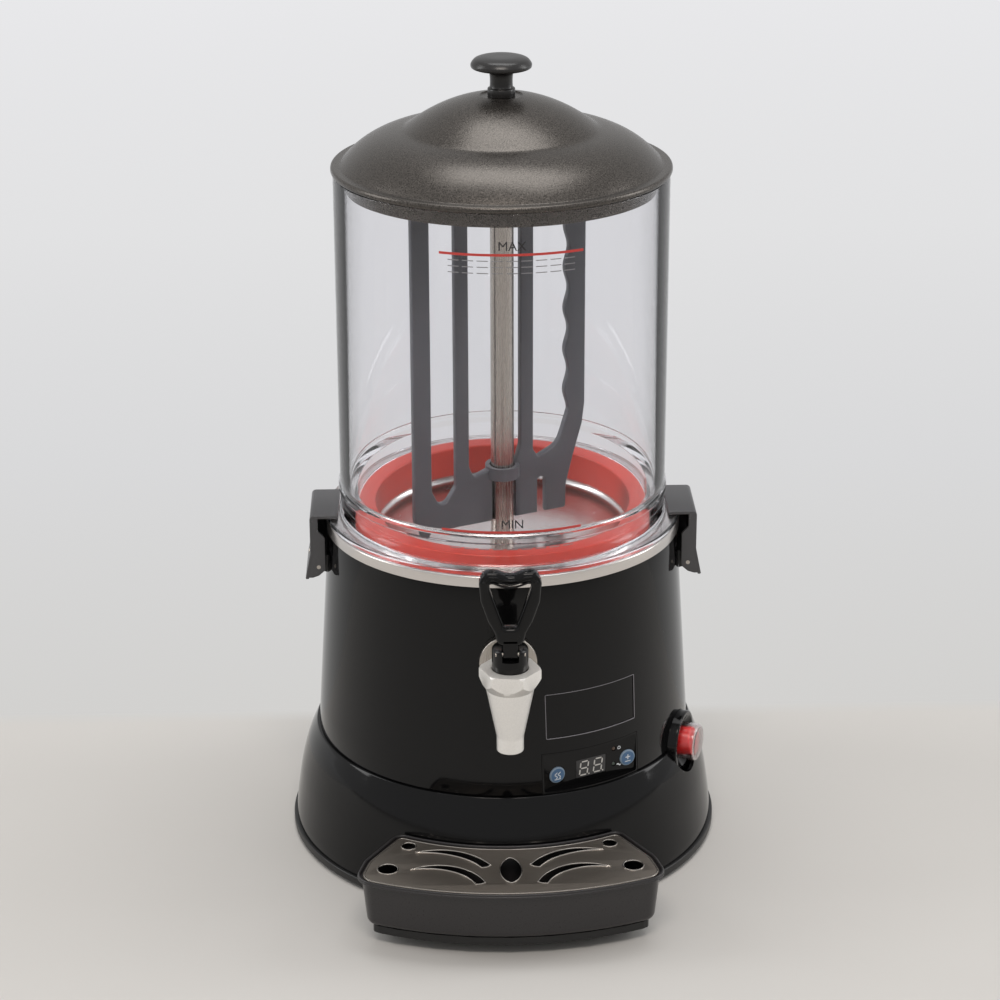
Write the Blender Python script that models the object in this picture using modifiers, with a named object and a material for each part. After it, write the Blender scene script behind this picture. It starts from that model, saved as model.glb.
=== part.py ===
"""Hot chocolate dispenser: a heated bowl with a clear tank, a stirrer, a tap and a drip tray.

Metres, +Z up. The origin is on the floor under the middle of the machine, and the front is -Y.
"""
import math

import bmesh
import bpy
from mathutils import Matrix, Vector

# Clearances and drawing steps
GAP = 0.0003
RUNNING_GAP = 0.0011
OVERRUN = 0.004
WELD = 0.00001
LARGE_STEPS = 48
MEDIUM_STEPS = 32
SMALL_STEPS = 24
TINY_STEPS = 12
ARC_STEPS = 4
SMOOTH_ANGLE = math.radians(32)
FULL_TURN = 2 * math.pi
QUARTER_TURN = math.pi / 2

# Base: feet, floor plate, ring
FOOT_RADIUS = 0.012
FOOT_PLATE_GAP_HEIGHT = 0.004
FOOT_STEM_RADIUS = 0.004
FOOT_STEM_RISE = 0.003
FOOT_INSET = 0.028
FOOT_COUNT = 4
PLATE_THICKNESS = 0.0015
VENT_RADIUS = 0.005
VENT_COUNT = 8
VENT_INSET = 0.055
RING_PROUD = 0.0022
RING_BOTTOM = 0.0025
RING_HEIGHT = 0.006
RING_WALL = 0.0037
RING_LEDGE = 0.0065

# Lower skirt: a flared shell. Heights are shares of its height, from the bottom; radii are shares of
# the flare, from its top radius to its bottom radius.
SKIRT_BOTTOM_RADIUS = 0.155
SKIRT_TOP_RADIUS = 0.138
SKIRT_HEIGHT = 0.0747
SHELL_WALL = 0.0025
SKIRT_FLANGE = 0.0075
SKIRT_PROFILE_SHARES = ((1.0, 0.0), (0.79, 0.394), (0.55, 0.68), (0.32, 0.85), (0.11, 0.97), (0.0, 1.0))

# Upper housing: a plain cone
HOUSING_BOTTOM_RADIUS = 0.1363
HOUSING_TOP_RADIUS = 0.1262
HOUSING_HEIGHT = 0.1545
HOUSING_SPIGOT_STEP = 0.0022
HOUSING_FLANGE = 0.013

# Badge recess in the upper housing
BADGE_AZIMUTH = math.radians(27)
BADGE_LENGTH = 0.0715
BADGE_HEIGHT = 0.033
BADGE_RISE = 0.0412
BADGE_DEPTH = 0.0013
BADGE_THICKNESS = 0.0005

# Control facia: a flat face at the bottom of a pocket, standing on the seam
PANEL_AZIMUTH = math.radians(26.6)
PANEL_LENGTH = 0.077
PANEL_HEIGHT = 0.0302
PANEL_RECESS = 0.006
PANEL_FACE_THICKNESS = 0.003
PANEL_CHEEK = 0.0012
BUTTON_RADIUS = 0.006
BUTTON_FLANGE = 0.0012
BUTTON_PROUD = 0.001
BUTTON_TRAVEL = 0.0008
BUTTON_STEM_RADIUS = 0.002
BUTTON_LEFT_PLACE = -0.0264
BUTTON_RIGHT_PLACE = 0.0306
CONTROL_RISE = 0.0119
WINDOW_LENGTH = 0.024
WINDOW_HEIGHT = 0.014
WINDOW_PLACE = 0.001
WINDOW_THICKNESS = 0.0015
MODULE_MARGIN = 0.002
LED_RADIUS = 0.0015
LED_PLACE = 0.0196
LED_UPPER_RISE = 0.0212
LED_LOWER_RISE = 0.0092
BOARD_DEPTH = 0.016
BOARD_THICKNESS = 0.0016
BOARD_MARGIN = 0.003
TACT_SIZE = 0.006
TACT_HEIGHT = 0.0035

# Power switch over the seam
SWITCH_AZIMUTH = math.radians(68.2)
BEZEL_RADIUS = 0.022
BEZEL_LENGTH = 0.013
BEZEL_PROUD = 0.0055
BEZEL_BORE = 0.0142
BEZEL_STEP_SHARE = 0.69
BEZEL_MOUTH_SHARE = 0.62
BOOT_RADIUS = 0.0135
BOOT_WALL = 0.0012
BOOT_REACH = 0.0108
BOOT_BEAD_LENGTH = 0.006
ROCKER_RADIUS = 0.0102
ROCKER_FRONT = 0.0068
ROCKER_BACK = 0.005
ROCKER_TILT = math.radians(8)
SWITCH_BODY_SIZE = 0.024
SWITCH_BODY_LENGTH = 0.020

# Bowl: band, seat, ridge, wall and floor of one steel sheet
BAND_OVERHANG = 0.0016
BAND_HEIGHT = 0.0079
SHEET = 0.0008
RIDGE_SETBACK = 0.0166
RIDGE_WIDTH = 0.003
RIDGE_HEIGHT = 0.0055
BOWL_DEPTH = 0.0205
BOWL_CORNER = 0.004
OUTLET_SETBACK = 0.022

# Seal: a soft ring of U section over the ridge
SEAL_OUTER_WIDTH = 0.0058
SEAL_INNER_WIDTH = 0.0075
SEAL_TOP = 0.0022
SEAL_INNER_DROP = 0.0135

# Tank
TANK_SETBACK = 0.0096
TANK_WALL = 0.004
TANK_HEIGHT = 0.2516
TANK_FLANGE_WIDTH = 0.0104
TANK_FLANGE_THICKNESS = 0.0032
TANK_COLLAR_HEIGHT = 0.0205
TANK_BEAD = 0.0012
TANK_BEAD_HEIGHT = 0.005

# Lid. Its two domes are superellipse-like crowns: height share = 1 - (radius share) ** power.
LID_OVERHANG = 0.0017
LID_RIM_HEIGHT = 0.0046
LID_CROWN_SETBACK = 0.0064
LID_OUTER_CROWN = 0.0262
LID_OUTER_POWER = 4.98
LID_INNER_CROWN_RADIUS = 0.0676
LID_INNER_CROWN = 0.0243
LID_INNER_POWER = 2.11
LID_WALL = 0.0024
LID_PLUG_CLEARANCE = 0.0026
LID_PLUG_DROP = 0.0107
LID_DISH_RADIUS = 0.015
LID_DISH_DEPTH = 0.0009
CROWN_SHARES = (1.0, 0.96, 0.9, 0.8, 0.68)
INNER_CROWN_SHARES = (1.0, 0.9, 0.75, 0.55, 0.35)

# Knob: radius shares of the cap radius and height shares of the knob height, from the top down
KNOB_RADIUS = 0.021
KNOB_HEIGHT = 0.0275
KNOB_PROFILE_SHARES = (
    (0.62, 0.985), (0.86, 0.93), (0.98, 0.83), (1.0, 0.76), (0.95, 0.70), (0.72, 0.655), (0.45, 0.60),
    (0.38, 0.50), (0.38, 0.24), (0.45, 0.18), (0.45, 0.0))
KNOB_BORE = 0.0023
KNOB_BORE_SHARE = 0.55
SCREW_RADIUS = 0.002
SCREW_HEAD_RADIUS = 0.0045
SCREW_HEAD_HEIGHT = 0.0028

# Water bath, heater, probe under the bowl
BATH_OVERHANG = 0.007
BATH_WALL = 0.001
BATH_DEPTH = 0.0798
BATH_FLANGE = 0.004
HEATER_RADIUS = 0.004
HEATER_RING_RADIUS = 0.075
HEATER_RISE = 0.012
HEATER_OPENING = math.radians(80)
HEATER_TAIL = 0.008
HEATER_STEPS = 20
PROBE_RADIUS = 0.003
PROBE_PLACE = 0.045
PROBE_RISE = 0.02
PROBE_TAIL = 0.008

# Riser tube, drive line, motor
TUBE_RADIUS = 0.0084
TUBE_WALL = 0.0014
TUBE_ABOVE_FLOOR = 0.249
TUBE_BELOW_BATH = 0.007
BUSH_LENGTH = 0.012
SHAFT_RADIUS = 0.003
COUPLING_RADIUS = 0.009
COUPLING_LENGTH = 0.020
COUPLING_SPIGOT_RADIUS = 0.004
COUPLING_SPIGOT_LENGTH = 0.012
COUPLING_BORE_SHARE = 0.7
COUPLING_CLEARANCE = 0.004
GEARBOX_LENGTH = 0.070
GEARBOX_WIDTH = 0.056
GEARBOX_HEIGHT = 0.025
GEARBOX_OVERLAP = 0.008
MOTOR_RADIUS = 0.027
MOTOR_LENGTH = 0.058
BRACKET_LENGTH = 0.100
BRACKET_WIDTH = 0.070
BRACKET_SHEET = 0.002
BRACKET_FOOT = 0.014

# Stirrer paddle: a flat plate. Places across it are shares of its reach, heights in the web are shares
# of the web height, and wave places are worked out below.
PADDLE_TURN = math.radians(23.4)
PADDLE_REACH = 0.0703
PADDLE_THICKNESS = 0.006
PADDLE_FLOOR_GAP = 0.0105
PADDLE_WEB = 0.0445
PADDLE_TOP_CLEARANCE = 0.0015
PADDLE_CROSSBAR = 0.0125
PADDLE_HUB_RADIUS = 0.011
PADDLE_HUB_PROUD = 0.0005
PADDLE_RING_WALL = 0.003
PADDLE_RING_HEIGHT = 0.009
PADDLE_RING_SHARE = 0.725
PADDLE_OUTLINE_SHARES = (
    (-1.0, 0.0, 0.17), (0.3855, 0.0, 0.0), (0.3855, 0.607, 0.046), (0.479, 0.607, 0.046), (0.479, 0.0, 0.0),
    (0.714, 0.0, 0.03), (0.72, 0.40, 0.1), (0.802, 0.87, 0.1), (0.9075, 1.40, 0.2), (0.936, 1.74, 0.2))
LEFT_GAP_SHARES = ((-0.808, 0.70, 0.08), (-0.700, 0.34, 0.08), (-0.538, 0.70, 0.08))
MIDDLE_GAP_SHARES = (
    (-0.390, 1.0, 0.1), (-0.339, 0.80, 0.05), (-0.112, 0.92, 0.1), (0.120, 0.90, 0.1),
    (0.156, 1.03, 0.03), (0.192, 1.22, 0.03))
RIGHT_GAP_SHARES = ((0.337, 1.10, 0.05), (0.395, 0.96, 0.03), (0.623, 1.115, 0.2), (0.684, 1.378, 0.1),
                    (0.745, 1.66, 0.03))
GAP_CORNER_SHARE = 0.08
WAVE_EDGE_SHARE = 0.7226
WAVE_SHARE = 0.0228
WAVE_COUNT = 5.5
WAVE_STEPS = 6
NUT_RADIUS = 0.009
NUT_HEIGHT = 0.008
NUT_SOCKET_SHARE = 0.6

# Tap: its neck is the free length between the housing's foot and the collar, and its drop is
# measured from the housing's top
TAP_NECK = 0.0163
TAP_DROP = 0.0533
TAP_CHAMBER_RADIUS = 0.01625
TAP_SPOUT_RADIUS = 0.00925
TAP_CONE_HEIGHT = 0.035
TAP_SPOUT_LENGTH = 0.0105
TAP_COLLAR_RADIUS = 0.0214
TAP_COLLAR_HEIGHT = 0.0148
TAP_COLLAR_TURN = math.radians(-8)
TAP_COLLAR_CHAMFER = 0.005
TAP_SHANK_RADIUS = 0.009
TAP_SHANK_BORE = 0.0065
TAP_SPOUT_BORE = 0.0074
TAP_THROAT_RADIUS = 0.0045
TAP_THROAT_HEIGHT = 0.003
TAP_THREAD_DEPTH = 0.0128
WASHER_RADIUS = 0.020
WASHER_THICKNESS = 0.0045
LOCKNUT_RADIUS = 0.0156
LOCKNUT_THICKNESS = 0.006
BONNET_RADIUS = 0.0123
BONNET_RISE = 0.016
BONNET_SLOT = 0.0112
LEVER_PIVOT_AHEAD = 0.0065
LEVER_PIVOT_RISE = 0.0125
LEVER_PIN_RADIUS = 0.0015
LEVER_PIN_INSET = 0.0004
LEVER_LOBE_RADIUS = 0.0032
LEVER_TONGUE = 0.010
LEVER_TONGUE_THICKNESS = 0.0055
LEVER_HOOD_GAP = 0.003
LEVER_HEIGHT = 0.0538
LEVER_HALF_WIDTH = 0.0209
LEVER_THICKNESS = 0.010
LEVER_FINGER_RADIUS = 0.0011
STEM_RADIUS = 0.0016
STEM_HEAD_RADIUS = 0.0034
STEM_HEAD_HEIGHT = 0.002
SEAT_RADIUS = 0.0072
SEAT_HEIGHT = 0.004
SPRING_RADIUS = 0.0046
SPRING_WIRE_RADIUS = 0.0006
SPRING_TURNS = 4
SPRING_TURN_STEPS = 10
# Lever outline: width shares of the half width, height shares of the height, corner radius shares
LEVER_OUTLINE_SHARES = (
    (0.40, 0.0, 0.35), (0.50, 0.17, 0.3), (0.72, 0.335, 0.6), (0.95, 0.60, 0.5), (1.0, 0.85, 0.3),
    (0.86, 1.0, 0.35), (0.42, 0.99, 0.3))
LEVER_DIP_SHARES = (0.0, 0.93, 0.5)
LEVER_WINDOW_SHARES = ((0.20, 0.245, 0.15), (0.64, 0.75, 0.2), (0.68, 0.836, 0.08))
PIPE_BORE = 0.0075
PIPE_BEND = 0.014

# Side clamps. Height is the top plate's top over the tank flange; places are from the clamp's pin.
CLAMP_WIDTH = 0.053
CLAMP_SHEET = 0.0025
CLAMP_PIN_OUT = 0.0049
CLAMP_PIN_DROP = 0.025
CLAMP_OUTER = 0.0058
CLAMP_FLARE = 0.004
CLAMP_FLARE_HEIGHT = 0.020
CLAMP_BELOW_PIN = 0.0093
CLAMP_TIP_INSET = 0.0014
CLAMP_WEB_INNER = 0.0049
CLAMP_WEB_BELOW = 0.0068
CLAMP_WEB_TOP_DROP = 0.0105
CLAMP_PIN_RADIUS = 0.0015
CLAMP_BOSS_RADIUS = 0.0037
CLAMP_LUG_WIDTH = 0.040
CLAMP_LUG_HEIGHT = 0.016
CLAMP_LUG_ROOT = 0.006

# Drip tray: its back follows the skirt, its front is a wide arc. Corners are shares of the half width
# and of the depth, counted from the back, with radii as shares of the half width.
TRAY_HALF_WIDTH = 0.1081
TRAY_DEPTH = 0.0708
TRAY_CLEARANCE = 0.0019
TRAY_RIM_TOP = 0.053
TRAY_BOTTOM = 0.015
TRAY_RIM_HEIGHT = 0.003
TRAY_RIM_WALL = 0.002
TRAY_LEDGE_DROP = 0.0023
TRAY_WALL_INSET = 0.003
TRAY_WALL = 0.002
TRAY_TAPER = 0.0035
TRAY_BACK_CORNER_SHARES = (0.72, -0.304, 0.075)
TRAY_SIDE_CORNER_SHARES = (0.934, 0.24, 0.28)
TRAY_FRONT_CORNER_SHARES = (1.0, 0.644, 0.14)
TRAY_ARC_STEPS = 8
TRAY_CORNER_STEPS = 3
GRID_THICKNESS = 0.001
GRID_GAP = 0.0018
SUPPORT_INSET = 0.010
SUPPORT_SHOULDER = 0.0174
GRID_BACK_HOLE_RADIUS = 0.0052
GRID_FRONT_HOLE_RADIUS = 0.0071
GRID_BACK_HOLE_SHARES = (0.650, -0.037)
GRID_FRONT_HOLE_SHARES = (0.783, 0.417)
# Crescents: outer tip, crown and inner end as shares; thickness share of the half width
CRESCENT_SHARES = (
    ((0.604, 0.095), (0.384, 0.107), (0.155, 0.395)),
    ((0.637, 0.434), (0.398, 0.417), (0.196, 0.726)))
CRESCENT_THICKNESS_SHARE = 0.066
CRESCENT_STEPS = 8
LEAF_CENTRE_SHARE = 0.474
LEAF_HALF_LENGTH = 0.0175
LEAF_HALF_WIDTH = 0.0076
LEAF_STEPS = 6

# Power inlet at the back
INLET_RISE = 0.0412
INLET_LENGTH = 0.030
INLET_HEIGHT = 0.024
INLET_DEPTH = 0.026
INLET_SOCKET_LENGTH = 0.0238
INLET_SOCKET_HEIGHT = 0.0164
INLET_SOCKET_DEPTH = 0.016
INLET_PIN_LENGTH = 0.012
INLET_PIN_WIDTH = 0.004
INLET_PIN_THICKNESS = 0.002
INLET_PIN_SPREAD = 0.007
INLET_SINK = 0.0015

# Radii of the stack, from the housing's top inwards
TANK_OUTER_RADIUS = HOUSING_TOP_RADIUS - TANK_SETBACK
TANK_FLANGE_RADIUS = TANK_OUTER_RADIUS + TANK_FLANGE_WIDTH
RIDGE_OUTER_RADIUS = TANK_OUTER_RADIUS - RIDGE_SETBACK
SEAL_OUTER_RADIUS = RIDGE_OUTER_RADIUS + SEAL_OUTER_WIDTH
SEAL_INNER_RADIUS = RIDGE_OUTER_RADIUS - SEAL_INNER_WIDTH
OUTLET_PLACE = RIDGE_OUTER_RADIUS - OUTLET_SETBACK
BATH_RADIUS = RIDGE_OUTER_RADIUS + BATH_OVERHANG
LID_RADIUS = TANK_OUTER_RADIUS + LID_OVERHANG
LID_OUTER_CROWN_RADIUS = LID_RADIUS - LID_CROWN_SETBACK
LID_PLUG_RADIUS = TANK_OUTER_RADIUS - TANK_WALL - LID_PLUG_CLEARANCE

# Heights of the stack, from the floor up
PLATE_BOTTOM = FOOT_PLATE_GAP_HEIGHT
PLATE_TOP = PLATE_BOTTOM + PLATE_THICKNESS
RING_TOP = RING_BOTTOM + RING_HEIGHT
SKIRT_BOTTOM = RING_TOP + GAP
SKIRT_TOP = SKIRT_BOTTOM + SKIRT_HEIGHT
RING_OUTER_RADIUS = SKIRT_BOTTOM_RADIUS + RING_PROUD
HOUSING_BOTTOM = SKIRT_TOP + GAP
HOUSING_TOP = HOUSING_BOTTOM + HOUSING_HEIGHT
BAND_BOTTOM = HOUSING_TOP + GAP
BAND_TOP = BAND_BOTTOM + BAND_HEIGHT
TANK_BOTTOM = BAND_TOP + GAP
TANK_TOP = TANK_BOTTOM + TANK_HEIGHT
FLANGE_TOP = TANK_BOTTOM + TANK_FLANGE_THICKNESS
LID_BOTTOM = TANK_TOP + GAP
BOWL_FLOOR = BAND_TOP - BOWL_DEPTH
BATH_TOP = BAND_TOP - SHEET - GAP
BATH_BOTTOM = BATH_TOP - BATH_DEPTH
TUBE_TOP = BOWL_FLOOR + TUBE_ABOVE_FLOOR
TUBE_BOTTOM = BATH_BOTTOM - TUBE_BELOW_BATH
TUBE_BORE = TUBE_RADIUS - TUBE_WALL
TAP_HEIGHT = HOUSING_TOP - TAP_DROP
TAP_REACH = HOUSING_BOTTOM_RADIUS + TAP_NECK + TAP_COLLAR_RADIUS
TAP_COLLAR_TOP = TAP_HEIGHT + TAP_COLLAR_HEIGHT + GAP * 3
TAP_SPOUT_BOTTOM = TAP_HEIGHT - TAP_CONE_HEIGHT - TAP_SPOUT_LENGTH
TAP_THREAD_BOTTOM = TAP_COLLAR_TOP - TAP_THREAD_DEPTH
TAP_THROAT_TOP = TAP_HEIGHT - TAP_CONE_HEIGHT * 0.68
BONNET_TOP = TAP_COLLAR_TOP + BONNET_RISE
LEVER_PIVOT = Vector((0, -TAP_REACH - LEVER_PIVOT_AHEAD, TAP_COLLAR_TOP + LEVER_PIVOT_RISE))
PANEL_DISTANCE = HOUSING_BOTTOM_RADIUS - PANEL_RECESS - SHELL_WALL * 0.5
SWITCH_FACE = SKIRT_TOP_RADIUS + BEZEL_PROUD - SHELL_WALL

PARTS = "hot_chocolate_dispenser"
CUTTERS = "cutters"


# Scene and materials

def clear_scene():
    for obj in list(bpy.data.objects):
        bpy.data.objects.remove(obj, do_unlink=True)


def collection(name):
    found = bpy.data.collections.get(name)
    if found is None:
        found = bpy.data.collections.new(name)
        bpy.context.scene.collection.children.link(found)
    return found


def material(name, colour, roughness, metallic=0.0, alpha=1.0):
    made = bpy.data.materials.new(name)
    made.use_nodes = True
    shader = made.node_tree.nodes["Principled BSDF"]
    shader.inputs["Base Color"].default_value = (*colour, 1.0)
    shader.inputs["Roughness"].default_value = roughness
    shader.inputs["Metallic"].default_value = metallic
    shader.inputs["Alpha"].default_value = alpha
    made.diffuse_color = (*colour, alpha)
    return made


FINISHES = {
    "black_gloss": ((0.012, 0.012, 0.014), 0.12, 0.0),
    "black_matt": ((0.03, 0.03, 0.032), 0.55, 0.0),
    "lid_grey": ((0.075, 0.07, 0.06), 0.35, 0.3),
    "steel": ((0.62, 0.60, 0.57), 0.28, 1.0),
    "tap_silver": ((0.60, 0.60, 0.60), 0.35, 0.9),
    "stirrer_grey": ((0.08, 0.09, 0.10), 0.5, 0.0),
    "seal_red": ((0.66, 0.05, 0.025), 0.45, 0.0),
    "tray_grey": ((0.042, 0.039, 0.043), 0.4, 0.0),
    "clamp_grey": ((0.07, 0.07, 0.072), 0.6, 0.0),
    "clear": ((0.9, 0.92, 0.93), 0.08, 0.0, 0.3),
    "rubber": ((0.02, 0.02, 0.02), 0.85, 0.0),
    "brass": ((0.70, 0.50, 0.22), 0.35, 1.0),
    "button_blue": ((0.07, 0.15, 0.27), 0.35, 0.0),
    "rocker_red": ((0.65, 0.02, 0.02), 0.3, 0.0),
    "window_smoke": ((0.05, 0.05, 0.055), 0.15, 0.0),
    "board_green": ((0.02, 0.12, 0.05), 0.5, 0.0),
    "motor_grey": ((0.30, 0.30, 0.31), 0.4, 0.8),
    "nylon": ((0.75, 0.74, 0.70), 0.5, 0.0),
}


def dress(obj, finish):
    obj.data.materials.clear()
    obj.data.materials.append(material(obj.name, *FINISHES[finish]))
    obj.data.shade_smooth()
    obj.data.set_sharp_from_angle(angle=SMOOTH_ANGLE)
    return obj


# Shape helpers

def add_object(name, mesh, group=PARTS):
    obj = bpy.data.objects.new(name, mesh)
    collection(group).objects.link(obj)
    if group == CUTTERS:
        obj.hide_render = True
        obj.display_type = 'WIRE'
    return obj


def turned(name, profile, steps, group=PARTS, base=0.0, closed=True):
    """Turns a profile of (radius, height) points about Z. base is the height of the object's origin."""
    mesh = bpy.data.meshes.new(name)
    points = [(radius, 0, height - base) for radius, height in profile]
    edges = [(i, i + 1) for i in range(len(points) - 1)]
    if closed:
        edges.append((len(points) - 1, 0))
    edges = [(a, b) for a, b in edges if points[a][0] > 0 or points[b][0] > 0]
    mesh.from_pydata(points, edges, [])
    obj = add_object(name, mesh, group)
    obj.location.z = base
    screw = obj.modifiers.new("turn", 'SCREW')
    screw.axis = 'Z'
    screw.angle = FULL_TURN
    screw.steps = steps
    screw.render_steps = steps
    screw.use_merge_vertices = True
    screw.merge_threshold = WELD
    return obj


def walled(obj, wall):
    """Gives an open turned surface its wall, on the inner side."""
    solid = obj.modifiers.new("wall", 'SOLIDIFY')
    solid.thickness = wall
    solid.offset = -1
    solid.use_even_offset = True
    return obj


def boolean(obj, other, operation):
    change = obj.modifiers.new(operation.lower(), 'BOOLEAN')
    change.operation = operation
    change.solver = 'EXACT'
    change.object = other
    return obj


def cut(obj, *cutters):
    for cutter in cutters:
        boolean(obj, cutter, 'DIFFERENCE')
    return obj


def join(obj, *others):
    for other in others:
        boolean(obj, other, 'UNION')
    return obj


def keep_inside(obj, *others):
    for other in others:
        boolean(obj, other, 'INTERSECT')
    return obj


def box(name, low, high, group=CUTTERS):
    """A block between two corners, with its origin at its centre."""
    low, high = Vector(low), Vector(high)
    form = bmesh.new()
    bmesh.ops.create_cube(form, size=1)
    bmesh.ops.scale(form, vec=high - low, verts=form.verts)
    mesh = bpy.data.meshes.new(name)
    form.to_mesh(mesh)
    form.free()
    obj = add_object(name, mesh, group)
    obj.location = (low + high) / 2
    return obj


def cylinder(name, radius, start, end, steps=SMALL_STEPS, group=CUTTERS):
    """A round bar from one point to another."""
    start, end = Vector(start), Vector(end)
    form = bmesh.new()
    bmesh.ops.create_cone(form, cap_ends=True, segments=steps, radius1=radius, radius2=radius,
                          depth=(end - start).length)
    mesh = bpy.data.meshes.new(name)
    form.to_mesh(mesh)
    form.free()
    obj = add_object(name, mesh, group)
    obj.location = (start + end) / 2
    obj.rotation_euler = (end - start).to_track_quat('Z', 'Y').to_euler()
    return obj


def as_mesh(obj):
    """Turns a curve into a closed mesh with its caps welded on."""
    bpy.context.view_layer.update()
    graph = bpy.context.evaluated_depsgraph_get()
    mesh = bpy.data.meshes.new_from_object(obj.evaluated_get(graph))
    form = bmesh.new()
    form.from_mesh(mesh)
    bmesh.ops.remove_doubles(form, verts=form.verts, dist=WELD)
    bmesh.ops.recalc_face_normals(form, faces=form.faces)
    form.to_mesh(mesh)
    form.free()
    name, group = obj.name, obj.users_collection[0].name
    place = obj.matrix_world.copy()
    bpy.data.objects.remove(obj, do_unlink=True)
    made = add_object(name, mesh, group)
    made.matrix_world = place
    return made


def outline_plate(name, loops, thickness, place, group=PARTS):
    """A flat outline with holes, extruded to both sides of its plane. place is its matrix."""
    curve = bpy.data.curves.new(name, 'CURVE')
    curve.dimensions = '2D'
    curve.fill_mode = 'BOTH'
    curve.extrude = thickness / 2
    for loop in loops:
        spline = curve.splines.new('POLY')
        spline.points.add(len(loop) - 1)
        for point, (across, up) in zip(spline.points, loop):
            point.co = (across, up, 0, 1)
        spline.use_cyclic_u = True
    obj = bpy.data.objects.new(name, curve)
    collection(group).objects.link(obj)
    obj.matrix_world = place
    return as_mesh(obj)


def rod_along(name, points, radius, resolution, group=PARTS, origin=(0, 0, 0)):
    """A round rod along a path of points."""
    curve = bpy.data.curves.new(name, 'CURVE')
    curve.dimensions = '3D'
    curve.bevel_depth = radius
    curve.bevel_resolution = resolution
    curve.use_fill_caps = True
    spline = curve.splines.new('POLY')
    spline.points.add(len(points) - 1)
    for point, place in zip(spline.points, points):
        point.co = (*(Vector(place) - Vector(origin)), 1)
    obj = bpy.data.objects.new(name, curve)
    collection(group).objects.link(obj)
    obj.location = origin
    return as_mesh(obj)


def lofted(name, rows, group=PARTS):
    """Joins rows of equally many points, closed at both ends. The rows run round, one above another."""
    form = bmesh.new()
    made = [[form.verts.new(point) for point in row] for row in rows]
    count = len(rows[0])
    for lower, upper in zip(made, made[1:]):
        for i in range(count):
            j = (i + 1) % count
            form.faces.new((lower[i], lower[j], upper[j], upper[i]))
    form.faces.new(list(reversed(made[0])))
    form.faces.new(made[-1])
    bmesh.ops.recalc_face_normals(form, faces=form.faces)
    mesh = bpy.data.meshes.new(name)
    form.to_mesh(mesh)
    form.free()
    return add_object(name, mesh, group)


def rounded(corners, steps=ARC_STEPS):
    """Rounds the corners of a closed outline. Each corner is (x, y, radius)."""
    points = []
    count = len(corners)
    for i, (x, y, radius) in enumerate(corners):
        corner = Vector((x, y))
        before = Vector(corners[i - 1][:2]) - corner
        after = Vector(corners[(i + 1) % count][:2]) - corner
        half = before.angle(after) / 2
        if radius <= 0 or half > QUARTER_TURN * 0.98:
            points.append((x, y))
            continue
        reach = min(radius / math.tan(half), before.length * 0.45, after.length * 0.45)
        true_radius = reach * math.tan(half)
        centre = corner + (before.normalized() + after.normalized()).normalized() * (
            true_radius / math.sin(half))
        first = corner + before.normalized() * reach - centre
        last = corner + after.normalized() * reach - centre
        sweep = first.angle_signed(last)
        for step in range(steps + 1):
            turn = Matrix.Rotation(-sweep * step / steps, 2)
            points.append(tuple(centre + turn @ first))
    return points


def upright(x=0.0, y=0.0, z=0.0, turn=0.0):
    """The matrix of an outline that stands upright: its X runs across, its Y runs up."""
    return Matrix.Translation((x, y, z)) @ Matrix.Rotation(turn, 4, 'Z') @ Matrix.Rotation(
        QUARTER_TURN, 4, 'X')


def side_on(x=0.0, y=0.0, z=0.0):
    """The matrix of an outline seen from the side: its X runs to +Y, its Y runs up."""
    return Matrix.Translation((x, y, z)) @ Matrix.Rotation(QUARTER_TURN, 4, 'Z') @ Matrix.Rotation(
        QUARTER_TURN, 4, 'X')


def around(azimuth, distance, height=0.0, across=0.0):
    """The point at a distance from the axis in the direction azimuth, which is 0 at the front."""
    outward = Vector((math.sin(azimuth), -math.cos(azimuth), 0))
    sideways = Vector((math.cos(azimuth), math.sin(azimuth), 0))
    return outward * distance + sideways * across + Vector((0, 0, height))


def turned_out(name, profile, steps, azimuth, distance, height, group=PARTS, across=0.0):
    """A turned piece whose axis points out of the machine. Profile heights are measured outward."""
    obj = turned(name, profile, steps, group)
    obj.location = around(azimuth, distance, height, across)
    obj.rotation_euler = (QUARTER_TURN, 0, azimuth)
    return obj


def panel_box(name, azimuth, across, depth, height, group=CUTTERS):
    """A block in a panel's own frame: spans of places across, distances from the axis and heights."""
    obj = box(name, (across[0], -depth[1], height[0]), (across[1], -depth[0], height[1]), group)
    obj.location = around(azimuth, sum(depth) / 2, sum(height) / 2, sum(across) / 2)
    obj.rotation_euler.z = azimuth
    return obj


def pivot(name, place):
    """An empty on a joint's axis, which carries what moves with the joint."""
    empty = bpy.data.objects.new(name, None)
    collection(PARTS).objects.link(empty)
    empty.location = place
    return empty


def carry(empty, *pieces):
    for piece in pieces:
        piece.parent = empty
        piece.matrix_parent_inverse = Matrix.Translation(empty.location).inverted()


# Radii of the outer faces at a height

def skirt_radius(height):
    share = (height - SKIRT_BOTTOM) / SKIRT_HEIGHT
    flare = SKIRT_BOTTOM_RADIUS - SKIRT_TOP_RADIUS
    table = SKIRT_PROFILE_SHARES
    for (high, narrow), (low, wide) in zip(table, table[1:]):
        if share >= low:
            between = (share - low) / (high - low)
            return SKIRT_TOP_RADIUS + flare * (wide + (narrow - wide) * between)
    return SKIRT_BOTTOM_RADIUS


def housing_radius(height):
    share = (height - HOUSING_BOTTOM) / HOUSING_HEIGHT
    return HOUSING_BOTTOM_RADIUS + (HOUSING_TOP_RADIUS - HOUSING_BOTTOM_RADIUS) * share


def housing_form(name, offset):
    """The housing's outside as a full solid, larger all round by offset."""
    top, bottom = HOUSING_TOP + OVERRUN, HOUSING_BOTTOM - OVERRUN
    profile = [(0, top), (housing_radius(top) + offset, top), (housing_radius(bottom) + offset, bottom),
               (0, bottom)]
    return turned(name, profile, LARGE_STEPS, CUTTERS)


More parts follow.
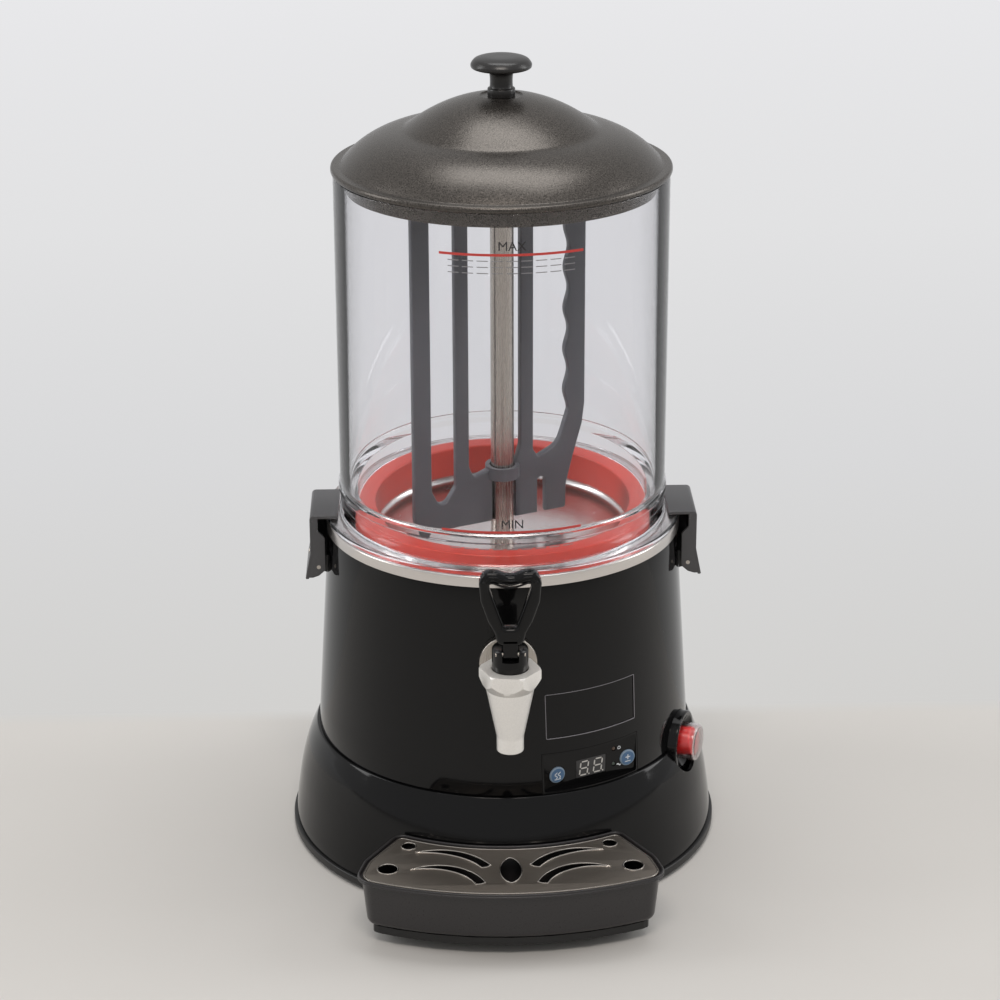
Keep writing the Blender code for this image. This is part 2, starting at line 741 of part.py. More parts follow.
def skirt_form(name, offset):
    """The skirt's outside as a full solid, larger all round by offset."""
    profile = [(0, SKIRT_TOP)]
    heights = [SKIRT_BOTTOM + SKIRT_HEIGHT * share for share, _ in SKIRT_PROFILE_SHARES]
    profile += [(skirt_radius(height) + offset, height) for height in heights]
    profile += [(SKIRT_BOTTOM_RADIUS + offset, RING_BOTTOM), (0, RING_BOTTOM)]
    return turned(name, profile, LARGE_STEPS, CUTTERS)


# Base

def foot_places():
    distance = RING_OUTER_RADIUS - FOOT_INSET
    return [around(FULL_TURN * (i + 0.5) / FOOT_COUNT, distance) for i in range(FOOT_COUNT)]


def make_base():
    radius = RING_OUTER_RADIUS - RING_WALL - GAP
    plate = cylinder("base_plate", radius, (0, 0, PLATE_BOTTOM), (0, 0, PLATE_TOP), LARGE_STEPS, PARTS)
    for i, place in enumerate(foot_places()):
        up = Vector((0, 0, PLATE_TOP + OVERRUN))
        cut(plate, cylinder(f"cut_foot_{i}", FOOT_STEM_RADIUS + GAP, place, place + up, TINY_STEPS))
        profile = [(0, PLATE_TOP + FOOT_STEM_RISE), (FOOT_STEM_RADIUS, PLATE_TOP + FOOT_STEM_RISE),
                   (FOOT_STEM_RADIUS, PLATE_BOTTOM - GAP), (FOOT_RADIUS, PLATE_BOTTOM - GAP),
                   (FOOT_RADIUS * 0.9, 0), (0, 0)]
        foot = turned(f"foot_{i + 1}", profile, TINY_STEPS * 2)
        foot.location = place
        dress(foot, "rubber")
    for i in range(VENT_COUNT):
        place = around(FULL_TURN * i / VENT_COUNT, RING_OUTER_RADIUS - VENT_INSET)
        up = Vector((0, 0, PLATE_TOP + OVERRUN))
        cut(plate, cylinder(f"cut_vent_{i}", VENT_RADIUS, place, place + up, TINY_STEPS))
    dress(plate, "steel")
    inner = RING_OUTER_RADIUS - RING_WALL
    ledge = inner - RING_LEDGE
    ring = turned("base_ring", [(RING_OUTER_RADIUS, RING_TOP), (RING_OUTER_RADIUS, RING_BOTTOM),
                                (inner, RING_BOTTOM), (inner, PLATE_TOP + GAP),
                                (ledge, PLATE_TOP + GAP), (ledge, RING_TOP)], LARGE_STEPS)
    dress(ring, "black_matt")


def make_skirt():
    profile = [(SKIRT_TOP_RADIUS - SKIRT_FLANGE, SKIRT_TOP)]
    for share, _ in SKIRT_PROFILE_SHARES:
        height = SKIRT_BOTTOM + SKIRT_HEIGHT * share
        profile.append((skirt_radius(height), height))
    skirt = walled(turned("lower_skirt", profile, LARGE_STEPS, base=SKIRT_BOTTOM, closed=False), SHELL_WALL)
    window = panel_box("cut_inlet_window", math.pi, (-INLET_LENGTH / 2 - GAP, INLET_LENGTH / 2 + GAP),
                       (SKIRT_TOP_RADIUS - INLET_DEPTH, SKIRT_BOTTOM_RADIUS + OVERRUN),
                       (SKIRT_BOTTOM + INLET_RISE - INLET_HEIGHT / 2 - GAP,
                        SKIRT_BOTTOM + INLET_RISE + INLET_HEIGHT / 2 + GAP))
    cut(skirt, window, switch_hole("cut_switch_in_skirt"))
    dress(skirt, "black_gloss")


def make_housing():
    spigot = HOUSING_TOP_RADIUS - HOUSING_SPIGOT_STEP
    profile = [(spigot - HOUSING_FLANGE, BAND_TOP - SHEET - GAP), (spigot, BAND_TOP - SHEET - GAP),
               (spigot, HOUSING_TOP), (HOUSING_TOP_RADIUS, HOUSING_TOP),
               (HOUSING_BOTTOM_RADIUS, HOUSING_BOTTOM)]
    housing = walled(turned("upper_housing", profile, LARGE_STEPS, base=HOUSING_BOTTOM, closed=False),
                     SHELL_WALL)
    window = panel_box("cut_panel_window", PANEL_AZIMUTH, (-PANEL_LENGTH / 2 - GAP, PANEL_LENGTH / 2 + GAP),
                       (PANEL_DISTANCE - BOARD_DEPTH, HOUSING_BOTTOM_RADIUS + OVERRUN),
                       (HOUSING_BOTTOM - OVERRUN, HOUSING_BOTTOM + PANEL_HEIGHT + GAP))
    shank = cylinder("cut_shank_hole", TAP_SHANK_RADIUS + GAP, (0, -TAP_REACH, TAP_HEIGHT),
                     (0, -HOUSING_TOP_RADIUS + SHELL_WALL * 4, TAP_HEIGHT))
    cut(housing, window, badge_recess(), shank, switch_hole("cut_switch_in_housing"))
    dress(housing, "black_gloss")


def badge_band(name, inner_offset, outer_offset, group=CUTTERS):
    """A ring that follows the housing's outer face between two offsets."""
    low = HOUSING_BOTTOM + BADGE_RISE
    high = low + BADGE_HEIGHT
    return turned(name, [(housing_radius(high) + outer_offset, high), (housing_radius(low) + outer_offset, low),
                         (housing_radius(low) + inner_offset, low),
                         (housing_radius(high) + inner_offset, high)], LARGE_STEPS * 2, group)


def badge_window(name, margin):
    low = HOUSING_BOTTOM + BADGE_RISE + margin
    high = HOUSING_BOTTOM + BADGE_RISE + BADGE_HEIGHT - margin
    return panel_box(name, BADGE_AZIMUTH, (-BADGE_LENGTH / 2 + margin, BADGE_LENGTH / 2 - margin),
                     (HOUSING_TOP_RADIUS * 0.6, HOUSING_BOTTOM_RADIUS + OVERRUN * 2), (low, high))


def badge_recess():
    ring = badge_band("cut_badge", -BADGE_DEPTH, OVERRUN)
    return keep_inside(ring, badge_window("cut_badge_window", 0.0))


def make_badge():
    plate = badge_band("badge_plate", GAP - BADGE_DEPTH, GAP - BADGE_DEPTH + BADGE_THICKNESS, PARTS)
    keep_inside(plate, badge_window("badge_plate_window", GAP))
    dress(plate, "black_gloss")


# Control facia and what it holds

def panel_span(place, size, margin=0.0):
    return (place - size / 2 - margin, place + size / 2 + margin)


def make_facia():
    low = HOUSING_BOTTOM
    high = HOUSING_BOTTOM + PANEL_HEIGHT
    face = PANEL_DISTANCE
    back = face - PANEL_FACE_THICKNESS
    facia = panel_box("control_facia", PANEL_AZIMUTH, panel_span(0, PANEL_LENGTH),
                      (back, HOUSING_BOTTOM_RADIUS + OVERRUN), (low, high), PARTS)
    keep_inside(facia, housing_form("facia_front", 0.0))
    pocket = panel_box("cut_pocket", PANEL_AZIMUTH, panel_span(0, PANEL_LENGTH, -PANEL_CHEEK),
                       (face, HOUSING_BOTTOM_RADIUS + OVERRUN * 2), (low + PANEL_CHEEK, high - PANEL_CHEEK))
    window = panel_box("cut_window", PANEL_AZIMUTH, panel_span(WINDOW_PLACE, WINDOW_LENGTH, GAP),
                       (back - OVERRUN, face + OVERRUN),
                       panel_span(low + CONTROL_RISE, WINDOW_HEIGHT, GAP))
    cut(facia, pocket, window)
    holes = [("left", BUTTON_LEFT_PLACE, CONTROL_RISE, BUTTON_RADIUS),
             ("right", BUTTON_RIGHT_PLACE, CONTROL_RISE, BUTTON_RADIUS),
             ("upper", LED_PLACE, LED_UPPER_RISE, LED_RADIUS),
             ("lower", LED_PLACE, LED_LOWER_RISE, LED_RADIUS)]
    for name, place, rise, radius in holes:
        start = around(PANEL_AZIMUTH, back - OVERRUN, low + rise, place)
        end = around(PANEL_AZIMUTH, face + OVERRUN, low + rise, place)
        cut(facia, cylinder(f"cut_hole_{name}", radius + GAP, start, end, SMALL_STEPS))
    dress(facia, "black_gloss")


def make_panel_parts():
    face = PANEL_DISTANCE
    back = face - PANEL_FACE_THICKNESS
    board_back = face - BOARD_DEPTH - BOARD_THICKNESS
    board_front = face - BOARD_DEPTH
    height = HOUSING_BOTTOM + CONTROL_RISE
    window = panel_box("display_window", PANEL_AZIMUTH, panel_span(WINDOW_PLACE, WINDOW_LENGTH),
                       (face - WINDOW_THICKNESS, face), panel_span(height, WINDOW_HEIGHT), PARTS)
    dress(window, "window_smoke")
    module = panel_box("display_module", PANEL_AZIMUTH,
                       panel_span(WINDOW_PLACE, WINDOW_LENGTH, MODULE_MARGIN), (board_front + GAP, back - GAP),
                       panel_span(height, WINDOW_HEIGHT, MODULE_MARGIN / 2), PARTS)
    join(module, panel_box("module_nose", PANEL_AZIMUTH, panel_span(WINDOW_PLACE, WINDOW_LENGTH, -GAP),
                           (back - GAP * 2, face - WINDOW_THICKNESS - GAP),
                           panel_span(height, WINDOW_HEIGHT, -GAP)))
    dress(module, "nylon")
    board = panel_box("control_board", PANEL_AZIMUTH, panel_span(0, PANEL_LENGTH, -BOARD_MARGIN),
                      (board_back, board_front),
                      (HOUSING_BOTTOM + BOARD_MARGIN / 2, HOUSING_BOTTOM + PANEL_HEIGHT - BOARD_MARGIN / 2),
                      PARTS)
    for name, place in (("left", BUTTON_LEFT_PLACE), ("right", BUTTON_RIGHT_PLACE)):
        join(board, panel_box(f"tact_{name}", PANEL_AZIMUTH, panel_span(place, TACT_SIZE),
                              (board_back + BOARD_THICKNESS / 2, board_front + TACT_HEIGHT),
                              panel_span(height, TACT_SIZE)))
    dress(board, "board_green")
    for name, rise in (("led_upper", LED_UPPER_RISE), ("led_lower", LED_LOWER_RISE)):
        length = face - board_front
        led = turned_out(name, [(0, length), (LED_RADIUS, length - LED_RADIUS / 2), (LED_RADIUS, GAP),
                                (0, GAP)],
                         TINY_STEPS, PANEL_AZIMUTH, board_front, HOUSING_BOTTOM + rise, across=LED_PLACE)
        dress(led, "clear")
    for name, place in (("button_left", BUTTON_LEFT_PLACE), ("button_right", BUTTON_RIGHT_PLACE)):
        top = BUTTON_PROUD
        flange = -PANEL_FACE_THICKNESS - GAP
        tail = -BOARD_DEPTH + TACT_HEIGHT + BUTTON_TRAVEL + GAP
        button = turned_out(name, [(0, top), (BUTTON_RADIUS, top), (BUTTON_RADIUS, flange),
                                   (BUTTON_RADIUS + BUTTON_FLANGE, flange),
                                   (BUTTON_RADIUS + BUTTON_FLANGE, flange - BUTTON_FLANGE),
                                   (BUTTON_STEM_RADIUS, flange - BUTTON_FLANGE), (BUTTON_STEM_RADIUS, tail),
                                   (0, tail)], SMALL_STEPS, PANEL_AZIMUTH, face, height, across=place)
        dress(button, "button_blue")


# Power switch

def switch_hole(name):
    start = around(SWITCH_AZIMUTH, SWITCH_FACE - BEZEL_LENGTH - SWITCH_BODY_LENGTH, SKIRT_TOP)
    end = around(SWITCH_AZIMUTH, SWITCH_FACE + BEZEL_RADIUS, SKIRT_TOP)
    return cylinder(name, BEZEL_RADIUS + GAP, start, end, MEDIUM_STEPS)


def make_switch():
    step = BEZEL_LENGTH * BEZEL_STEP_SHARE
    mouth = BEZEL_BORE + (BEZEL_RADIUS - BEZEL_BORE) * BEZEL_MOUTH_SHARE
    start = SWITCH_FACE - BEZEL_LENGTH
    bezel = turned_out("switch_bezel", [(BEZEL_RADIUS, BEZEL_LENGTH), (BEZEL_RADIUS, 0), (BEZEL_BORE, 0),
                                        (BEZEL_BORE, step), (mouth, BEZEL_LENGTH)],
                       MEDIUM_STEPS, SWITCH_AZIMUTH, start, SKIRT_TOP)
    dress(bezel, "black_gloss")
    bead = BEZEL_BORE - GAP
    tip = BEZEL_LENGTH + BOOT_REACH
    bottom = step - BOOT_BEAD_LENGTH
    inner = BOOT_RADIUS - BOOT_WALL
    boot = turned_out("switch_boot", [(0, tip), (BOOT_RADIUS - BOOT_WALL, tip), (BOOT_RADIUS, tip - BOOT_WALL),
                                      (BOOT_RADIUS, step), (bead, step), (bead, bottom), (inner, bottom),
                                      (inner, tip - BOOT_WALL), (0, tip - BOOT_WALL)],
                      SMALL_STEPS, SWITCH_AZIMUTH, start, SKIRT_TOP)
    dress(boot, "clear")
    swing = math.hypot(ROCKER_BACK, ROCKER_RADIUS)
    swing_angle = math.atan2(ROCKER_RADIUS, ROCKER_BACK) - ROCKER_TILT
    hinge_place = SWITCH_FACE
    rocker = turned_out("switch_rocker", [(0, ROCKER_FRONT), (ROCKER_RADIUS * 0.9, ROCKER_FRONT),
                                          (ROCKER_RADIUS, ROCKER_FRONT * 0.88), (ROCKER_RADIUS, -ROCKER_BACK),
                                          (0, -ROCKER_BACK)],
                        SMALL_STEPS, SWITCH_AZIMUTH, hinge_place, SKIRT_TOP)
    rocker.rotation_euler.x = QUARTER_TURN - ROCKER_TILT
    dress(rocker, "rocker_red")
    neck_end = hinge_place - swing * math.cos(swing_angle) - GAP
    body_front = start - GAP
    body = panel_box("switch_body", SWITCH_AZIMUTH, panel_span(0, SWITCH_BODY_SIZE),
                     (body_front - SWITCH_BODY_LENGTH, body_front),
                     panel_span(SKIRT_TOP, SWITCH_BODY_SIZE), PARTS)
    neck = cylinder("switch_neck", inner - GAP,
                    around(SWITCH_AZIMUTH, body_front - GAP * 2, SKIRT_TOP),
                    around(SWITCH_AZIMUTH, neck_end, SKIRT_TOP))
    join(body, neck)
    dress(body, "black_matt")


# Bowl, seal, water bath and heater

def make_bowl():
    band = HOUSING_TOP_RADIUS + BAND_OVERHANG
    ridge_in = RIDGE_OUTER_RADIUS - RIDGE_WIDTH
    wall_in = ridge_in - BOWL_CORNER
    profile = [(TUBE_RADIUS + GAP, BOWL_FLOOR), (wall_in, BOWL_FLOOR),
               (ridge_in - BOWL_CORNER * 0.3, BOWL_FLOOR + BOWL_CORNER * 0.5),
               (ridge_in, BOWL_FLOOR + BOWL_CORNER * 1.6), (ridge_in, BAND_TOP + RIDGE_HEIGHT),
               (RIDGE_OUTER_RADIUS, BAND_TOP + RIDGE_HEIGHT), (RIDGE_OUTER_RADIUS, BAND_TOP),
               (band, BAND_TOP), (band, BAND_BOTTOM)]
    bowl = walled(turned("bowl", profile, LARGE_STEPS, base=BAND_TOP, closed=False), SHEET)
    cut(bowl, cylinder("cut_bowl_outlet", PIPE_BORE, (0, -OUTLET_PLACE, BOWL_FLOOR - OVERRUN),
                       (0, -OUTLET_PLACE, BOWL_FLOOR + OVERRUN)))
    dress(bowl, "steel")


def make_seal():
    ridge_in = RIDGE_OUTER_RADIUS - RIDGE_WIDTH - GAP
    ridge_out = RIDGE_OUTER_RADIUS + GAP
    under = BAND_TOP + RIDGE_HEIGHT + GAP
    top = under + SEAL_TOP
    bottom = BAND_TOP - SEAL_INNER_DROP
    chamfer = SEAL_TOP * 0.6
    seal = turned("bowl_seal", [(SEAL_OUTER_RADIUS - chamfer, top), (SEAL_OUTER_RADIUS, top - chamfer),
                                (SEAL_OUTER_RADIUS, TANK_BOTTOM), (ridge_out, TANK_BOTTOM),
                                (ridge_out, under), (ridge_in, under), (ridge_in, bottom),
                                (SEAL_INNER_RADIUS + chamfer, bottom),
                                (SEAL_INNER_RADIUS, bottom + chamfer),
                                (SEAL_INNER_RADIUS, top - chamfer), (SEAL_INNER_RADIUS + chamfer, top)],
                  LARGE_STEPS, base=BAND_TOP)
    dress(seal, "seal_red")


def heater_ends():
    half = HEATER_OPENING / 2
    return [around(side * half, HEATER_RING_RADIUS) for side in (-1, 1)]


def make_bath():
    profile = [(BATH_RADIUS + BATH_FLANGE, BATH_TOP), (BATH_RADIUS - BATH_WALL, BATH_TOP),
               (BATH_RADIUS - BATH_WALL, BATH_BOTTOM + BATH_WALL), (TUBE_RADIUS + GAP, BATH_BOTTOM + BATH_WALL),
               (TUBE_RADIUS + GAP, BATH_BOTTOM), (BATH_RADIUS, BATH_BOTTOM),
               (BATH_RADIUS, BATH_TOP - BATH_WALL), (BATH_RADIUS + BATH_FLANGE, BATH_TOP - BATH_WALL)]
    bath = turned("water_bath", list(reversed(profile)), LARGE_STEPS, base=BATH_BOTTOM)
    low, high = BATH_BOTTOM - OVERRUN, BATH_BOTTOM + OVERRUN
    for i, place in enumerate(heater_ends()):
        cut(bath, cylinder(f"cut_heater_{i}", HEATER_RADIUS + GAP, place + Vector((0, 0, low)),
                           place + Vector((0, 0, high)), TINY_STEPS))
    cut(bath, cylinder("cut_probe", PROBE_RADIUS + GAP, (0, PROBE_PLACE, low), (0, PROBE_PLACE, high),
                       TINY_STEPS))
    cut(bath, cylinder("cut_bath_outlet", TAP_SHANK_RADIUS + GAP, (0, -BATH_RADIUS - OVERRUN, TAP_HEIGHT),
                       (0, -BATH_RADIUS + OVERRUN * 2, TAP_HEIGHT)))
    dress(bath, "steel")


def make_heater():
    half = HEATER_OPENING / 2
    height = BATH_BOTTOM + BATH_WALL + HEATER_RISE
    bottom = BATH_BOTTOM - HEATER_TAIL
    points = [around(half, HEATER_RING_RADIUS, bottom),
              around(half, HEATER_RING_RADIUS, height - HEATER_RADIUS)]
    for step in range(1, HEATER_STEPS):
        azimuth = half + (FULL_TURN - HEATER_OPENING) * step / HEATER_STEPS
        points.append(around(azimuth, HEATER_RING_RADIUS, height))
    points.append(around(-half, HEATER_RING_RADIUS, height - HEATER_RADIUS))
    points.append(around(-half, HEATER_RING_RADIUS, bottom))
    heater = rod_along("heating_element", points, HEATER_RADIUS, 1, origin=(0, 0, height))
    dress(heater, "steel")
    probe = cylinder("temperature_probe", PROBE_RADIUS, (0, PROBE_PLACE, BATH_BOTTOM - PROBE_TAIL),
                     (0, PROBE_PLACE, BATH_BOTTOM + PROBE_RISE), TINY_STEPS, PARTS)
    dress(probe, "steel")


# Riser tube and drive line

def make_riser():
    tube = turned("riser_tube", [(TUBE_RADIUS, TUBE_TOP), (TUBE_RADIUS, TUBE_BOTTOM), (TUBE_BORE, TUBE_BOTTOM),
                                 (TUBE_BORE, TUBE_TOP)], SMALL_STEPS, base=TUBE_BOTTOM)
    dress(tube, "steel")
    outer = TUBE_BORE - GAP
    inner = SHAFT_RADIUS + GAP
    for name, low in (("lower_bush", TUBE_BOTTOM), ("upper_bush", TUBE_TOP - BUSH_LENGTH)):
        high = low + BUSH_LENGTH
        bush = turned(name, [(outer, high), (outer, low), (inner, low), (inner, high)], SMALL_STEPS, base=low)
        dress(bush, "brass")


def make_drive():
    coupling_top = TUBE_BOTTOM - COUPLING_CLEARANCE
    coupling_bottom = coupling_top - COUPLING_LENGTH
    socket = coupling_top - COUPLING_LENGTH * COUPLING_BORE_SHARE
    hub_top = paddle_top() + PADDLE_HUB_PROUD
    bore = SHAFT_RADIUS + GAP
    spigot_end = coupling_bottom - COUPLING_SPIGOT_LENGTH
    coupling = turned("shaft_coupling", [(bore, coupling_top), (COUPLING_RADIUS, coupling_top),
                                         (COUPLING_RADIUS, coupling_bottom),
                                         (COUPLING_SPIGOT_RADIUS, coupling_bottom),
                                         (COUPLING_SPIGOT_RADIUS, spigot_end), (0, spigot_end), (0, socket),
                                         (bore, socket)], SMALL_STEPS, base=coupling_bottom)
    dress(coupling, "brass")
    shaft_top = hub_top + NUT_HEIGHT * NUT_SOCKET_SHARE
    shaft = cylinder("drive_shaft", SHAFT_RADIUS, (0, 0, socket + GAP), (0, 0, shaft_top), SMALL_STEPS, PARTS)
    dress(shaft, "steel")
    nut_top = hub_top + GAP + NUT_HEIGHT
    nut = turned("stirrer_nut", [(0, nut_top), (NUT_RADIUS * 0.8, nut_top), (NUT_RADIUS, nut_top - SHEET * 2),
                                 (NUT_RADIUS, hub_top + GAP), (bore, hub_top + GAP), (bore, shaft_top + GAP),
                                 (0, shaft_top + GAP)], SMALL_STEPS, base=hub_top)
    dress(nut, "stirrer_grey")
    gearbox_top = spigot_end + GEARBOX_OVERLAP
    gearbox_bottom = gearbox_top - GEARBOX_HEIGHT
    gearbox = box("gearbox", (-GEARBOX_LENGTH / 2, -GEARBOX_WIDTH / 2, gearbox_bottom),
                  (GEARBOX_LENGTH / 2, GEARBOX_WIDTH / 2, gearbox_top), PARTS)
    cut(gearbox, cylinder("cut_gear_bore", COUPLING_SPIGOT_RADIUS + GAP, (0, 0, spigot_end - GAP * 2),
                          (0, 0, gearbox_top + OVERRUN)))
    dress(gearbox, "motor_grey")
    motor_top = gearbox_bottom - GAP
    motor = turned("motor", [(0, motor_top), (MOTOR_RADIUS, motor_top),
                             (MOTOR_RADIUS, motor_top - MOTOR_LENGTH * 0.92),
                             (MOTOR_RADIUS * 0.85, motor_top - MOTOR_LENGTH), (0, motor_top - MOTOR_LENGTH)],
                   MEDIUM_STEPS, base=motor_top)
    dress(motor, "motor_grey")
    make_motor_bracket(motor_top)


def make_motor_bracket(top):
    half = BRACKET_LENGTH / 2
    low = PLATE_TOP + GAP
    sheet = BRACKET_SHEET
    outline = [(-half - BRACKET_FOOT, low), (-half + sheet, low), (-half + sheet, top - sheet),
               (half - sheet, top - sheet), (half - sheet, low), (half + BRACKET_FOOT, low),
               (half + BRACKET_FOOT, low + sheet), (half, low + sheet), (half, top), (-half, top),
               (-half, low + sheet), (-half - BRACKET_FOOT, low + sheet)]
    bracket = outline_plate("motor_bracket", [outline], BRACKET_WIDTH, upright())
    cut(bracket, cylinder("cut_motor_hole", MOTOR_RADIUS + GAP, (0, 0, top - sheet - OVERRUN),
                          (0, 0, top + OVERRUN), MEDIUM_STEPS))
    dress(bracket, "steel")


# Stirrer

def paddle_bottom():
    return BOWL_FLOOR + PADDLE_FLOOR_GAP


def paddle_top():
    return TUBE_TOP + PADDLE_TOP_CLEARANCE + PADDLE_CROSSBAR


def paddle_corners(shares):
    bottom = paddle_bottom()
    return [(across * PADDLE_REACH, bottom + up * PADDLE_WEB, radius * PADDLE_REACH)
            for across, up, radius in shares]


def wave_edge(low, high):
    """The wavy inner edge of the outer blade, from the bottom up."""
    points = []
    count = int(WAVE_COUNT * WAVE_STEPS)
    for i in range(1, count):
        wave = math.cos(FULL_TURN * WAVE_COUNT * i / count)
        points.append((PADDLE_REACH * (WAVE_EDGE_SHARE + WAVE_SHARE * wave), low + (high - low) * i / count))
    return points


def make_paddle():
    top = paddle_top()
    bar = TUBE_TOP + PADDLE_TOP_CLEARANCE
    corner = GAP_CORNER_SHARE * PADDLE_REACH
    right_share = PADDLE_OUTLINE_SHARES[-1][0]
    outer = rounded(paddle_corners(PADDLE_OUTLINE_SHARES) + [
        (right_share * PADDLE_REACH, top, corner), (-PADDLE_REACH, top, corner)])
    loops = [outer]
    for shares in (LEFT_GAP_SHARES, MIDDLE_GAP_SHARES):
        low = paddle_corners(shares)
        loops.append(rounded(low + [(low[-1][0], bar, corner), (low[0][0], bar, corner)]))
    low = paddle_corners(RIGHT_GAP_SHARES)
    wave_low = low[-1][1]
    right = rounded(low + [(low[-1][0], wave_low + corner, 0), (low[0][0], wave_low + corner, 0)])
    right = [point for point in right if point[1] < wave_low + corner / 2]
    loops.append(right + wave_edge(wave_low, bar) + [(low[-1][0], bar), (low[0][0], bar)])
    paddle = outline_plate("stirrer_paddle", loops, PADDLE_THICKNESS, upright(turn=PADDLE_TURN))
    ring_low = paddle_bottom() + PADDLE_WEB * PADDLE_RING_SHARE
    bore = TUBE_RADIUS + RUNNING_GAP
    ring = cylinder("add_paddle_ring", bore + PADDLE_RING_WALL, (0, 0, ring_low),
                    (0, 0, ring_low + PADDLE_RING_HEIGHT), SMALL_STEPS)
    hub = cylinder("add_paddle_hub", PADDLE_HUB_RADIUS, (0, 0, bar - PADDLE_HUB_PROUD),
                   (0, 0, top + PADDLE_HUB_PROUD), SMALL_STEPS)
    join(paddle, ring, hub)
    slot = box("cut_paddle_slot", (-bore, -PADDLE_THICKNESS * 0.6, paddle_bottom() - OVERRUN),
               (bore, PADDLE_THICKNESS * 0.6, ring_low + PADDLE_HUB_PROUD))
    slot.rotation_euler.z = PADDLE_TURN
    tube_bore = cylinder("cut_paddle_bore", bore, (0, 0, ring_low - OVERRUN),
                         (0, 0, ring_low + PADDLE_RING_HEIGHT + OVERRUN), SMALL_STEPS)
    shaft_bore = cylinder("cut_paddle_shaft", SHAFT_RADIUS + GAP, (0, 0, bar - OVERRUN),
                          (0, 0, top + OVERRUN), SMALL_STEPS)
    cut(paddle, slot, tube_bore, shaft_bore)
    dress(paddle, "stirrer_grey")


# Tank and lid

def make_tank():
    inner = TANK_OUTER_RADIUS - TANK_WALL
    collar_in = SEAL_OUTER_RADIUS + GAP
    collar_top = TANK_BOTTOM + TANK_COLLAR_HEIGHT
    bead = TANK_OUTER_RADIUS + TANK_BEAD
    tank = turned("tank", [(TANK_OUTER_RADIUS, TANK_TOP), (TANK_OUTER_RADIUS, collar_top + TANK_BEAD_HEIGHT),
                           (bead, collar_top + TANK_BEAD_HEIGHT - TANK_BEAD), (bead, collar_top),
                           (TANK_OUTER_RADIUS, collar_top - TANK_BEAD), (TANK_OUTER_RADIUS, FLANGE_TOP),
                           (TANK_FLANGE_RADIUS, FLANGE_TOP), (TANK_FLANGE_RADIUS, TANK_BOTTOM),
                           (collar_in, TANK_BOTTOM), (collar_in, collar_top),
                           (inner, collar_top + TANK_BEAD_HEIGHT), (inner, TANK_TOP)],
                  LARGE_STEPS, base=TANK_BOTTOM)
    dress(tank, "clear")


def lid_profile():
    """The lid's outer face from the middle out, then its under side back to the middle."""
    rim_top = LID_BOTTOM + LID_RIM_HEIGHT
    outer = []
    crease = LID_INNER_CROWN_RADIUS / LID_OUTER_CROWN_RADIUS
    for share in reversed(CROWN_SHARES + (crease,)):
        height = rim_top + LID_OUTER_CROWN * (1 - share ** LID_OUTER_POWER)
        outer.append((share * LID_OUTER_CROWN_RADIUS, height))
    crease_height = outer[0][1]
    inner = []
    for share in reversed(INNER_CROWN_SHARES[1:]):
        height = crease_height + LID_INNER_CROWN * (1 - share ** LID_INNER_POWER)
        inner.append((share * LID_INNER_CROWN_RADIUS, height))
    return inner + outer, crease_height


def dish_height():
    """The height of the flat dish under the knob."""
    _, crease_height = lid_profile()
    share = LID_DISH_RADIUS / LID_INNER_CROWN_RADIUS
    edge = crease_height + LID_INNER_CROWN * (1 - share ** LID_INNER_POWER)
    return edge - LID_DISH_DEPTH


def make_lid():
    crown, _ = lid_profile()
    rim_top = LID_BOTTOM + LID_RIM_HEIGHT
    dish = dish_height()
    outside = [(SCREW_RADIUS + GAP, dish), (LID_DISH_RADIUS - LID_DISH_DEPTH, dish),
               (LID_DISH_RADIUS, dish + LID_DISH_DEPTH)]
    outside += crown
    outside += [(LID_RADIUS - LID_RIM_HEIGHT * 0.2, rim_top - LID_RIM_HEIGHT * 0.05),
                (LID_RADIUS, rim_top - LID_RIM_HEIGHT * 0.3), (LID_RADIUS, LID_BOTTOM)]
    plug_bottom = TANK_TOP - LID_PLUG_DROP
    plug_inner = LID_PLUG_RADIUS - LID_WALL
    inside = [(LID_PLUG_RADIUS, LID_BOTTOM), (LID_PLUG_RADIUS, plug_bottom), (plug_inner, plug_bottom),
              (plug_inner, rim_top - LID_WALL * 0.5)]
    for radius, height in reversed(crown):
        if radius < plug_inner - LID_WALL * 1.5:
            inside.append((radius, height - LID_WALL * 1.15))
    inside += [(SCREW_HEAD_RADIUS * 1.6, dish - LID_WALL), (SCREW_RADIUS + GAP, dish - LID_WALL)]
    lid = turned("lid", outside + inside, LARGE_STEPS, base=LID_BOTTOM)
    dress(lid, "lid_grey")
    base = dish + GAP
    profile = [(0, base + KNOB_HEIGHT)]
    profile += [(KNOB_RADIUS * across, base + KNOB_HEIGHT * up) for across, up in KNOB_PROFILE_SHARES]
    bore_top = base + KNOB_HEIGHT * KNOB_BORE_SHARE
    profile += [(KNOB_BORE, base), (KNOB_BORE, bore_top), (0, bore_top)]
    knob = turned("lid_knob", profile, SMALL_STEPS, base=base)
    dress(knob, "lid_grey")
    seat = dish - LID_WALL - GAP
    screw = turned("lid_screw", [(0, bore_top - GAP), (SCREW_RADIUS, bore_top - GAP), (SCREW_RADIUS, seat),
                                 (SCREW_HEAD_RADIUS, seat), (SCREW_HEAD_RADIUS, seat - SCREW_HEAD_HEIGHT),
                                 (0, seat - SCREW_HEAD_HEIGHT)], TINY_STEPS, base=seat)
    dress(screw, "steel")


# Tap

def tap_axis(height):
    return (0, -TAP_REACH, height)


